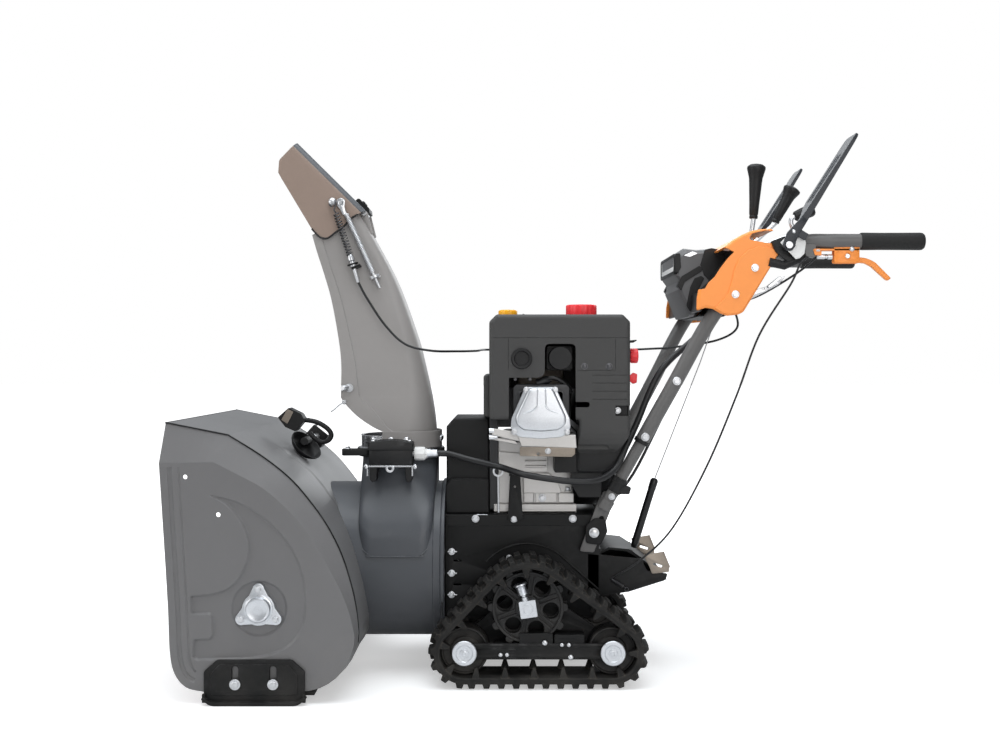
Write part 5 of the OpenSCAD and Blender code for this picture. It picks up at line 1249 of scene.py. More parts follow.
# ---------------------------------------------------------------- chute drive on the throat's side
WORM = (corners("chute_worm")[0] + corners("chute_worm")[1]) / 2
BOX_X = (CHUTE_X - 56, CHUTE_X + 34)
box_near, box_far = WORM.y - 26, WORM.y + 21
case = [block(BOX_X[0], BOX_X[1], box_near, box_far, SEAT - 17, SEAT + 22)]
case = piece("drive_box", case, "machine", "black_plastic", 2.0, replaces="chute_drive")
cut(case, [round_bar(15, -60, 60, (CHUTE_X - 11, WORM.y, WORM.z), X, 24),
    round_bar(97, 0, 16, (CHUTE_X, 0, SEAT - 2), Z, 96), round_bar(RING_R + 5, 0, 40, (CHUTE_X, 0, SEAT - 2), Z, 96)])
front_arch = arc(((BOX_X[0] + BOX_X[1]) / 2, SEAT - 170), 205, 103, 77, 14)
lid = slab([(BOX_X[0] - 2, SEAT + 14), (BOX_X[1] + 2, SEAT + 14), *reversed(front_arch)], box_near - 2, box_far - 1)
lid_made = piece("drive_lid", [lid], "machine", "black_plastic", 1.6)
cut(lid_made, [round_bar(RING_R + 8, 0, 60, (CHUTE_X, 0, SEAT - 2), Z, 96)])
plate_z = SEAT - 19
under = [block(BOX_X[0] - 4, BOX_X[1] + 2, box_near - 2, -70, plate_z - 1.5, plate_z + 1.5)]
under += [block(BOX_X[0] - 4, BOX_X[0] - 1, box_near - 2, box_near + 12, plate_z - 20, plate_z),
    block(BOX_X[1] - 1, BOX_X[1] + 2, box_near - 2, box_near + 12, plate_z - 20, plate_z),
    plate(arc((CHUTE_X - 12, plate_z - 4), 9, 180, 360, 12) + [(CHUTE_X - 3, plate_z + 1),
    (CHUTE_X - 21, plate_z + 1)], [(CHUTE_X - 12, plate_z - 4, 4)], box_near - 3, box_near)]
piece("drive_plate", under, "machine", "zinc", 0.5)
stand = []
for x in (BOX_X[0] + 10, BOX_X[1] - 6):
    stand += [slab([(x - 8, plate_z - 1), (x - 8, plate_z - 28), (x - 3, plate_z - 34), (x + 5, plate_z - 30),
        (x + 7, plate_z - 1)], box_near + 2, -74)]
piece("drive_stand_offs", stand, "machine", "black_plastic", 1.2)
screws = []
for x in (BOX_X[0] - 5, BOX_X[1] + 6):
    screws += dome_bolt((x, box_near - 2, plate_z - 1), LEFTWARD, 5, 4)
for x in (BOX_X[0] + 8, BOX_X[1] - 6):
    screws += dome_bolt((x, WORM.y - 12, SEAT + 32), Z, 5, 3.6)
piece("drive_screws", screws, "machine", "zinc")
loop = rounded_loop([(BOX_X[0] - 58, WORM.y - 17), (BOX_X[0] + 2, WORM.y - 13), (BOX_X[0] + 2, WORM.y + 8),
    (BOX_X[0] - 58, WORM.y + 8)], 10, 5)
piece("drive_arm", [plate(loop, [slot_loop(BOX_X[0] - 34, WORM.y - 4, 38, 11, 0)], SEAT + 2, SEAT + 16, "xy", 1.6)],
    "machine", "black_coat")
piece("drive_arm_bolt", hex_bolt((BOX_X[0] - 46, WORM.y - 4, SEAT + 15.5), Z, 9, 5), "machine", "zinc", 0.3)
FITTING = (BOX_X[1], WORM.y, WORM.z)
piece("drive_coupling", [turned([(6.6, 3), (13.4, 3), (14.2, 5), (14.2, 23), (13.2, 25), (10.5, 26), (10.5, 30),
    (6.6, 30)], FITTING, X, 8)], "machine", "white_plastic", 0.5)
piece("drive_ferrule", [turned([(6.95, 28), (9.6, 28), (9.6, 36), (8.6, 37.5), (8.6, 49), (7.6, 51.5), (6.95, 52)],
    FITTING, X, 28)], "machine", "bright_alloy", 0.3)
FLEX_ROUTE = [(BOX_X[1] + 44.5, WORM.y, WORM.z), (BOX_X[1] + 60, WORM.y, WORM.z), (-200, -112, 459),
    (-159, -130, 449), (-97, -150, 436), (-36, -215, 424), (77, -205, 411), (134, -172, 430), (163, -153, 480),
    (175, -143, 502), (187, -134, 526), (238, -112, 632), (315, -100, 705), (345, -90, 742)]
piece("flex_drive_cable", [pipe(smooth_route(FLEX_ROUTE, 8), 6.6, 16)], "machine", "cable_sheath",
    replaces="flex_shaft", sharp=80)

# ---------------------------------------------------------------- clean-out tool clipped to the housing's top
TOOL_AT = Vector((-537.5, 0, 455.2))
TOOL_TILT = 38.5


def on_wrap(*shapes):
    return [moved(turned_by(shape, TOOL_TILT, "Y", (0, 0, 0)), TOOL_AT) for shape in shapes]


grip = slab(rounded_loop([(-35, -3.5), (-11.5, 17), (15, 4), (23.5, -10), (3, -34), (-19, -24)], 3, 3), -38, 0)
near = corners("cleanout_tool")[0].y
handle = on_wrap(turned([(0, near + 6), (8, near + 6), (9, near + 8), (9, 118), (0, 118)], (0, 0, 34), Y, 24))
handle += [moved(grip, (TOOL_AT.x, near + 40, TOOL_AT.z + 82)), pipe(smooth_route([(-516, near + 12, 528),
    (-490, near + 11, 523), (-468, near + 11, 510), (-459, near + 12, 496), (-465, near + 12, 484),
    (-480, near + 13, 480), (-494, near + 13, 488), (-506, near + 13, 500)], 5), 5.2, 10)]
handle += on_wrap(turned([(0, 0), (20, 0.5), (30, 4), (37, 12), (38.5, 17), (36.5, 17), (32, 9), (26, 4.5), (0, 3)],
    (5, near + 34, 13), (0.1, -0.35, 1), 36))
piece("tool_handle", handle, "machine", "black_plastic", 0.8, replaces="cleanout_tool", sharp=44)
blade = slab(rounded_loop([(-24, 16), (22, 16), (22, 20), (20, 52), (-22, 52), (-24, 20)], 4, 3), 118, 176)
blade_made = piece("tool_blade", on_wrap(blade), "machine", "black_plastic", 1.2)
cut(blade_made, on_wrap(slab([(-20, 20), (18, 20), (17, 60), (-19, 60)], 124, 180)))
clip = [block(-12, 12, 20, 44, 0, 2.5), slab(arc((0, 34), 12, -52, 232, 24) + arc((0, 34), 9.3, 232, -52, 24), 20,
    44), block(-9.5, -7, 20, 44, 1, 27), block(7, 9.5, 20, 44, 1, 27)]
piece("tool_clip", on_wrap(*clip), "machine", "zinc", 0.3)
band = slab(rounded_loop([(-14, 14.5), (-1, 8), (-14, -17.5), (-27, -9)], 1.5, 2), -38.8, 0.8)
piece("tool_band", [moved(band, (TOOL_AT.x, near + 40, TOOL_AT.z + 82))], "machine", "muffler_steel", 0.4)


# ---------------------------------------------------------------- engine shroud
SHROUD_LOW, SHROUD_HIGH = corners("engine_shroud")
CRANK = (corners("crankshaft")[0].z + corners("crankshaft")[1].z) / 2
FUEL_AT = joint_at("fuel_cap_turn")
OIL_AT = joint_at("oil_cap_turn")
SX0, SX1, SY = SHROUD_LOW.x, SHROUD_HIGH.x, SHROUD_HIGH.y
STOP = corners("fuel_cap")[0].z - 0.3
SLOW = SHROUD_LOW.z


def shroud_outline(skin, drop=0):
    return [(SX0 + skin, CRANK + 63 - drop), (SX0 + skin, STOP - 15 - skin / 2), (SX0 + 15 + skin / 2, STOP - skin),
        (SX1 - 15 - skin / 2, STOP - skin), (SX1 - skin, STOP - 15 - skin / 2), (SX1 - skin, SLOW + 37),
        (SX1 - 28 - skin, SLOW - drop), (62, SLOW - drop), (62, CRANK + 63 - drop)]


def rim_groove(z, x0=SX0, x1=SX1, y=SY, deep=1.0, wide=1.1):
    """Thin boxes that cut a seam round the shroud."""
    return [block(x0 - 2, x1 + 2, -y - 2, deep - y, z - wide / 2, z + wide / 2),
        block(x0 - 2, x1 + 2, y - deep, y + 2, z - wide / 2, z + wide / 2),
        block(x0 - 2, x0 + deep, deep - y, y - deep, z - wide / 2, z + wide / 2),
        block(x1 - deep, x1 + 2, deep - y, y - deep, z - wide / 2, z + wide / 2)]


shroud = piece("engine_shroud_shell", [plate(rounded_loop(shroud_outline(0),
    [9.5, 9.5, 9.5, 9.5, 9.5, 20, 16, 9.5, 3], 5), [], -SY, SY, edge=9)], "machine", "engine_plastic",
    replaces="engine_shroud", sharp=30)
opening = rounded_loop([(-79, CRANK + 10), (-79, CRANK + 150), (-6, CRANK + 150), (-6, CRANK + 219),
    (56.6, CRANK + 219), (56.6, CRANK + 10)], [0, 1.5, 17, 11, 11, 0], 5)
skirt = [(SY + 3, SLOW + 42), (SY + 0.01, SLOW + 42), (SY - 2.5, SLOW + 32), (SY - 8, SLOW + 20), (SY - 17, SLOW + 9),
    (SY - 30, SLOW - 2), (SY + 3, SLOW - 2)]
hollow = shroud_outline(3.5, 9)
shroud_cuts = [slab(skirt, 61, SX1 + 2, "yz"), slab([(-y, z) for y, z in skirt], 61, SX1 + 2, "yz"),
    slab(hollow[:5] + [(SX1 - 3.5, SLOW + 43), (66, SLOW + 43), (62, CRANK + 54)], 3.5 - SY, SY - 3.5),
    slab([(SX1 - 3.5, SLOW + 45), (SX1 - 3.5, SLOW + 37), (SX1 - 31.5, SLOW - 9), (61, SLOW - 9), (61, SLOW + 45)],
    34 - SY, SY - 34), slab(opening, -SY - 3, -SY + 12), slab(rounded_loop([(50, CRANK + 90), (85, CRANK + 90),
    (85, CRANK + 101), (50, CRANK + 101)], [0, 5.4, 5.4, 0], 5), -SY - 3, -SY + 12),
    block(137.5, SX1 + 3, -SY - 3, -SY + 16, CRANK + 72.5, CRANK + 93.5),
    slab(slot_loop(87, SLOW + 11, 76, 13, 0), -SY - 3, -SY + 18)]
shroud_cuts += rim_groove(STOP - 48)
for x in (-80, 137.5):
    shroud_cuts += [block(x - 0.5, x + 0.5, side * (SY + 0.1) - 1, side * (SY + 0.1) + 1, CRANK + 166,
        STOP - 48.5) for side in (LEFT, RIGHT)]
for side in (LEFT, RIGHT):
    shroud_cuts += [block(59, 137.5, side * SY - 1, side * SY + 1, CRANK + 164.6, CRANK + 165.6)]
    shroud_cuts += [slab(rectangle(91, 160, z - 1.1, z + 1.1, 1.0, 2), side * SY - 1.0,
        side * SY + 1.0) for z in (CRANK + 155, CRANK + 139, CRANK + 122.5, CRANK + 106)]
for k in range(7):
    shroud_cuts.append(slab(slot_loop(-8, CRANK + 92 + 17 * k, 100, 8, 0), SY - 9, SY + 3))
for k in range(5):
    shroud_cuts.append(slab(slot_loop(0, CRANK + 148 + 15 * k, 120, 7, 0), SX1 - 8, SX1 + 3, "yz"))
shroud_cuts.append(round_bar(98, -8, 30, (SX1 - 26, 0, CRANK), X, 72))
cut(shroud, shroud_cuts)
even_out(shroud, 26)
piece("front_air_box", [plate(rounded_loop([(SX0 - 12, CRANK + 69), (SX0 + 2, CRANK + 69), (SX0 + 2, CRANK + 156),
    (SX0 - 12, CRANK + 156)], [8, 0, 0, 8], 4), [], -150, 40, edge=4)], "machine", "engine_plastic")
piece("air_plug", [turned([(0, 2), (14, 2), (15.5, 5.5), (20, 6), (21, 4.5), (21.4, 0), (0, 0)][::-1],
    (-53, -SY + 0.5, CRANK + 189), LEFTWARD, 48)], "machine", "black_plastic")
screws = []
for x in (74.5, 124.5):
    screws += [turned([(7.2, 0), (7.2, 0.4), (5.4, 0.5), (5.2, 2.6), (4, 3.6), (0, 3.8)], (x, -SY + 0.2, CRANK + 173),
        LEFTWARD, 24)]
    screws += [turned([(7.2, 0), (7.2, 0.4), (5.4, 0.5), (5.2, 2.6), (4, 3.6), (0, 3.8)], (x, SY - 0.2, CRANK + 173),
        (0, 1, 0), 24)]
for x in (-66, -36):
    screws += [turned([(0, 0), (4.4, 0), (4.4, 2), (3, 3.4), (0, 3.6)], (x, -SY + 10, CRANK + 147), LEFTWARD, 20)]
piece("shroud_screws", screws, "machine", "spring_steel")
piece("notch_bolt", hex_bolt((143, -SY + 13, CRANK + 83), LEFTWARD, 9, 6), "machine", "zinc", 0.3)
# The plate behind the notch is black so that the notch looks dark inside: painted shade.
piece("notch_shaded_back", [block(130, SX1 - 5, -SY + 13, -SY + 16, CRANK + 68, CRANK + 98)], "machine", "black_plastic",
    0.5)


def knurled(radius, height, ridges, deep, at, along, dome=2.0):
    """A cap with a ribbed rim and a slightly domed top."""
    profile = [(0, 0), (radius - deep, 0), (radius, 2.5), (radius, height - 4), (radius - 1.2, height - 1.6),
        (radius - 4, height - dome * 0.3), (radius * 0.5, height), (0, height)]
    points, faces = turned(profile, at, along, ridges * 4)
    axis, at = Vector(along).normalized(), Vector(at)
    made = []
    for p in points:
        out = p - at - axis * (p - at).dot(axis)
        level = (p - at).dot(axis)
        if out.length > radius - 0.6 and 1 < level < height - 3:
            side = axis.orthogonal().normalized()
            turn = atan2(out.dot(axis.cross(side)), out.dot(side))
            p = p - out.normalized() * deep * (0.5 - 0.5 * cos(turn * ridges)) ** 2
        made.append(p)
    return made, faces


piece("fuel_cap_red", [knurled(33.5, 26, 18, 1.8, (FUEL_AT.x, FUEL_AT.y, STOP + 0.4), Z)], "filler_cap",
    "red_plastic", replaces="fuel_cap", sharp=50)
piece("oil_cap_orange", [knurled(20.5, 15.4, 16, 1.2, (OIL_AT.x, OIL_AT.y, STOP + 0.4), Z),
    block(OIL_AT.x - 14, OIL_AT.x + 14, OIL_AT.y - 2, OIL_AT.y + 2, STOP + 14, STOP + 15.9)], "oil_filler_cap",
    "yellow_plastic", replaces="oil_cap", sharp=50)
piece("dip_stick_tab", [slab(rounded_loop([(OIL_AT.x + 24, STOP - 1), (OIL_AT.x + 36, STOP - 1),
    (OIL_AT.x + 37, STOP + 6), (OIL_AT.x + 32, STOP + 7), (OIL_AT.x + 30, STOP + 3), (OIL_AT.x + 24, STOP + 4)], 1.2,
    2), -34, -26)], "machine", "black_plastic")
CHOKE_AT, KEY_AT = joint_at("choke_turn"), joint_at("key_pull")
piece("choke_knob_red", [knurled(15.6, 17, 10, 1.8, (SX1 + 6, CHOKE_AT.y, CHOKE_AT.z), X),
    round_bar(7, 0.4, 7, (SX1, CHOKE_AT.y, CHOKE_AT.z), X, 24)], "choke", "red_plastic", replaces="choke_knob",
    sharp=50)
key = [turned([(0, 0.4), (7, 0.4), (7, 4), (5, 6), (0, 6)], (SX1, KEY_AT.y, KEY_AT.z), X, 24),
    plate(rounded_loop([(SX1 + 4, KEY_AT.z - 5), (SX1 + 12, KEY_AT.z - 12), (SX1 + 20, KEY_AT.z - 9),
    (SX1 + 21, KEY_AT.z + 9), (SX1 + 12, KEY_AT.z + 12), (SX1 + 4, KEY_AT.z + 5)], 3, 3), [], KEY_AT.y - 2.5,
    KEY_AT.y + 2.5, edge=1)]
piece("ignition_key_red", key, "key", "red_plastic", replaces="ignition_key")
rear = [spun([(10, 0), (22, 0), (22, 1.6), (19, 3), (10, 3)], (SX1, CHOKE_AT.y, CHOKE_AT.z), X, 40),
    spun([(8.4, 0), (17, 0), (17, 1.6), (14, 3), (8.4, 3)], (SX1, KEY_AT.y, KEY_AT.z), X, 40)]
piece("panel_rings", rear, "machine", "black_plastic")
piece("throttle_lever", [plate(rounded_loop([(SX1 - 4, CRANK + 221), (SX1 + 10, CRANK + 222), (SX1 + 17, CRANK + 226),
    (SX1 + 16, CRANK + 228), (SX1 - 4, CRANK + 226)], 1.5, 3), [], -150, -128, edge=1.2)], "machine", "black_plastic")

# ---------------------------------------------------------------- recoil starter and fan cover
FAN_LOW, FAN_HIGH = corners("flywheel_housing")
FAN_R = FAN_HIGH.z - CRANK
fan = [(FAN_R - 6, 0), (FAN_R, 0), (FAN_R, 66), (FAN_R - 3, 75), (FAN_R - 12, 81), (96, 82), (86, 84), (80, 94),
    (72, 97), (40, 97), (36, 94), (12, 94), (12, 88), (FAN_R - 14, 76), (FAN_R - 6, 68)]
fan_made = piece("fan_cover", [spun(fan, (FAN_LOW.x, 0, CRANK), X, 96)], "machine", "black_plastic",
    replaces="flywheel_housing", sharp=34)
cut(fan_made, [turned_by(block(FAN_HIGH.x - 16, FAN_HIGH.x + 3, -5, 5, CRANK + 46, CRANK + 68), 30 * k, "X",
    (0, 0, CRANK)) for k in range(12)])
piece("starter_cup", [turned([(0, 0), (31, 0), (33, 3), (33, 6), (27, 10), (10, 11), (0, 11)],
    (FAN_HIGH.x - 13, 0, CRANK), X, 48)], "machine", "engine_plastic")
rope = [turned([(0, -34), (6, -33), (8, -26), (8, 26), (6, 33), (0, 34)], (FAN_HIGH.x + 1, 92, CRANK + 58), Y, 20),
    pipe([(FAN_HIGH.x - 12, 78, CRANK + 40), (FAN_HIGH.x + 1, 92, CRANK + 58)], 2.4, 8)]
piece("starter_handle", rope, "machine", "black_plastic", 0.8)
bowl = rounded_loop([(60, CRANK + 34), (60, CRANK - 46), (112, CRANK - 46), (152, CRANK - 30), (163, CRANK + 6),
    (163, CRANK + 34)], [9, 9, 26, 26, 22, 9], 6)
piece("lower_duct", [plate(bowl, [], -156, 156, edge=8)], "machine", "black_plastic", sharp=30)
side_duct = [slab(rounded_loop([(15, CRANK - 46), (64, CRANK - 46), (64, CRANK - 8), (15, CRANK - 8)], 4, 3), -150,
    -90), slab(rounded_loop([(66, CRANK - 98), (112, CRANK - 98), (114, CRANK - 40), (50, CRANK - 40),
    (50, CRANK - 72)], 4, 3), -140, -98)]
piece("starter_motor_cover", side_duct, "machine", "black_plastic", 1.5)

# ---------------------------------------------------------------- crankcase, cylinder and valve cover
DECK = corners("chassis")[1].z
case_shapes = [plate(rounded_loop([(-104, DECK + 16), (58, DECK + 16), (58, CRANK + 26), (40, CRANK + 32),
    (-86, CRANK + 32), (-104, CRANK + 20)], [6, 6, 10, 14, 22, 22], 4), [], -88, 88, edge=6)]
piece("crankcase", case_shapes, "machine", "cast_alloy", replaces="engine_block", sharp=32)
base = [block(-110, 64, -96, 96, DECK, DECK + 5), block(-47, 22, -95, -70, DECK + 22, DECK + 42),
    block(26, 58, -95, -70, DECK + 22, DECK + 42), block(-26, -22, -96.5, -80, DECK + 22, DECK + 42),
    slab(rounded_loop([(-48, DECK + 42), (34, DECK + 42), (24, DECK + 68), (6, DECK + 84), (-48, DECK + 84)], 4, 3),
    -96, -70), slab(rounded_loop([(-100, CRANK - 50), (4, CRANK - 50), (4, CRANK - 16), (-100, CRANK - 6)], 5, 3),
    -93, -80), block(-44, 0, -97, -90, CRANK - 40, CRANK - 36), block(-44, 0, -97, -90, CRANK - 28, CRANK - 25),
    *both_sides(block(-110, 64, 84, 96, DECK, DECK + 19))]
piece("engine_flange", [slab(rounded_loop([(-92, DECK + 6), (92, DECK + 6), (92, CRANK + 60), (-92, CRANK + 74)],
    [4, 4, 12, 12], 4), -119, -101, "yz"), block(-102, -50, -80, 80, CRANK + 44, CRANK + 128)], "machine",
    "gear_case", 1.5)
piece("crankcase_feet", base, "machine", "cast_alloy", 1.6)
HEAD_Y = corners("engine_block")[0].y + 6
fins = []
for i in range(7):
    y = HEAD_Y + 14 * i
    small = 12 if i == 0 else 0
    fins.append(plate(rounded_loop([(small - 70, CRANK + 18), (44 - small, CRANK + 18),
        (44 - small, CRANK + 130 - small), (38 - small, CRANK + 136 - small), (small - 64, CRANK + 136 - small),
        (small - 70, CRANK + 130 - small)], 5, 3), [], y, y + 4, edge=1))
fins.append(block(-58, 30, HEAD_Y, -70, CRANK + 22, CRANK + 122))
piece("cylinder_fins", fins, "machine", "gear_case")
piece("head_plate", [slab([(-62, CRANK + 35), (56, CRANK + 35), (58, CRANK + 8), (-54, CRANK + 12)], HEAD_Y - 6, -96),
    slab([(-113, CRANK + 46), (-108, CRANK + 47), (-60, CRANK + 40), (-30, CRANK + 26), (-40, CRANK + 18),
    (-64, CRANK + 22), (-113, CRANK + 34)], HEAD_Y + 4, HEAD_Y + 9),
    slab([(-113, CRANK + 30), (-66, CRANK + 22), (-60, CRANK + 14), (-113, CRANK + 24)], HEAD_Y + 8, HEAD_Y + 12)],
    "machine", "cast_alloy", 1.2)
piece("head_bracket", [plate(rounded_loop([(-57, CRANK + 10), (55, CRANK + 10), (55, CRANK - 4), (48, CRANK - 10),
    (-57, CRANK - 8)], 3, 3), [(-20, CRANK - 4, 3)], HEAD_Y - 4, HEAD_Y - 1)], "machine", "muffler_steel")
rocker_base = rounded_loop([(-46, CRANK + 132), (15, CRANK + 132), (44, CRANK + 68), (46, CRANK + 48),
    (30, CRANK + 31), (-15, CRANK + 27), (-60, CRANK + 31), (-76, CRANK + 48), (-74, CRANK + 68)],
    [12, 12, 14, 14, 16, 60, 16, 14, 14], 5)
rocker_top = rounded_loop([(-39, CRANK + 130), (9, CRANK + 130), (36, CRANK + 72), (35, CRANK + 56), (20, CRANK + 45),
    (-15, CRANK + 42), (-50, CRANK + 45), (-65, CRANK + 56), (-66, CRANK + 72)], [14, 14, 18, 16, 18, 60, 18, 16, 18],
    5)
VY = corners("valve_cover")[0].y
ribs = [pipe(smooth_route([(-22, VY + 0.4, CRANK + 94), (-30, VY + 0.2, CRANK + 86), (-52, VY + 1.5, CRANK + 78)], 4),
    1.6, 8), pipe(smooth_route([(-6, VY + 0.4, CRANK + 94), (2, VY + 0.2, CRANK + 86), (24, VY + 1.5, CRANK + 78)],
    4), 1.6, 8)]
ribs += [pipe([(x, VY + 0.6, CRANK + 128), (x - s, VY + 0.3, CRANK + 96)], 1.4, 8) for x, s in ((-22, 1), (-6, -1))]
piece("rocker_cover", [plate(rocker_base, [], VY + 14, VY + 25, edge=2.4), plate(rocker_top, [], VY, VY + 16, edge=6),
    *ribs], "machine", "bright_alloy", replaces="valve_cover", sharp=32)
bolts = []
for x, z in ((-68, CRANK + 41), (38, CRANK + 41), (-44, CRANK + 126), (14, CRANK + 126)):
    bolts += hex_bolt((x, VY + 14, z), LEFTWARD, 8, 5)
bolts += hex_bolt((0, HEAD_Y - 4, CRANK + 2), LEFTWARD, 8, 5)
bolts += hex_bolt((-8, -95, DECK + 32), LEFTWARD, 11, 6) + hex_bolt((46, -90, DECK + 46), Z, 9, 8)
bolts += [round_bar(5.5, 0, 10, (-119, HEAD_Y + 8, z), X, 6) for z in (CRANK + 42, CRANK + 29)]
bolts += [round_bar(4, 0, 14, (-116, HEAD_Y + 8, z), X, 16) for z in (CRANK + 42, CRANK + 29)]
piece("engine_bolts", bolts, "machine", "zinc", 0.3)
plug = smooth_route([(-12, HEAD_Y + 20, CRANK + 142), (10, HEAD_Y + 14, CRANK + 150), (36, HEAD_Y + 20, CRANK + 138),
    (50, HEAD_Y + 34, CRANK + 120)], 5)
piece("spark_lead", [pipe(plug, 4, 10), turned([(0, 0), (9, 0), (9, 22), (6, 30), (0, 30)],
    (-22, HEAD_Y + 22, CRANK + 138), (0.9, 0, 0.3), 20)], "machine", "soft_black")
carb = [slab(rounded_loop([(-2, CRANK + 165), (53, CRANK + 165), (53, CRANK + 216), (-2, CRANK + 216)], 7, 3), -150,
    -70), round_bar(24, -20, 40, (26, -140, CRANK + 190), LEFTWARD, 32)]
piece("air_filter_box", carb, "machine", "black_plastic", 2.0)
piece("engine_brace", [plate(rounded_loop([(-81, DECK - 12), (-49, DECK - 12), (-55, DECK + 86), (-76, DECK + 86)],
    [2, 2, 9, 9], 4), [(-66, DECK + 58, 2.4)], -121, -116, edge=0.8),
    block(-78, -54, -120, -86, DECK + 80, DECK + 85)], "machine", "black_coat")
ring_at = (-101, -118, CRANK - 46)
piece("tension_ring", [hollow_bar(7.4, 11.4, -2.5, 2.5, ring_at, Y, 32),
    pipe([(ring_at[0], -118, ring_at[2] - 10), (ring_at[0] + 1, -118, DECK + 4)], 2.4, 8)], "machine", "zinc", 0.6)
starter = [turned([(0, 0), (23, 0), (25, 3), (25, 64), (21, 68), (0, 68)], (-14, 112, DECK + 52), (-1, 0, 0), 32)]
piece("starter_motor", starter + [block(-40, 0, 86, 112, DECK + 40, DECK + 64)], "machine", "black_coat", 1.0)

# ---------------------------------------------------------------- muffler and belt cover
MUF_LOW, MUF_HIGH = corners("muffler")
muffler = [plate(rounded_loop([(MUF_LOW.x, CRANK + 88), (MUF_HIGH.x, CRANK + 88), (MUF_HIGH.x, MUF_HIGH.z),
    (MUF_LOW.x, MUF_HIGH.z)], 22, 6), [], 100, MUF_HIGH.y, edge=9)]
muffler += [plate(rounded_loop([(MUF_LOW.x - 2, CRANK + 86), (MUF_HIGH.x + 2, CRANK + 86),
    (MUF_HIGH.x + 2, MUF_HIGH.z), (MUF_LOW.x - 2, MUF_HIGH.z)], 23, 6), [], 134, 139, edge=1)]
muffler += [pipe(smooth_route([(-10, 62, CRANK + 50), (-10, 84, CRANK + 62), (-10, 96, CRANK + 90),
    (-10, 104, CRANK + 112)], 4), 14, 16)]
piece("muffler_can", muffler, "machine", "muffler_steel", replaces="muffler", sharp=30)
COVER_LOW, COVER_HIGH = corners("belt_cover")
cx0, cx1, ctop = COVER_LOW.x, COVER_HIGH.x, COVER_HIGH.z
upper = rounded_loop([(cx0 + 1, DECK), (cx1, DECK), (cx1, ctop), (cx0 + 18, ctop), (cx0 + 1, ctop - 18)],
    [0, 0, 5, 4, 4], 3)
lower = rounded_loop([(cx0, DECK), (cx1, DECK), (cx1, DECK + 72), (cx0 + 11, DECK + 72), (cx0, DECK + 60)],
    [0, 0, 3, 3, 4], 3)
piece("belt_cover_shell", [plate(upper, [], -92, 92, edge=5), plate(lower, [], -104, 104, edge=3.5)], "machine",
    "black_coat", replaces="belt_cover", sharp=30)
latch = [block(-146, -122, -116, -104, DECK - 14, DECK), block(-150, -143, -117, -108, DECK - 16, DECK - 2)]
piece("cover_latch", latch, "machine", "bright_alloy", 1.5)


# ---------------------------------------------------------------- rubber tracks
TRACK_OUT = 236
TRACK_IN = 140
BAND, LUG = 13.0, 11.0
AXLE = joint_at("axle_spin")
FRONT_IDLER, REAR_IDLER = joint_at("front_left_idler_spin"), joint_at("rear_left_idler_spin")
IDLER_R = FRONT_IDLER.z - BAND - LUG
ROLLERS = [(FRONT_IDLER.x, FRONT_IDLER.z, IDLER_R), (REAR_IDLER.x, REAR_IDLER.z, IDLER_R), (AXLE.x, AXLE.z, 81.0)]


def track_runs():
    """Outward angle and length of each straight run, and the arc that follows it."""
    made = []
    for i in range(3):
        (ax, az, ar), (bx, bz, br) = ROLLERS[i], ROLLERS[(i + 1) % 3]
        span = hypot(bx - ax, bz - az)
        made.append([degrees(atan2(bz - az, bx - ax)) - degrees(np.arccos((ar - br) / span)),
            sqrt(span * span - (ar - br) ** 2)])
    for i in range(3):
        made[i].append((made[(i + 1) % 3][0] - made[i][0]) % 360)
    return made


RUNS = track_runs()


def track_length(off):
    return sum(run[1] + radians(run[2]) * (ROLLERS[(i + 1) % 3][2] + off) for i, run in enumerate(RUNS))


def track_at(s, off):
    """Place on the loop and its outward direction in degrees."""
    s %= track_length(off)
    for i, (angle, length, bend) in enumerate(RUNS):
        (ax, az, ar), (bx, bz, br) = ROLLERS[i], ROLLERS[(i + 1) % 3]
        if s <= length:
            a = radians(angle)
            return ax + (ar + off) * cos(a) - s * sin(a), az + (ar + off) * sin(a) + s * cos(a), angle
        s -= length
        arc_length = radians(bend) * (br + off)
        if s <= arc_length:
            a = radians(angle + bend * s / arc_length)
            return bx + (br + off) * cos(a), bz + (br + off) * sin(a), degrees(a)
        s -= arc_length
    return track_at(0, off)


def band_loop(off):
    loop = []
    for i, (angle, _, bend) in enumerate(RUNS):
        bx, bz, br = ROLLERS[(i + 1) % 3]
        loop += arc((bx, bz), br + off, angle, angle + bend, 26)
    return loop


def lug(s, off, y0, y1, base, tip, height, skew=0.0, sink=2.5):
    """One tread block: a tapered bar across part of the band, its outer end drawn in."""
    x, z, angle = track_at(s, off)
    out = Vector((cos(radians(angle)), 0, sin(radians(angle))))
    along = Vector((-out.z, 0, out.x))
    at = Vector((x, 0, z))
    ring = []
    for y, tuck, lean in ((y0, 0, 0), (y0 + (y1 - y0) * 0.78, 0, skew * 0.6), (y1, 0.42, skew)):
        h = height * (1 - tuck)
        b, t = base * (1 - tuck * 0.2), tip * (1 - tuck * 0.5)
        ring.append([at + along * (lean - b) - out * sink, at + along * (lean + b) - out * sink,
            at + along * (lean + t) + out * h, at + along * (lean - t) + out * h])
        ring[-1] = [Vector((p.x, y, p.z)) for p in ring[-1]]
    return loft(ring if y1 > y0 else ring[::-1])


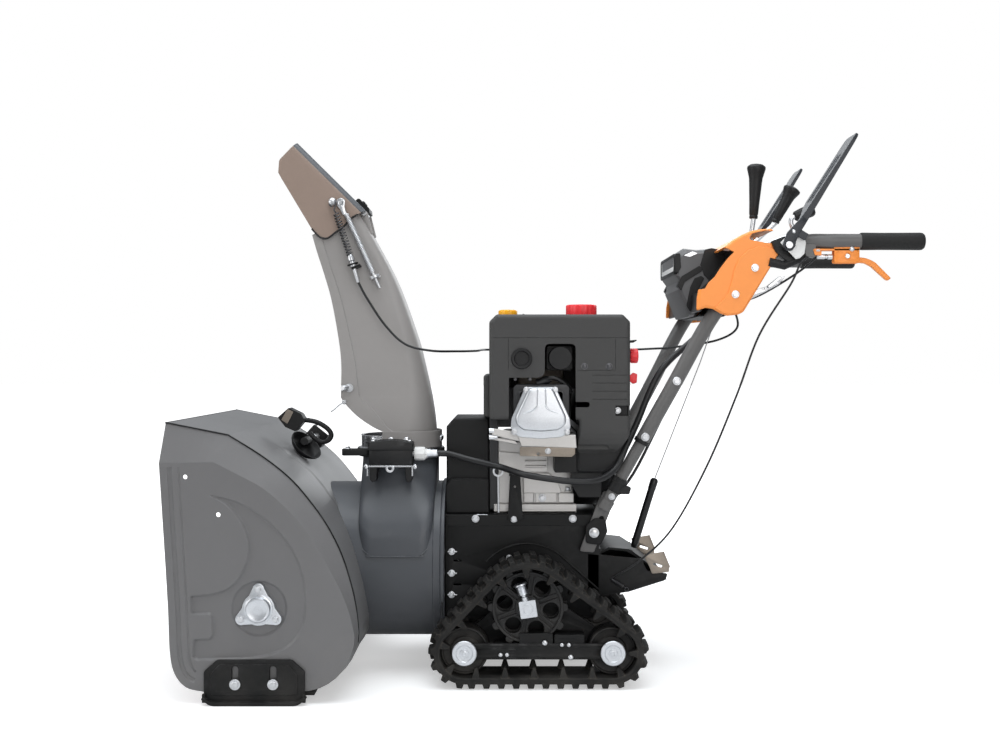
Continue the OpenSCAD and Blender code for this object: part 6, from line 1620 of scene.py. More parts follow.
def rubber_track():
    band = plate(band_loop(BAND), [band_loop(0)], TRACK_IN, TRACK_OUT, edge=2.4)
    count, guides = round(track_length(BAND) / 29.5), round(track_length(0) / 59)
    middle = (TRACK_IN + TRACK_OUT) / 2
    shapes = [band]
    for i in range(count):
        s = i / count * track_length(BAND)
        shapes.append(lug(s + 0.05 * 29.5, BAND - 1, middle + 3, TRACK_IN, 9.2, 5.6, LUG + 0.9, 3.0))
        shapes.append(lug(s + 0.55 * 29.5, BAND - 1, middle - 3, TRACK_OUT, 9.2, 5.6, LUG + 0.9, -3.0))
    for i in range(guides):
        s = (i + 0.4) / guides * track_length(0)
        for y in (TRACK_IN + 1, TRACK_OUT - 24):
            x, z, angle = track_at(s, 0)
            out = Vector((cos(radians(angle)), 0, sin(radians(angle))))
            along = Vector((-out.z, 0, out.x))
            rings = []
            for deep, half, inset in ((-2, 8.5, 0), (5, 6.4, 1), (17, 3.0, 5), (19, 1.6, 7)):
                c = Vector((x, 0, z)) - out * deep
                rings.append([Vector((c.x, 0, c.z)) + along * sx * half + Y * (y + inset + (23 - 2 * inset) * sy)
                    for sx, sy in ((-1, 0), (1, 0), (1, 1), (-1, 1))])
            shapes.append(loft(rings))
    return shapes


track_shapes = rubber_track()
for side, word in SIDES:
    piece(f"rubber_track_{word}", on_side(side, track_shapes), "track_unit", "track_rubber", 1.1, replaces="tracks",
        sharp=36)
WHEEL_IN, WHEEL_OUT = TRACK_IN + 26, TRACK_OUT - 26


def idler_wheel(at):
    """Two rubber-edged discs on a hub; the bright dust cap outside is made by dust_cap."""
    rim = IDLER_R - 0.3
    disc = [(9, -22), (14, -22), (18, -16), (rim - 9, -16), (rim - 5, -20), (rim - 2, -22), (rim, -19), (rim, -3),
        (rim - 2, 0), (rim - 4, 0), (rim - 6, -3), (rim - 12, -5), (30, -6), (27, -2), (24, -1.6), (9, -1.6)]
    out = [spun([(r, h + WHEEL_OUT) for r, h in disc], (at.x, 0, at.z), Y, 72)]
    out += [spun([(r, -h + WHEEL_IN) for r, h in disc], (at.x, 0, at.z), Y, 72)]
    out += [round_bar(14, WHEEL_IN, WHEEL_OUT - 20, (at.x, 0, at.z), Y, 40)]
    return out


def dust_cap(at):
    cap = turned([(0, 20), (23, 20), (25, 21.5), (25, 24.5), (23.6, 26), (17, 26.4), (15.5, 25), (9, 24.6), (8.4, 27),
        (0, 27)], (at.x, WHEEL_OUT, at.z), Y, 56)
    pin = round_bar(8, -2, 21, (at.x, WHEEL_OUT, at.z), Y, 24)
    return [cap, pin, turned([(6.4, 26), (6.4, 27.8), (5.6, 28.2), (3.4, 28.2), (3, 26.6), (0, 26.6)],
        (at.x, WHEEL_OUT, at.z), Y, 6)]


for word in ("front", "rear"):
    for side, hand in SIDES:
        at = joint_at(f"{word}_{hand}_idler_spin")
        body = f"{word}_{hand}_idler"
        piece(f"idler_wheel_{word}_{hand}", on_side(side, idler_wheel(at)), body, "black_plastic",
            replaces=f"idler_{word}_{hand}", sharp=30)
        piece(f"idler_cap_{word}_{hand}", on_side(side, dust_cap(at)), body, "bright_alloy", 0.3)


def drive_wheel():
    centre = (AXLE.x, AXLE.z)
    holes = [(AXLE.x + 47 * cos(radians(a)), AXLE.z + 47 * sin(radians(a)), 16.5) for a in range(-9, 351, 60)]
    shapes = []
    for y0, y1 in ((WHEEL_OUT - 10, WHEEL_OUT - 5), (WHEEL_IN + 5, WHEEL_IN + 10)):
        shapes.append(plate(arc(centre, 70, 0, 356, 89), holes + [(*centre, 12.6)], y0, y1, edge=0.8))
    for a in range(21, 381, 60):
        for shift in (-4.6, 4.6):
            arm = slab([(AXLE.x + 17, AXLE.z + shift - 1.6), (AXLE.x + 62, AXLE.z + shift - 1.6),
                (AXLE.x + 62, AXLE.z + shift + 1.6), (AXLE.x + 17, AXLE.z + shift + 1.6)], WHEEL_OUT - 8,
                WHEEL_OUT - 1)
            shapes.append(turned_by(arm, -a, "Y", (AXLE.x, 0, AXLE.z)))
    for y0, y1 in ((WHEEL_OUT - 14, WHEEL_OUT), (WHEEL_IN, WHEEL_IN + 14)):
        shapes.append(spun([(66, y0), (71, y0), (72, y0 + 1), (72, y1 - 1), (71, y1), (67, y1), (66, y1 - 1),
            (66, y0 + 1)], (AXLE.x, 0, AXLE.z), Y, 72))
        for k in range(12):
            tooth = slab(rounded_loop([(AXLE.x + 69, AXLE.z - 9), (AXLE.x + 78, AXLE.z - 7),
                (AXLE.x + 80.5, AXLE.z - 4), (AXLE.x + 80.5, AXLE.z + 4), (AXLE.x + 78, AXLE.z + 7),
                (AXLE.x + 69, AXLE.z + 9)], 1.5, 2), y0 + 1, y1 - 1)
            shapes.append(turned_by(tooth, 30 * k, "Y", (AXLE.x, 0, AXLE.z)))
    shapes.append(spun([(12.6, WHEEL_IN), (24, WHEEL_IN), (26, WHEEL_IN + 2), (26, WHEEL_OUT - 2), (24, WHEEL_OUT),
        (12.6, WHEEL_OUT)], (AXLE.x, 0, AXLE.z), Y, 48))
    return shapes


def hub_lock():
    """Square hub block with the sprung pull pin that couples the wheel to the axle."""
    out = WHEEL_OUT
    lock = [slab(rounded_loop([(AXLE.x - 17, AXLE.z - 17), (AXLE.x + 17, AXLE.z - 17), (AXLE.x + 17, AXLE.z + 17),
        (AXLE.x - 17, AXLE.z + 17)], 2, 2), out - 1, out + 19)]
    lock = [turned_by(s, -8, "Y", (AXLE.x, 0, AXLE.z)) for s in lock]
    lock.append(turned([(0, 0), (11, 0), (11, 1.6), (9, 1.6), (9, 0.6), (0, 0.6)][::-1], (AXLE.x, out + 19, AXLE.z),
        Y, 32))
    up = Vector((-sin(radians(18)), 0, cos(radians(18))))
    at = Vector((AXLE.x, out + 10, AXLE.z))
    lock.append(turned([(0, 12), (7, 12), (7, 24), (5, 25), (5, 29), (0, 29)], at, up, 24))
    knob = [(0, 29), (9, 29)] + [(10.6 if k % 2 else 9.6, 29.6 + 1.15 * k) for k in range(15)]
    lock.append(turned(knob + [(11.5, 47), (14, 49.5), (13, 52.4), (0, 52.8)], at, up, 32))
    return lock


WHEEL, LOCK = drive_wheel(), hub_lock()
for side, word in SIDES:
    piece(f"drive_wheel_{word}", on_side(side, WHEEL), "axle", "black_plastic", 0.6, replaces="drive_wheels",
        sharp=34)
    piece(f"hub_lock_{word}", on_side(side, LOCK), "axle", "bright_alloy", 0.6, replaces="drive_axle", sharp=30)
piece("drive_axle_bar", [round_bar(12.5, -WHEEL_OUT, WHEEL_OUT, (AXLE.x, 0, AXLE.z), Y, 40)], "axle", "steel", 0.4)


def track_frame():
    """Inner triangular plate, outer beam and the blocks that carry the idler pins."""
    low = FRONT_IDLER.z
    hull = arc((REAR_IDLER.x, low), 16, -90, 40, 8) + arc((AXLE.x, AXLE.z), 38, 45, 135, 10)
    hull += arc((FRONT_IDLER.x, low), 16, 140, 270, 8)
    holes = [(FRONT_IDLER.x, low, 8.1), (REAR_IDLER.x, low, 8.1), (AXLE.x, AXLE.z, 12.7)]
    y0, y1 = TRACK_IN + 18, TRACK_OUT - 23
    shapes = [plate(hull, holes, y0, y0 + 5, edge=0.9)]
    beam = arc((REAR_IDLER.x, low), 16, -90, 90, 10) + arc((FRONT_IDLER.x, low), 16, 90, 270, 10)
    shapes.append(plate(beam, [(FRONT_IDLER.x, low, 8.1), (REAR_IDLER.x, low, 8.1)], y1, y1 + 5, edge=0.9))
    shapes.append(block(AXLE.x - 54, AXLE.x + 92, y0 + 5, y1 + 1, low - 16, low - 4))
    for x0, x1, z1 in ((-108, -61, 88), (-58, 9, 108), (12, 72, 106)):
        shapes.append(slab(rounded_loop([(x0, low - 15), (x1, low - 15), (x1, z1), (x0, z1)], 2.5, 2), y1 - 34,
            y1 + 1.5))
    shapes.append(slab(rounded_loop([(12, low + 26), (72, low + 26), (72, low + 33), (12, low + 33)], 1.5, 2),
        y1 - 30, y1 + 4))
    shapes.append(slab([(-104, 72), (-66, 72), (-66, 77), (-104, 77)], y1, y1 + 5.8))
    return shapes


def frame_screws():
    y = TRACK_OUT - 18
    made = []
    for x, z, r in ((-96, 66, 4.4), (-83, 66, 4.4), (-7.5, 90, 5.4), (27, 86, 4.2), (41, 86, 4.2), (44.5, 61, 5.4)):
        made += dome_bolt((x, y, z), (0, 1, 0), r, 3.6)
    return made + [turned([(0, 0), (5, 0), (5, 3), (3.6, 5), (0, 5.4)], (-58, TRACK_IN + 23, 211 - 22), (0, 1, 0),
        20)]


FRAME, SCREWS = track_frame(), frame_screws()
for side, word in SIDES:
    piece(f"track_frame_{word}", on_side(side, FRAME), "track_unit", "black_coat", 0.7, replaces="track_frames")
    piece(f"frame_screws_{word}", on_side(side, SCREWS), "track_unit", "zinc")
piece("frame_cross_tube", [round_bar(10, -160, 160, (60, 0, FRONT_IDLER.z + 12), Y, 28)], "track_unit", "black_coat")

# ---------------------------------------------------------------- chassis and rear tray
CH_LOW, CH_HIGH = corners("chassis")
CF, CB, CY = CH_LOW.x, CH_HIGH.x, CH_HIGH.y
side_loop = rounded_loop([(CF, 120), (CB, 120), (CB, DECK - 4), (CB - 6, DECK), (CF, DECK)], [3, 3, 3, 3, 2], 3)
slots = [slot_loop(CF + 26, z, 16, 3.4, 0) for z in (237, 187)]
sides = plate(side_loop, [(AXLE.x, AXLE.z, 13.2), *slots], CY - 3, CY, edge=0.9)
deck_holes = [rectangle(-192, -160, -78, 78, 8)]
deck = plate(rectangle(CF, CB, -CY, CY, 4), deck_holes, DECK - 3, DECK, "xy", edge=0.9)
front_plate = plate(rectangle(-CY, CY, 118, DECK - 1, 4), [(0, DRUM_AXIS.z, 26)], CF, CF + 3, "yz", edge=0.8)
belly = plate(rectangle(CF, CB, -CY, CY, 4), [rectangle(-60, 40, -60, 60, 6)], 117, 120, "xy", edge=0.8)
flange = slab([(CF + 4, DECK - 1), (CB - 8, DECK - 1), (CB - 8, DECK - 24), (CF + 4, DECK - 24)], CY - 0.5, CY + 1.2)
piece("chassis_box", [sides, mirrored(sides), deck, front_plate, belly], "machine", "black_coat", replaces="chassis")
piece("deck_flange", both_sides(flange), "machine", "black_coat", 0.6)
rim = arc((AXLE.x, AXLE.z), 114, 138, 44, 16) + [(CB - 2, 178)]
piece("fender_lip", both_sides(pipe([(x, CY + 1.5, z) for x, z in rim], 2.2, 8)), "machine", "black_coat")
bolts = []
for x in (CF + 64, -68, 55):
    bolts += both_sides(*hex_bolt((x, CY + 1.2, DECK - 9), Y, 11.5, 5.4, 8.2))
for z in (256, 211, 166):
    bolts += both_sides(*hex_bolt((CF + 14, CY, z), Y, 9, 4.6, 7.4),
        pipe([(CF + 5, CY + 2, z), (CF + 25, CY + 2, z)], 1.6, 8))
bolts += both_sides(*hex_bolt((-78, CY + 1, 243), Y, 9, 4.6, 6.6))
piece("chassis_bolts", bolts, "machine", "zinc", 0.3, replaces="fasteners")
TB = corners("rear_tray")[1].x - 2
tray_side = rounded_loop([(CB - 24, 252), (CB + 91, 241), (CB + 94, 229), (CB + 101, 216), (TB, 210), (TB - 6, 196),
    (CB + 62, 172), (CB - 24, 160)], [2, 3, 3, 4, 4, 6, 8, 2], 3)
tray = plate(tray_side, [], CY - 3, CY, edge=0.9)
tray_floor = [slab([(CB - 2, 169), (CB + 58, 171), (TB - 4, 198), (TB - 3, 202), (CB + 56, 175), (CB - 2, 173)],
    -CY + 2, CY - 2), slab([(TB - 6, 197), (TB - 2, 197), (CB + 94, 238), (CB + 90, 238)], -CY + 2, CY - 2),
    slab([(CB, 172), (CB + 4, 172), (CB + 4, 262), (CB, 262)], -CY + 2, CY - 2),
    slab([(CB + 4, 252), (CB + 22, 262), (CB + 64, 258), (CB + 92, 240), (CB + 88, 236), (CB + 60, 253),
    (CB + 24, 257), (CB + 4, 248)], -CY + 20, CY - 20)]
piece("rear_tray_sheet", [tray, mirrored(tray), *tray_floor], "machine", "black_coat", 0.4, replaces="rear_tray")
wing = rounded_loop([(TB - 52, 249), (TB - 12, 256), (TB + 2, 224), (TB + 2, 214), (TB - 34, 210), (TB - 40, 226)],
    [2, 3, 3, 3, 4, 6], 3)
wings = plate(wing, [slot_loop(TB - 22, 228, 20, 5, -18)], CY, CY + 3, edge=0.7)
lip = slab([(TB - 12, 256), (TB - 9, 257), (TB + 4, 225), (TB + 2, 222)], CY + 1, CY + 3)
piece("tray_brackets", both_sides(wings, lip), "machine", "muffler_steel", 0.3)

# ---------------------------------------------------------------- lower handle tubes
TUBE_AT = Vector((124, -140, 361))
TUBE_ON = Vector((0.4775, -0.1018, 0.8728)).normalized()


def on_tube(t):
    return TUBE_AT + TUBE_ON * t


ear = rounded_loop([(80, 276), (112, 272), (126, 300), (122, 326), (98, 328), (82, 312)], 9, 4)
flat_bar = rounded_loop([(68, 258), (98, 256), (136, 352), (146, 378), (118, 384), (108, 366)], 5, 3)
low_shapes = [pipe([on_tube(-12), on_tube(208)], 12.4, 28), plate(flat_bar, [(114, 327, 5)], -128, -122, edge=1.2),
    pipe([on_tube(-14), on_tube(6)], 14.2, 28)]
piece("lower_tubes", both_sides(*low_shapes), "machine", "tube_coat", 0.4, replaces="lower_handles", sharp=34)
piece("tube_ears", both_sides(plate(ear, [], -133, -128, edge=1.4), slab(flat_bar, -122, -CY)), "machine",
    "black_coat")
collars = [pipe([on_tube(28), on_tube(54)], 15.6, 28), pipe([on_tube(48), on_tube(60)], 17.2, 28),
    slab(rounded_loop([(on_tube(40).x - 4, on_tube(40).z - 16), (on_tube(40).x + 26, on_tube(40).z - 16),
    (on_tube(40).x + 30, on_tube(40).z - 2), (on_tube(40).x + 2, on_tube(40).z + 6)], 3, 3), on_tube(40).y - 10,
    on_tube(40).y + 8)]
piece("tube_collars", both_sides(*collars), "machine", "black_plastic", 0.8, sharp=34)
tube_bolts = both_sides(*hex_bolt((98, -133, 298), LEFTWARD, 15, 7.5, 10.5),
    *hex_bolt(on_tube(14) + Vector((2, -13, 2)), LEFTWARD, 9, 5))
for t in (158, 289):
    tube_bolts += both_sides(*hex_bolt(on_tube(t) + Vector((0, -14.6, 0)), LEFTWARD, 12, 6, 8.6))
piece("tube_bolts", tube_bolts, "machine", "zinc", 0.3)


# ---------------------------------------------------------------- handlebars and grips
GRIP_LOW, GRIP_HIGH = corners("grips")
BAR_Z, BAR_Y = (GRIP_LOW.z + GRIP_HIGH.z) / 2, GRIP_HIGH.y - 17.5
bar = [on_tube(148), on_tube(272), (336, -0.813 * BAR_Y, BAR_Z - 144), (417, -0.874 * BAR_Y, BAR_Z - 49),
    (466, -0.893 * BAR_Y, BAR_Z - 12), (515, -0.955 * BAR_Y, BAR_Z), (560, -BAR_Y, BAR_Z), (604, -BAR_Y, BAR_Z),
    (GRIP_HIGH.x - 4, -BAR_Y, BAR_Z)]
piece("handle_tubes", both_sides(pipe(smooth_route(bar, 8), 15, 28)), "machine", "tube_coat", replaces="handlebars",
    sharp=50)
sleeve = pipe([on_tube(143), on_tube(151)], 16.2, 28)
piece("tube_end_rings", both_sides(sleeve), "machine", "black_plastic", 0.5)
GX = GRIP_LOW.x
grip = [(15.2, GX), (16.6, GX), (17.3, GX + 1.5), (17.5, GX + 4), (17.1, GX + 40), (17.3, GX + 90), (17.5, GX + 118),
    (16.9, GX + 122.5), (14.5, GX + 125.6), (9, GX + 126.8), (0, GX + 127)]
piece("foam_grips", both_sides(turned([(0.01, GX + 0.4), *grip], (0, -BAR_Y, BAR_Z), X, 40)), "machine",
    "grip_rubber", replaces="grips", sharp=50)
hanger = rounded_loop([(505, BAR_Z - 6), (531, BAR_Z - 6), (529, BAR_Z - 33), (511, BAR_Z - 30)], 3, 3)
piece("bar_hangers", both_sides(slab(hanger, -BAR_Y - 6, -BAR_Y + 10)), "machine", "tube_coat", 1.5)

# ---------------------------------------------------------------- console
CW = corners("console_cover")[1].y
hood_line = [(296, 754), (297, 780), (301, 802), (312, 830), (324, 848), (338, 868), (352, 882), (369, 896),
    (386, 906), (404, 914), (424, 918), (449, 919), (464, 873), (390, 751), (378, 746), (357, 744), (345, 748),
    (328, 758), (314, 760)]
cover = piece("console_shell", [slab(hood_line, -CW + 3, CW - 3)], "machine", "orange_plastic", 5.5,
    replaces="console_cover", sharp=30, segments=3)
use_modifiers(cover)
inner = [(300, 730), (300, 780), (305, 802), (316, 829), (328, 847), (342, 866), (355, 879), (371, 892), (387, 902),
    (405, 910), (424, 914), (446, 915), (500, 915), (500, 850), (420, 730)]
lamp_room = [(260, 748), (260, 880), (289, 894.5), (344, 893), (393, 885), (373, 850), (333, 802), (317, 744),
    (290, 740)]
eye = rounded_loop([(399, 897), (407, 909), (430, 914.5), (480, 914.5), (480, 888), (436, 890)], [7, 5, 3, 1, 1, 6],
    4)
bite = [(280, 797), (299, 796.5), (313, 799), (320, 811), (332, 822), (345, 842), (359, 860), (371, 872), (350, 883),
    (330, 892), (280, 892)]
front = [(280, 740), (306, 740), (306, 800), (330, 800), (330, 830), (350, 850), (368, 873), (350, 883), (280, 884)]
cut(cover, [slab(bite, -CW - 5, CW + 5), slab(front, -CW + 9, CW - 9), slab(inner, -CW + 7, CW - 7),
    slab(lamp_room, -105.6, 105.6), slab(eye, -CW - 5, -CW + 40), slab(eye, CW - 40, CW + 5),
    block(420, 500, -81, -59, 890, 940), block(424, 500, 60, 90, 890, 940)])
even_out(cover, 30)
edge_line = [(303, 755), (305, 793), (318, 796), (326, 808), (338, 818.5), (351, 838), (365, 856), (377, 868),
    (372, 880)]
mask = edge_line + [(x + 3.5, z - 1) for x, z in edge_line[::-1]]
console_mask = piece("console_mask", [slab(mask, -CW + 7.5, CW - 7.5)], "machine", "soft_black", 0.6, sharp=30)
cut(console_mask, [slab(lamp_room, -105.6, 105.6)])
bulge = rounded_loop([(419, 883), (398, 875), (380, 858), (371, 838), (365, 811), (358, 790), (346, 774), (331, 760),
    (347, 750), (359, 747), (377, 749), (388, 756), (461, 872), (440, 881)],
    [10, 14, 14, 16, 20, 16, 12, 4, 5, 6, 6, 6, 3, 10], 4)
piece("console_cheeks", both_sides(slab(bulge, CW - 4, CW)), "machine", "orange_plastic", 2.6, sharp=30, segments=3)
screws = []
for x, z in ((373, 787), (412, 840)):
    screws += both_sides(*hex_bolt((x, CW, z), Y, 11, 4.5, 8))
piece("console_screws", screws, "machine", "zinc", 0.3)
rear = slab([(364, 754), (372, 748), (462, 869), (456, 876)], -CW + 8, CW - 8)
floor_plate = plate(rectangle(320, 372, -118, 118, 5), [(364, -60, 2), (352, -130, 3.6)], 747, 751, "xy", edge=0.6)
hooks = [slab([(416, BAR_Z - 34), (420, BAR_Z - 18), (434, BAR_Z - 22), (457, BAR_Z - 22), (444, BAR_Z - 43)], y,
    y + 5) for y in (-110, -20, 14, 104)]
cross = round_bar(5.9, -112, 112, (425, 0, BAR_Z - 30), Y, 24)
post = slab([(419, BAR_Z - 32), (434, BAR_Z - 34), (461, BAR_Z - 6), (457, BAR_Z + 18), (445, BAR_Z + 13),
    (437, BAR_Z - 6)], -13, 13)
piece("console_pan", [rear, floor_plate, *hooks], "machine", "black_plastic", 0.5, replaces="console_frame")
piece("lever_rail", [cross], "machine", "steel", 0.4)
piece("crank_post", [post], "machine", "black_plastic", 1.2)
under = [(398, 783), (426, 800), (446, 806), (470, 826), (484, 826), (474, 812), (446, 796), (414, 780)]
piece("cable_rail", both_sides(plate(under, [(440, 801, 2), (462, 815, 2)], -176, -172, edge=0.5),
    slab([(446, 806), (470, 826), (474, 822), (448, 802)], -190, -172)), "machine", "zinc", 0.3)
yoke = rounded_loop([(444, 893), (470, 903), (500, 860), (490, 846), (466, 858), (452, 872)], 4, 3)
piece("pivot_yokes", both_sides(plate(yoke, [], -BAR_Y + 1, -BAR_Y + 15, edge=1.2),
    pipe([(440, -BAR_Y + 8, 852), (470, -BAR_Y + 8, 845), (512, -BAR_Y + 10, 864)], 9, 14)), "machine",
    "black_plastic", 1.0)
dial = rounded_loop([(459, 889), (468, 898), (481, 904.5), (494, 908), (505, 909), (510, 888), (507, 867), (498, 858),
    (490, 856)], [2, 1, 1, 1, 2, 1, 3, 3, 3], 3)
piece("paddle_dials", both_sides(plate(dial, [], -BAR_Y - 8, -BAR_Y - 6, edge=0.5)), "machine", "white_plastic")
ticks = []
for k, a in enumerate(range(66, 156, 11)):
    r0, r1 = 34, 39 if k % 2 else 42
    c, s = cos(radians(a)), sin(radians(a))
    ticks.append(slab([(487 + r0 * c - 0.8 * s, 866 + r0 * s + 0.8 * c),
        (487 + r0 * c + 0.8 * s, 866 + r0 * s - 0.8 * c), (487 + r1 * c + 0.8 * s, 866 + r1 * s - 0.8 * c),
        (487 + r1 * c - 0.8 * s, 866 + r1 * s + 0.8 * c)], -BAR_Y - 8.4, -BAR_Y - 7.6))
piece("dial_ticks", both_sides(*[t for t in ticks if all(460 < p[0] < 507 and p[2] < 907 for p in t[0])]), "machine",
    "soft_black")

# ---------------------------------------------------------------- headlight
LAMP_LOW, LAMP_HIGH = corners("headlight_housing")
LW, LX = LAMP_HIGH.y, LAMP_LOW.x
full = [(LX + 1, 873), (LX + 6, 880), (290, 892), (318, 889), (344, 891), (390, 884), (372, 850), (332, 803),
    (317, 758), (312, 748), (300, 747), (288, 775), (276, 803), (279, 822), (LX + 2, 834)]
middle = Vector((322, 828))
rings = []
for y, grow in ((-LW + 1.5, 0.84), (-LW + 9, 0.95), (-LW + 22, 1.0)):
    rings.append([Vector((middle.x + (x - middle.x) * grow, y, middle.y + (z - middle.y) * grow)) for x, z in full])
rings += [[Vector((p.x, -p.y, p.z)) for p in ring] for ring in rings[::-1]]
piece("lamp_shell", [loft(rings)], "machine", "lamp_plastic", 1.0, replaces="headlight_housing", sharp=16)
back = rounded_loop([(323, 856), (327, 846), (331, 834), (342, 823), (355, 832), (374, 852), (391, 883), (347, 891),
    (333, 888)], 3, 3)
rib = rounded_loop([(275, 812), (283, 801), (291, 820), (326, 842), (328, 849), (321, 854), (284, 832)], 2, 3)
chin = rounded_loop([(325, 833), (311, 828), (302, 809), (294, 771), (301, 758), (313, 760), (318, 800), (332, 828)],
    3, 3)
step = rounded_loop([(330, 832), (319, 802), (330, 806), (345, 822), (336, 830)], 2, 3)
piece("lamp_side_panels", both_sides(slab(back, -LW, -LW + 26), slab(rib, -LW + 0.3, -LW + 20),
    slab(chin, -LW + 0.6, -LW + 20)), "machine", "black_plastic", 1.4, sharp=30)
piece("lamp_side_steps", both_sides(slab(step, -LW + 2, -LW + 20)), "machine", "lamp_plastic", 1.0)
frame_loop = rectangle(-LW + 2, LW - 2, 836, 880, 9)
piece("lamp_bezel", [plate(frame_loop, [rectangle(-LW + 10, LW - 10, 844, 873, 7)], LX, LX + 9, "yz", edge=1.4)],
    "machine", "black_plastic")
corner = rounded_loop([(LX + 4, 842), (LX + 8, 838), (LX + 15, 851), (LX + 13, 880), (LX + 4, 880)], 2, 3)
piece("lamp_corners", both_sides(slab(corner, -LW + 0.6, -LW + 8)), "machine", "black_plastic", 0.8)
piece("lamp_glass", [plate(rectangle(-LW + 8, LW - 8, 842, 875, 7), [], LX + 1.5, LX + 5, "yz", edge=1.2)], "machine",
    "white_plastic", replaces="headlight_lens")
vent = rounded_loop([(287, 875), (307, 884), (319, 880), (302, 872.5)], 1.5, 3)
piece("lamp_side_vents", both_sides(slab(vent, -LW + 0.2, -LW + 8)), "machine", "zinc", 0.4)


# ---------------------------------------------------------------- levers and crank
def lever_knob(low, high):
    """Waisted knob that flares to a flat crown."""
    low, high = Vector(low), Vector(high)
    long = (high - low).length
    shape = [(0, 0), (8, 0), (9, 1), (9, 5), (8.2, 6.4), (9.4, 9), (10.6, 0.28 * long), (12.4, 0.5 * long),
        (13.4, 0.64 * long), (14.4, 0.74 * long), (17.4, 0.84 * long), (19.6, 0.91 * long), (19.2, 0.95 * long),
        (14, 0.985 * long), (6, long), (0, long)]
    return turned(shape, low, high - low, 28)


for node, body, name, y, neck, top in (("deflector_lever", "hood_lever", "hood_lever", -70, (442, 958), (449, 1073)),
        ("speed_lever", "gear_lever", "gear_lever", 75, (522, 967), (563, 1045))):
    foot_at = Vector((425, y, BAR_Z - 30))
    low, high = Vector((neck[0], y, neck[1])), Vector((top[0], y, top[1]))
    low.z -= 1
    rod = pipe(smooth_route([foot_at + Vector((3, 0, 7)), foot_at + Vector((6, 0, 18)), low - (high - low) * 0.06,
        low], 5), 5, 14)
    boss = spun([(6.2, -7), (11, -7), (11.2, -6), (11.2, 6), (11, 7), (6.2, 7)], foot_at, Y, 32)
    piece(f"{name}_rod", [rod, boss], body, "zinc", replaces=node)
    piece(f"{name}_knob", [lever_knob(low, high)], body, "black_plastic", sharp=50)
CRANK_AT, TILT = Vector((455, 0, BAR_Z + 8)), radians(20)
cu, cv = Vector((cos(TILT), 0, sin(TILT))), Vector((-sin(TILT), 0, cos(TILT)))
crank_rod = [CRANK_AT - cu * 26, CRANK_AT + cu * 60, CRANK_AT + cu * 88, CRANK_AT + cu * 97 + cv * 8,
    CRANK_AT + cu * 99 + cv * 26, CRANK_AT + cu * 105 + cv * 33, CRANK_AT + cu * 112 + cv * 34]
piece("crank_bar", [pipe(smooth_route(crank_rod, 5), 4.9, 16)], "crank", "zinc", replaces="chute_crank")
knob = [(0, 0), (9, 0), (11, 2), (12, 8), (13.6, 18), (14, 30), (13.6, 40), (11, 45), (0, 46)]
piece("crank_knob", [turned(knob, CRANK_AT + cu * 110 + cv * 34, cu, 8)], "crank", "black_plastic", 1.6, sharp=25)
piece("crank_bush", [spun([(5.3, 0), (12, 0), (12, 5), (9, 8), (5.3, 8)], CRANK_AT + cu * 8, cu, 32)], "machine",
    "black_plastic")

# ---------------------------------------------------------------- clutch paddles
PIVOT = joint_at("left_paddle_press")
ON = Vector((138, 0, 224)).normalized()
OUT = Vector((-ON.z, 0, ON.x))
PY = corners("left_paddle")[0].y


def paddle_at(t, n, y):
    p = PIVOT + ON * t + OUT * n
    return Vector((p.x, y, p.z))


def paddle_parts():
    rings = []
    for t, n0, n1, y0, y1 in ((44, -6, 9, PY + 1, PY + 10), (60, -6, 8, PY + 0.4, PY + 16), (78, -6, 7, PY, PY + 40),
            (92, -5.8, 6.4, PY, PY + 60), (108, -5.6, 6, PY, PY + 69), (180, -4.6, 4.6, PY, PY + 70),
            (240, -3.8, 3.8, PY, PY + 70), (254, -3.4, 3.4, PY + 1.5, PY + 68.5), (260, -2.6, 2.6, PY + 5, PY + 65),
            (262, -1.4, 1.4, PY + 10, PY + 60)):
        rings.append([paddle_at(t, n, y) for n, y in ((n0, y0), (n1, y0), (n1, y1), (n0, y1))])
    blade = loft(rings)
    arm = [paddle_at(t, n, 0) for t, n in ((-12, -2), (-6, -11), (4, -12), (14, -8), (30, -6), (60, -6), (64, 7),
        (40, 12), (20, 16), (4, 13), (-8, 10))]
    arm = plate(rounded_loop([(p.x, p.z) for p in arm], 4, 3), [(PIVOT.x, PIVOT.z, 5.1)], PY, PY + 5, edge=0.9)
    ridge = [loft([[paddle_at(t, n, y) for n, y in ((-1, y0), (h, y0 + 1.5), (h, y0 + 4.5), (-1, y0 + 6))] for t,
        h in ((96, 4), (104, 7.4), (210, 5.6), (222, 3))]) for y0 in (PY + 22, PY + 42)]
    stop = loft([[paddle_at(t, n, y) for n, y in ((-22, PY + 0.5), (-5, PY + 0.5), (-5, PY + 9),
        (-22, PY + 9))] for t in (25, 39)])
    return [blade, arm, *ridge, stop]


LEFT_PADDLE = paddle_parts()
for side, word in SIDES:
    piece(f"clutch_paddle_plate_{word}", on_side(side, LEFT_PADDLE, LEFT), f"clutch_paddle_{word}", "paddle_coat",
        1.1, replaces=f"{word}_paddle", sharp=36)
    pins = dome_bolt(paddle_at(28, 6, PY), LEFTWARD, 4, 2.2)
    piece(f"paddle_rivet_{word}", on_side(side, pins, LEFT), f"clutch_paddle_{word}", "zinc")
pivot_pin = [turned([(0, PY - 4), (4, PY - 4), (5, PY - 3), (5, -BAR_Y + 3), (0, -BAR_Y + 3)], (PIVOT.x, 0, PIVOT.z),
    Y, 24)]
piece("paddle_pins", both_sides(*pivot_pin, *hex_bolt((PIVOT.x, PY - 3, PIVOT.z), LEFTWARD, 9, 3.5)), "machine",
    "zinc")

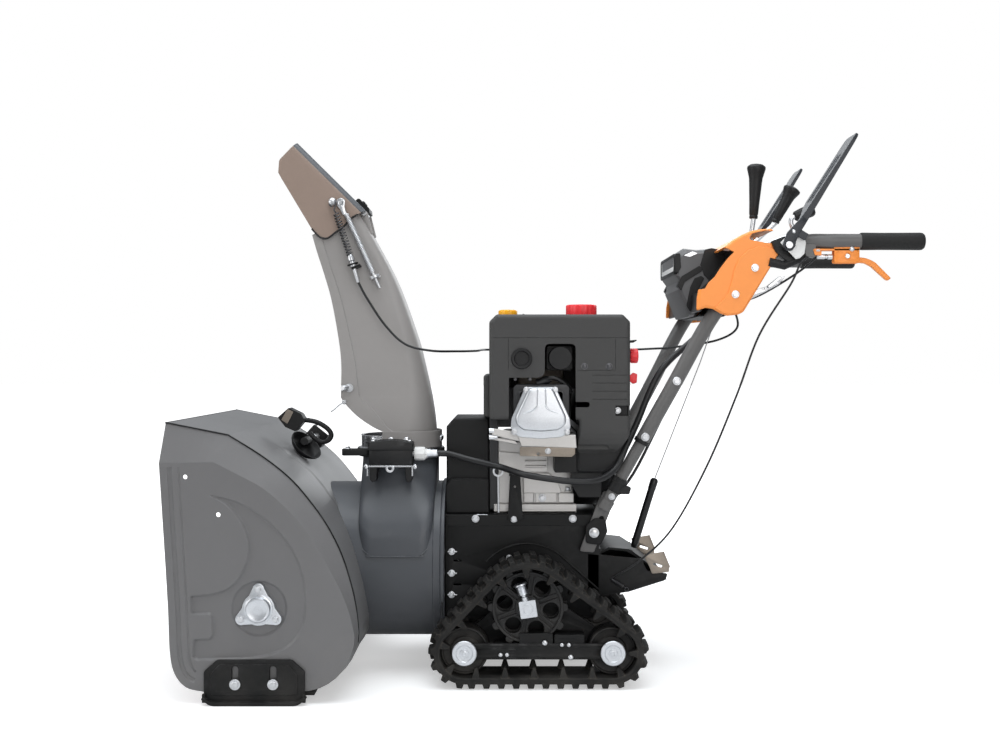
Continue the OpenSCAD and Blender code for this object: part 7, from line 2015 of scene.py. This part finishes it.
# ---------------------------------------------------------------- track trigger
TRIG = Vector((592, -BAR_Y, BAR_Z - 30))
cheek = rounded_loop([(566, BAR_Z - 3), (616, BAR_Z - 3), (616, BAR_Z - 44), (566, BAR_Z - 44)], [2, 2, 3, 3], 3)
cheeks = [plate(cheek, [(TRIG.x, TRIG.z, 4)], TRIG.y + y, TRIG.y + y + 3, edge=0.6) for y in (-9, 6)]
roof = [block(566, 616, TRIG.y - 9, TRIG.y + 9, BAR_Z - 19, BAR_Z - 15.2),
    block(526, 566, TRIG.y - 9, TRIG.y + 9, BAR_Z - 19, BAR_Z - 15.2),
    slab(rounded_loop([(524, BAR_Z - 16), (541, BAR_Z - 16), (541, BAR_Z - 28), (528, BAR_Z - 28)], 2, 2), TRIG.y - 8,
    TRIG.y - 5)]
piece("trigger_cheeks", cheeks + roof, "machine", "orange_plastic", 0.6, replaces="trigger_bracket")
piece("trigger_screw", [round_bar(4, -12, 12, TRIG, Y, 20)] + dome_bolt((601, TRIG.y - 9, BAR_Z - 16), LEFTWARD, 5,
    3) + dome_bolt((TRIG.x, TRIG.y - 9, TRIG.z), LEFTWARD, 5, 3), "machine", "zinc")
finger = [(-14, 5), (-14, -8), (24, -12.5), (36, -14), (48, -20), (78, -47), (82, -48), (88, -44), (86, -41),
    (57, -12), (48, -7), (38, -3.4), (26, -1.6), (12, 5)]
finger = rounded_loop([(TRIG.x + x, TRIG.z + z) for x, z in finger], [3, 3, 6, 8, 8, 3, 2, 2, 3, 8, 8, 6, 4, 3], 3)
piece("trigger_finger", [plate(finger, [(TRIG.x, TRIG.z, 4.05)], TRIG.y - 5.6, TRIG.y + 5.6, edge=2.4)],
    "trigger_lever", "orange_plastic", replaces="trigger")
ferrules = [turned([(0, 532), (3, 532), (4.5, 534), (4.5, 548), (3.4, 549), (3.4, 553), (5.2, 554), (5.2, 563),
    (0, 563)], (0, TRIG.y - 3, BAR_Z - 31), X, 16), round_bar(3.6, 530, 538, (0, TRIG.y - 6, BAR_Z - 18), X, 6)]
piece("trigger_ferrules", ferrules, "machine", "zinc", 0.3)

# ---------------------------------------------------------------- control cables
SPRING_Y = -CY - 6
trigger_cable = [(522, -231, 866), (500, -236, 848), (480, -236, 806), (420, -226, 706), (378, -210, 585),
    (323, -188, 443), (255, -168, 312), (190, -140, 240), (134, SPRING_Y, 200)]
paddle_cable = [(352, -130, BAR_Z - 146), (320, -150, 690), (250, -135, 560), (180, -128, 420), (124, -118, 350)]
cables = [pipe(smooth_route(trigger_cable, 8), 2.2, 8), pipe(smooth_route(paddle_cable, 6), 3, 8),
    pipe(smooth_route([(534, -233, 861), (500, -200, 830), (440, -140, 790), (396, -100, 775)], 6), 2.2, 8)]
piece("control_cable_runs", cables, "machine", "cable_sheath", replaces="control_cables", sharp=60)
wire = [pipe([(364, -60, BAR_Z - 146), (330, -60, 650), (234, -60, 404)], 1.1, 6)]
piece("drive_cable_wire", wire, "machine", "steel")
boot_low, boot_high = Vector((188, -60, 256)), Vector((234, -60, 404))
boot = [(0, 0), (5, 0), (6.5, 3), (7.8, 12), (7.8, 130), (8.4, 131), (8.4, 150), (5, 154.6), (0, 155)]
piece("drive_cable_boot", [turned(boot, boot_low, boot_high - boot_low, 20)], "machine", "soft_black")
hook = [coil((136, SPRING_Y + 2, 199), (160, SPRING_Y + 2, 184), 4, 0.9, 12),
    pipe([(160, SPRING_Y + 2, 184), (164, SPRING_Y + 2, 181.5)], 0.9, 6),
    pipe([(167 + 4 * cos(a * pi / 6), SPRING_Y + 2, 178 + 4 * sin(a * pi / 6)) for a in range(12)], 0.9, 6,
    closed=True)]
piece("latch_spring", hook, "machine", "spring_steel")


# ---------------------------------------------------------------- auger, gearbox and impeller
AUGER = joint_at("auger_spin")
FLIGHT_FROM, FLIGHT_TO, FLIGHT_TURN = 54.0, 310.0, 300.0


def flight(start, mirror):
    """Ribbon with a notched outer edge, wound out from the gearbox."""
    rings = []
    for k in range(121):
        a = FLIGHT_TURN * k / 120
        w, y = radians(start + a), FLIGHT_FROM + (FLIGHT_TO - FLIGHT_FROM) * a / FLIGHT_TURN
        outer = 151.6 if k % 6 < 3 else 143.5
        c, s = cos(w), sin(w)
        rings.append([Vector((AUGER.x + r * c, y + h, AUGER.z + r * s)) for r,
            h in ((108, -2.5), (108, 2.5), (outer, 2.5), (outer, -2.5))])
    made = loft(rings)
    return mirrored(made) if mirror else made


def spokes(start, mirror):
    made = []
    for a in (15, 150, 285):
        w, y = radians(start + a), FLIGHT_FROM + (FLIGHT_TO - FLIGHT_FROM) * a / FLIGHT_TURN
        c, s = cos(w), sin(w)
        rings = []
        for r, half, thick in ((16, 13, 4), (24, 11, 3.4), (70, 9.5, 3), (104, 12, 3), (121, 14, 3)):
            rings.append([Vector((AUGER.x + r * c - t * half * s, y + h * thick,
                AUGER.z + r * s + t * half * c)) for t, h in ((-1, -1), (1, -1), (1, 1), (-1, 1))])
        made.append(loft(rings))
    return [mirrored(m) for m in made] if mirror else made


flights, hubs = [], []
for mirror in (False, True):
    for start in (20, 200):
        flights.append(flight(start, mirror))
        flights += spokes(start, mirror)
    tube = hollow_bar(12.8, 19.7, 44, 314, (AUGER.x, 0, AUGER.z), Y, 40)
    hubs.append(mirrored(tube) if mirror else tube)
piece("auger_ribbons", flights, "auger", "auger_coat", 0.7, replaces="auger_flights", sharp=34)
piece("auger_tubes", hubs, "auger", "auger_coat", 0.5)
piece("auger_bar", [turned([(0, -337), (11.5, -337), (12.7, -335.5), (12.7, 335.5), (11.5, 337), (0, 337)],
    (AUGER.x, 0, AUGER.z), Y, 36)], "auger", "steel", replaces="auger_shaft")
pins = []
for y in (72, 96):
    pins += both_sides(*hex_bolt((AUGER.x, y, AUGER.z + 19.5), Z, 10, 5, 6.4))
piece("shear_bolts", pins, "auger", "zinc", 0.2)
case = [(12.9, -40), (24, -40), (26, -37), (34, -35), (46, -30), (46.5, -24), (53, -22), (54, -20), (54, 20),
    (53, 22), (46.5, 24), (46, 30), (34, 35), (26, 37), (24, 40), (12.9, 40)]
snout = [(12.9, AUGER.x + 22), (36, AUGER.x + 22), (36, AUGER.x + 56), (34, AUGER.x + 64), (30, AUGER.x + 80),
    (29.7, AUGER.x + 88), (27, AUGER.x + 96), (12.9, AUGER.x + 96)]
piece("gearbox_halves", [spun(case, (AUGER.x, 0, AUGER.z), Y, 64), spun(snout, (0, 0, DRUM_AXIS.z), X, 40),
    spun([(54, -2.6), (58, -2.6), (58, 2.6), (54, 2.6)][::-1], (AUGER.x + 0.1, 0, AUGER.z), Y, 56)], "machine",
    "gear_case", 0.8, replaces="gearbox_case", sharp=34)
case_bolts = []
for k in range(8):
    a = radians(45 * k + 22)
    case_bolts += hex_bolt((AUGER.x + 49.6 * cos(a), -22, AUGER.z + 49.6 * sin(a)), LEFTWARD, 7, 4, 4.4)
    case_bolts += hex_bolt((AUGER.x + 49.6 * cos(a), 22, AUGER.z + 49.6 * sin(a)), Y, 7, 4, 4.4)
case_bolts += hex_bolt((AUGER.x + 6, 0, AUGER.z + 53), Z, 12, 6, 8)
piece("gearbox_bolts", case_bolts, "machine", "zinc", 0.2)

IMP_LOW, IMP_HIGH = corners("impeller")
IR = (IMP_HIGH.z - IMP_LOW.z) / 2
blades = []
for a in range(0, 360, 90):
    outline = [(-3, 14), (3, 14), (3, 100), (4, 128), (9, 142), (22, 146.5), (20, IR - 0.6), (5, IR - 1), (-3, 136)]
    blade = slab([(y, DRUM_AXIS.z + z) for y, z in outline], IMP_LOW.x, IMP_HIGH.x - 5, "yz")
    blades.append(turned_by(blade, a, "X", DRUM_AXIS))
    gusset = slab([(y, DRUM_AXIS.z + z) for y, z in ((2.5, 20), (30, 20), (2.5, 84))], IMP_HIGH.x - 9, IMP_HIGH.x - 4,
        "yz")
    blades.append(turned_by(gusset, a, "X", DRUM_AXIS))
disc = [(12.9, IMP_HIGH.x - 5), (104, IMP_HIGH.x - 5), (107, IMP_HIGH.x - 3), (107, IMP_HIGH.x), (12.9, IMP_HIGH.x)]
hub = [(12.9, IMP_LOW.x), (18, IMP_LOW.x), (19.7, IMP_LOW.x + 2), (19.7, IMP_HIGH.x - 4), (12.9, IMP_HIGH.x - 4)]
piece("impeller_blades", [*blades, spun(disc, (0, 0, DRUM_AXIS.z), X, 72), spun(hub, (0, 0, DRUM_AXIS.z), X, 40)],
    "impeller_rotor", "auger_coat", 0.8, replaces="impeller", sharp=34)
hub_bolts = []
for x in (IMP_LOW.x + 22, IMP_LOW.x + 70):
    hub_bolts += [turned_by(s, 45, "X", DRUM_AXIS) for s in hex_bolt((x, 0, DRUM_AXIS.z + 19.5), Z, 10, 5, 6)]
piece("impeller_bolts", hub_bolts, "impeller_rotor", "zinc", 0.2)


def pulley(r, z, x=-176.0):
    rim = [(12.9, x - 8), (r - 22, x - 4), (r - 11, x - 5), (r - 10, x - 9), (r, x - 10), (r, x - 8.6),
        (r - 8, x - 5), (r - 8, x + 5), (r, x + 8.6), (r, x + 10), (r - 10, x + 9), (r - 11, x + 5), (r - 22, x + 4),
        (12.9, x + 8)]
    if r < 40:
        rim = [(12.4, x - 10), (r, x - 10), (r, x - 8.6), (r - 8, x - 5), (r - 8, x + 5), (r, x + 8.6), (r, x + 10),
            (12.4, x + 10)]
    return spun(rim, (0, 0, z), X, 64)


SH_LOW, SH_HIGH = corners("impeller_shaft")
piece("impeller_bar", [round_bar(12.7, SH_LOW.x, SH_HIGH.x, (0, 0, DRUM_AXIS.z), X, 36), pulley(92, DRUM_AXIS.z)],
    "impeller_rotor", "steel", 0.4, replaces="impeller_shaft", sharp=34)
piece("pulley_bolt", hex_bolt((SH_HIGH.x - 4, 0, DRUM_AXIS.z), X, 14, 4), "impeller_rotor", "zinc", 0.2)
FLY = corners("crankshaft")[1].x
flywheel = [(12.5, FLY - 20), (96, FLY - 20), (99, FLY - 18), (100, FLY - 12), (100, FLY - 6), (94, FLY - 5),
    (92, FLY - 14), (44, FLY - 14), (40, FLY - 4), (12.5, FLY - 4)]
vanes = [turned_by(block(FLY - 15, FLY - 1, -1.6, 1.6, CRANK + 56, CRANK + 90), 15 * k, "X",
    (0, 0, CRANK)) for k in range(24)]
piece("engine_crank_bar", [round_bar(12.3, -194, FLY - 4, (0, 0, CRANK), X, 32), pulley(32, CRANK)], "crank_rotor",
    "steel", 0.3, replaces="crankshaft", sharp=34)
piece("flywheel_fan", [spun(flywheel, (0, 0, CRANK), X, 64), *vanes], "crank_rotor", "bright_alloy", 0.3, sharp=34)
big, small = (0, DRUM_AXIS.z, 92 - 8 + 0.3), (0, CRANK, 32 - 8 + 0.3)


def belt_loop(shift):
    lean = degrees(np.arcsin((big[2] - small[2]) / (small[1] - big[1])))
    return arc((0, small[1]), small[2] + shift, lean, 180 - lean, 24) + arc((0, big[1]), big[2] + shift, 180 - lean,
        360 + lean, 48)


piece("wedge_belt", [plate(belt_loop(7), [belt_loop(0)], -180.4, -171.6, "yz", edge=0.8)], "machine", "track_rubber",
    replaces="drive_belt")
T_LOW, T_HIGH = corners("transmission")
gear_loop = rounded_loop([(T_LOW.x, T_LOW.z), (T_HIGH.x, T_LOW.z), (T_HIGH.x, T_HIGH.z - 22),
    (T_HIGH.x - 22, T_HIGH.z), (T_LOW.x + 10, T_HIGH.z), (T_LOW.x, T_HIGH.z - 10)], 7, 4)
piece("gear_housing", [plate(gear_loop, [(AXLE.x, AXLE.z, 12.7)], T_LOW.y + 3, T_HIGH.y - 3,
    edge=3.5)] + both_sides(spun([(12.8, 66), (27, 66), (25, 70), (12.8, 70)], (AXLE.x, 0, AXLE.z), Y, 40)),
    "machine", "gear_case", replaces="transmission", sharp=34)
SB_LOW, SB_HIGH = corners("scraper_bar")
blade = [(SB_LOW.x, SB_LOW.z + 3), (SB_LOW.x + 7, SB_LOW.z), (SB_HIGH.x, SB_LOW.z), (SB_HIGH.x, SB_HIGH.z),
    (SB_LOW.x, SB_HIGH.z)]
piece("scraper_blade", [slab(blade, SB_LOW.y, SB_HIGH.y)], "machine", "black_coat", 0.8, replaces="scraper_bar")
under = []
for k in range(7):
    under += dome_bolt(((SB_LOW.x + SB_HIGH.x) / 2 + 8, -270 + 90 * k, SB_LOW.z), (0, 0, -1), 8, 3)
piece("scraper_bolts", [s for s in under if min(p[2] for p in s[0]) > 0.5], "machine", "zinc")


# ---------------------------------------------------------------- finishes of the pieces that keep their frame shape
# The deflector node takes the warm brown paint, a painted warm reflection.
FINISH_OF = {"auger_housing": "housing_coat", "chute": "chute_coat", "deflector": "hood_warm_reflection_coat",}
SLOT_FINISH = {finish.slot: name for name, finish in reversed(FINISH.items())}
for part in frame["record"]["subparts"]:
    made = frame["nodes"][part["node"]]
    finish = FINISH[FINISH_OF.get(part["node"], SLOT_FINISH[part["material_slot"]])]
    made.data.materials.clear()
    made.data.materials.append(finish.material)
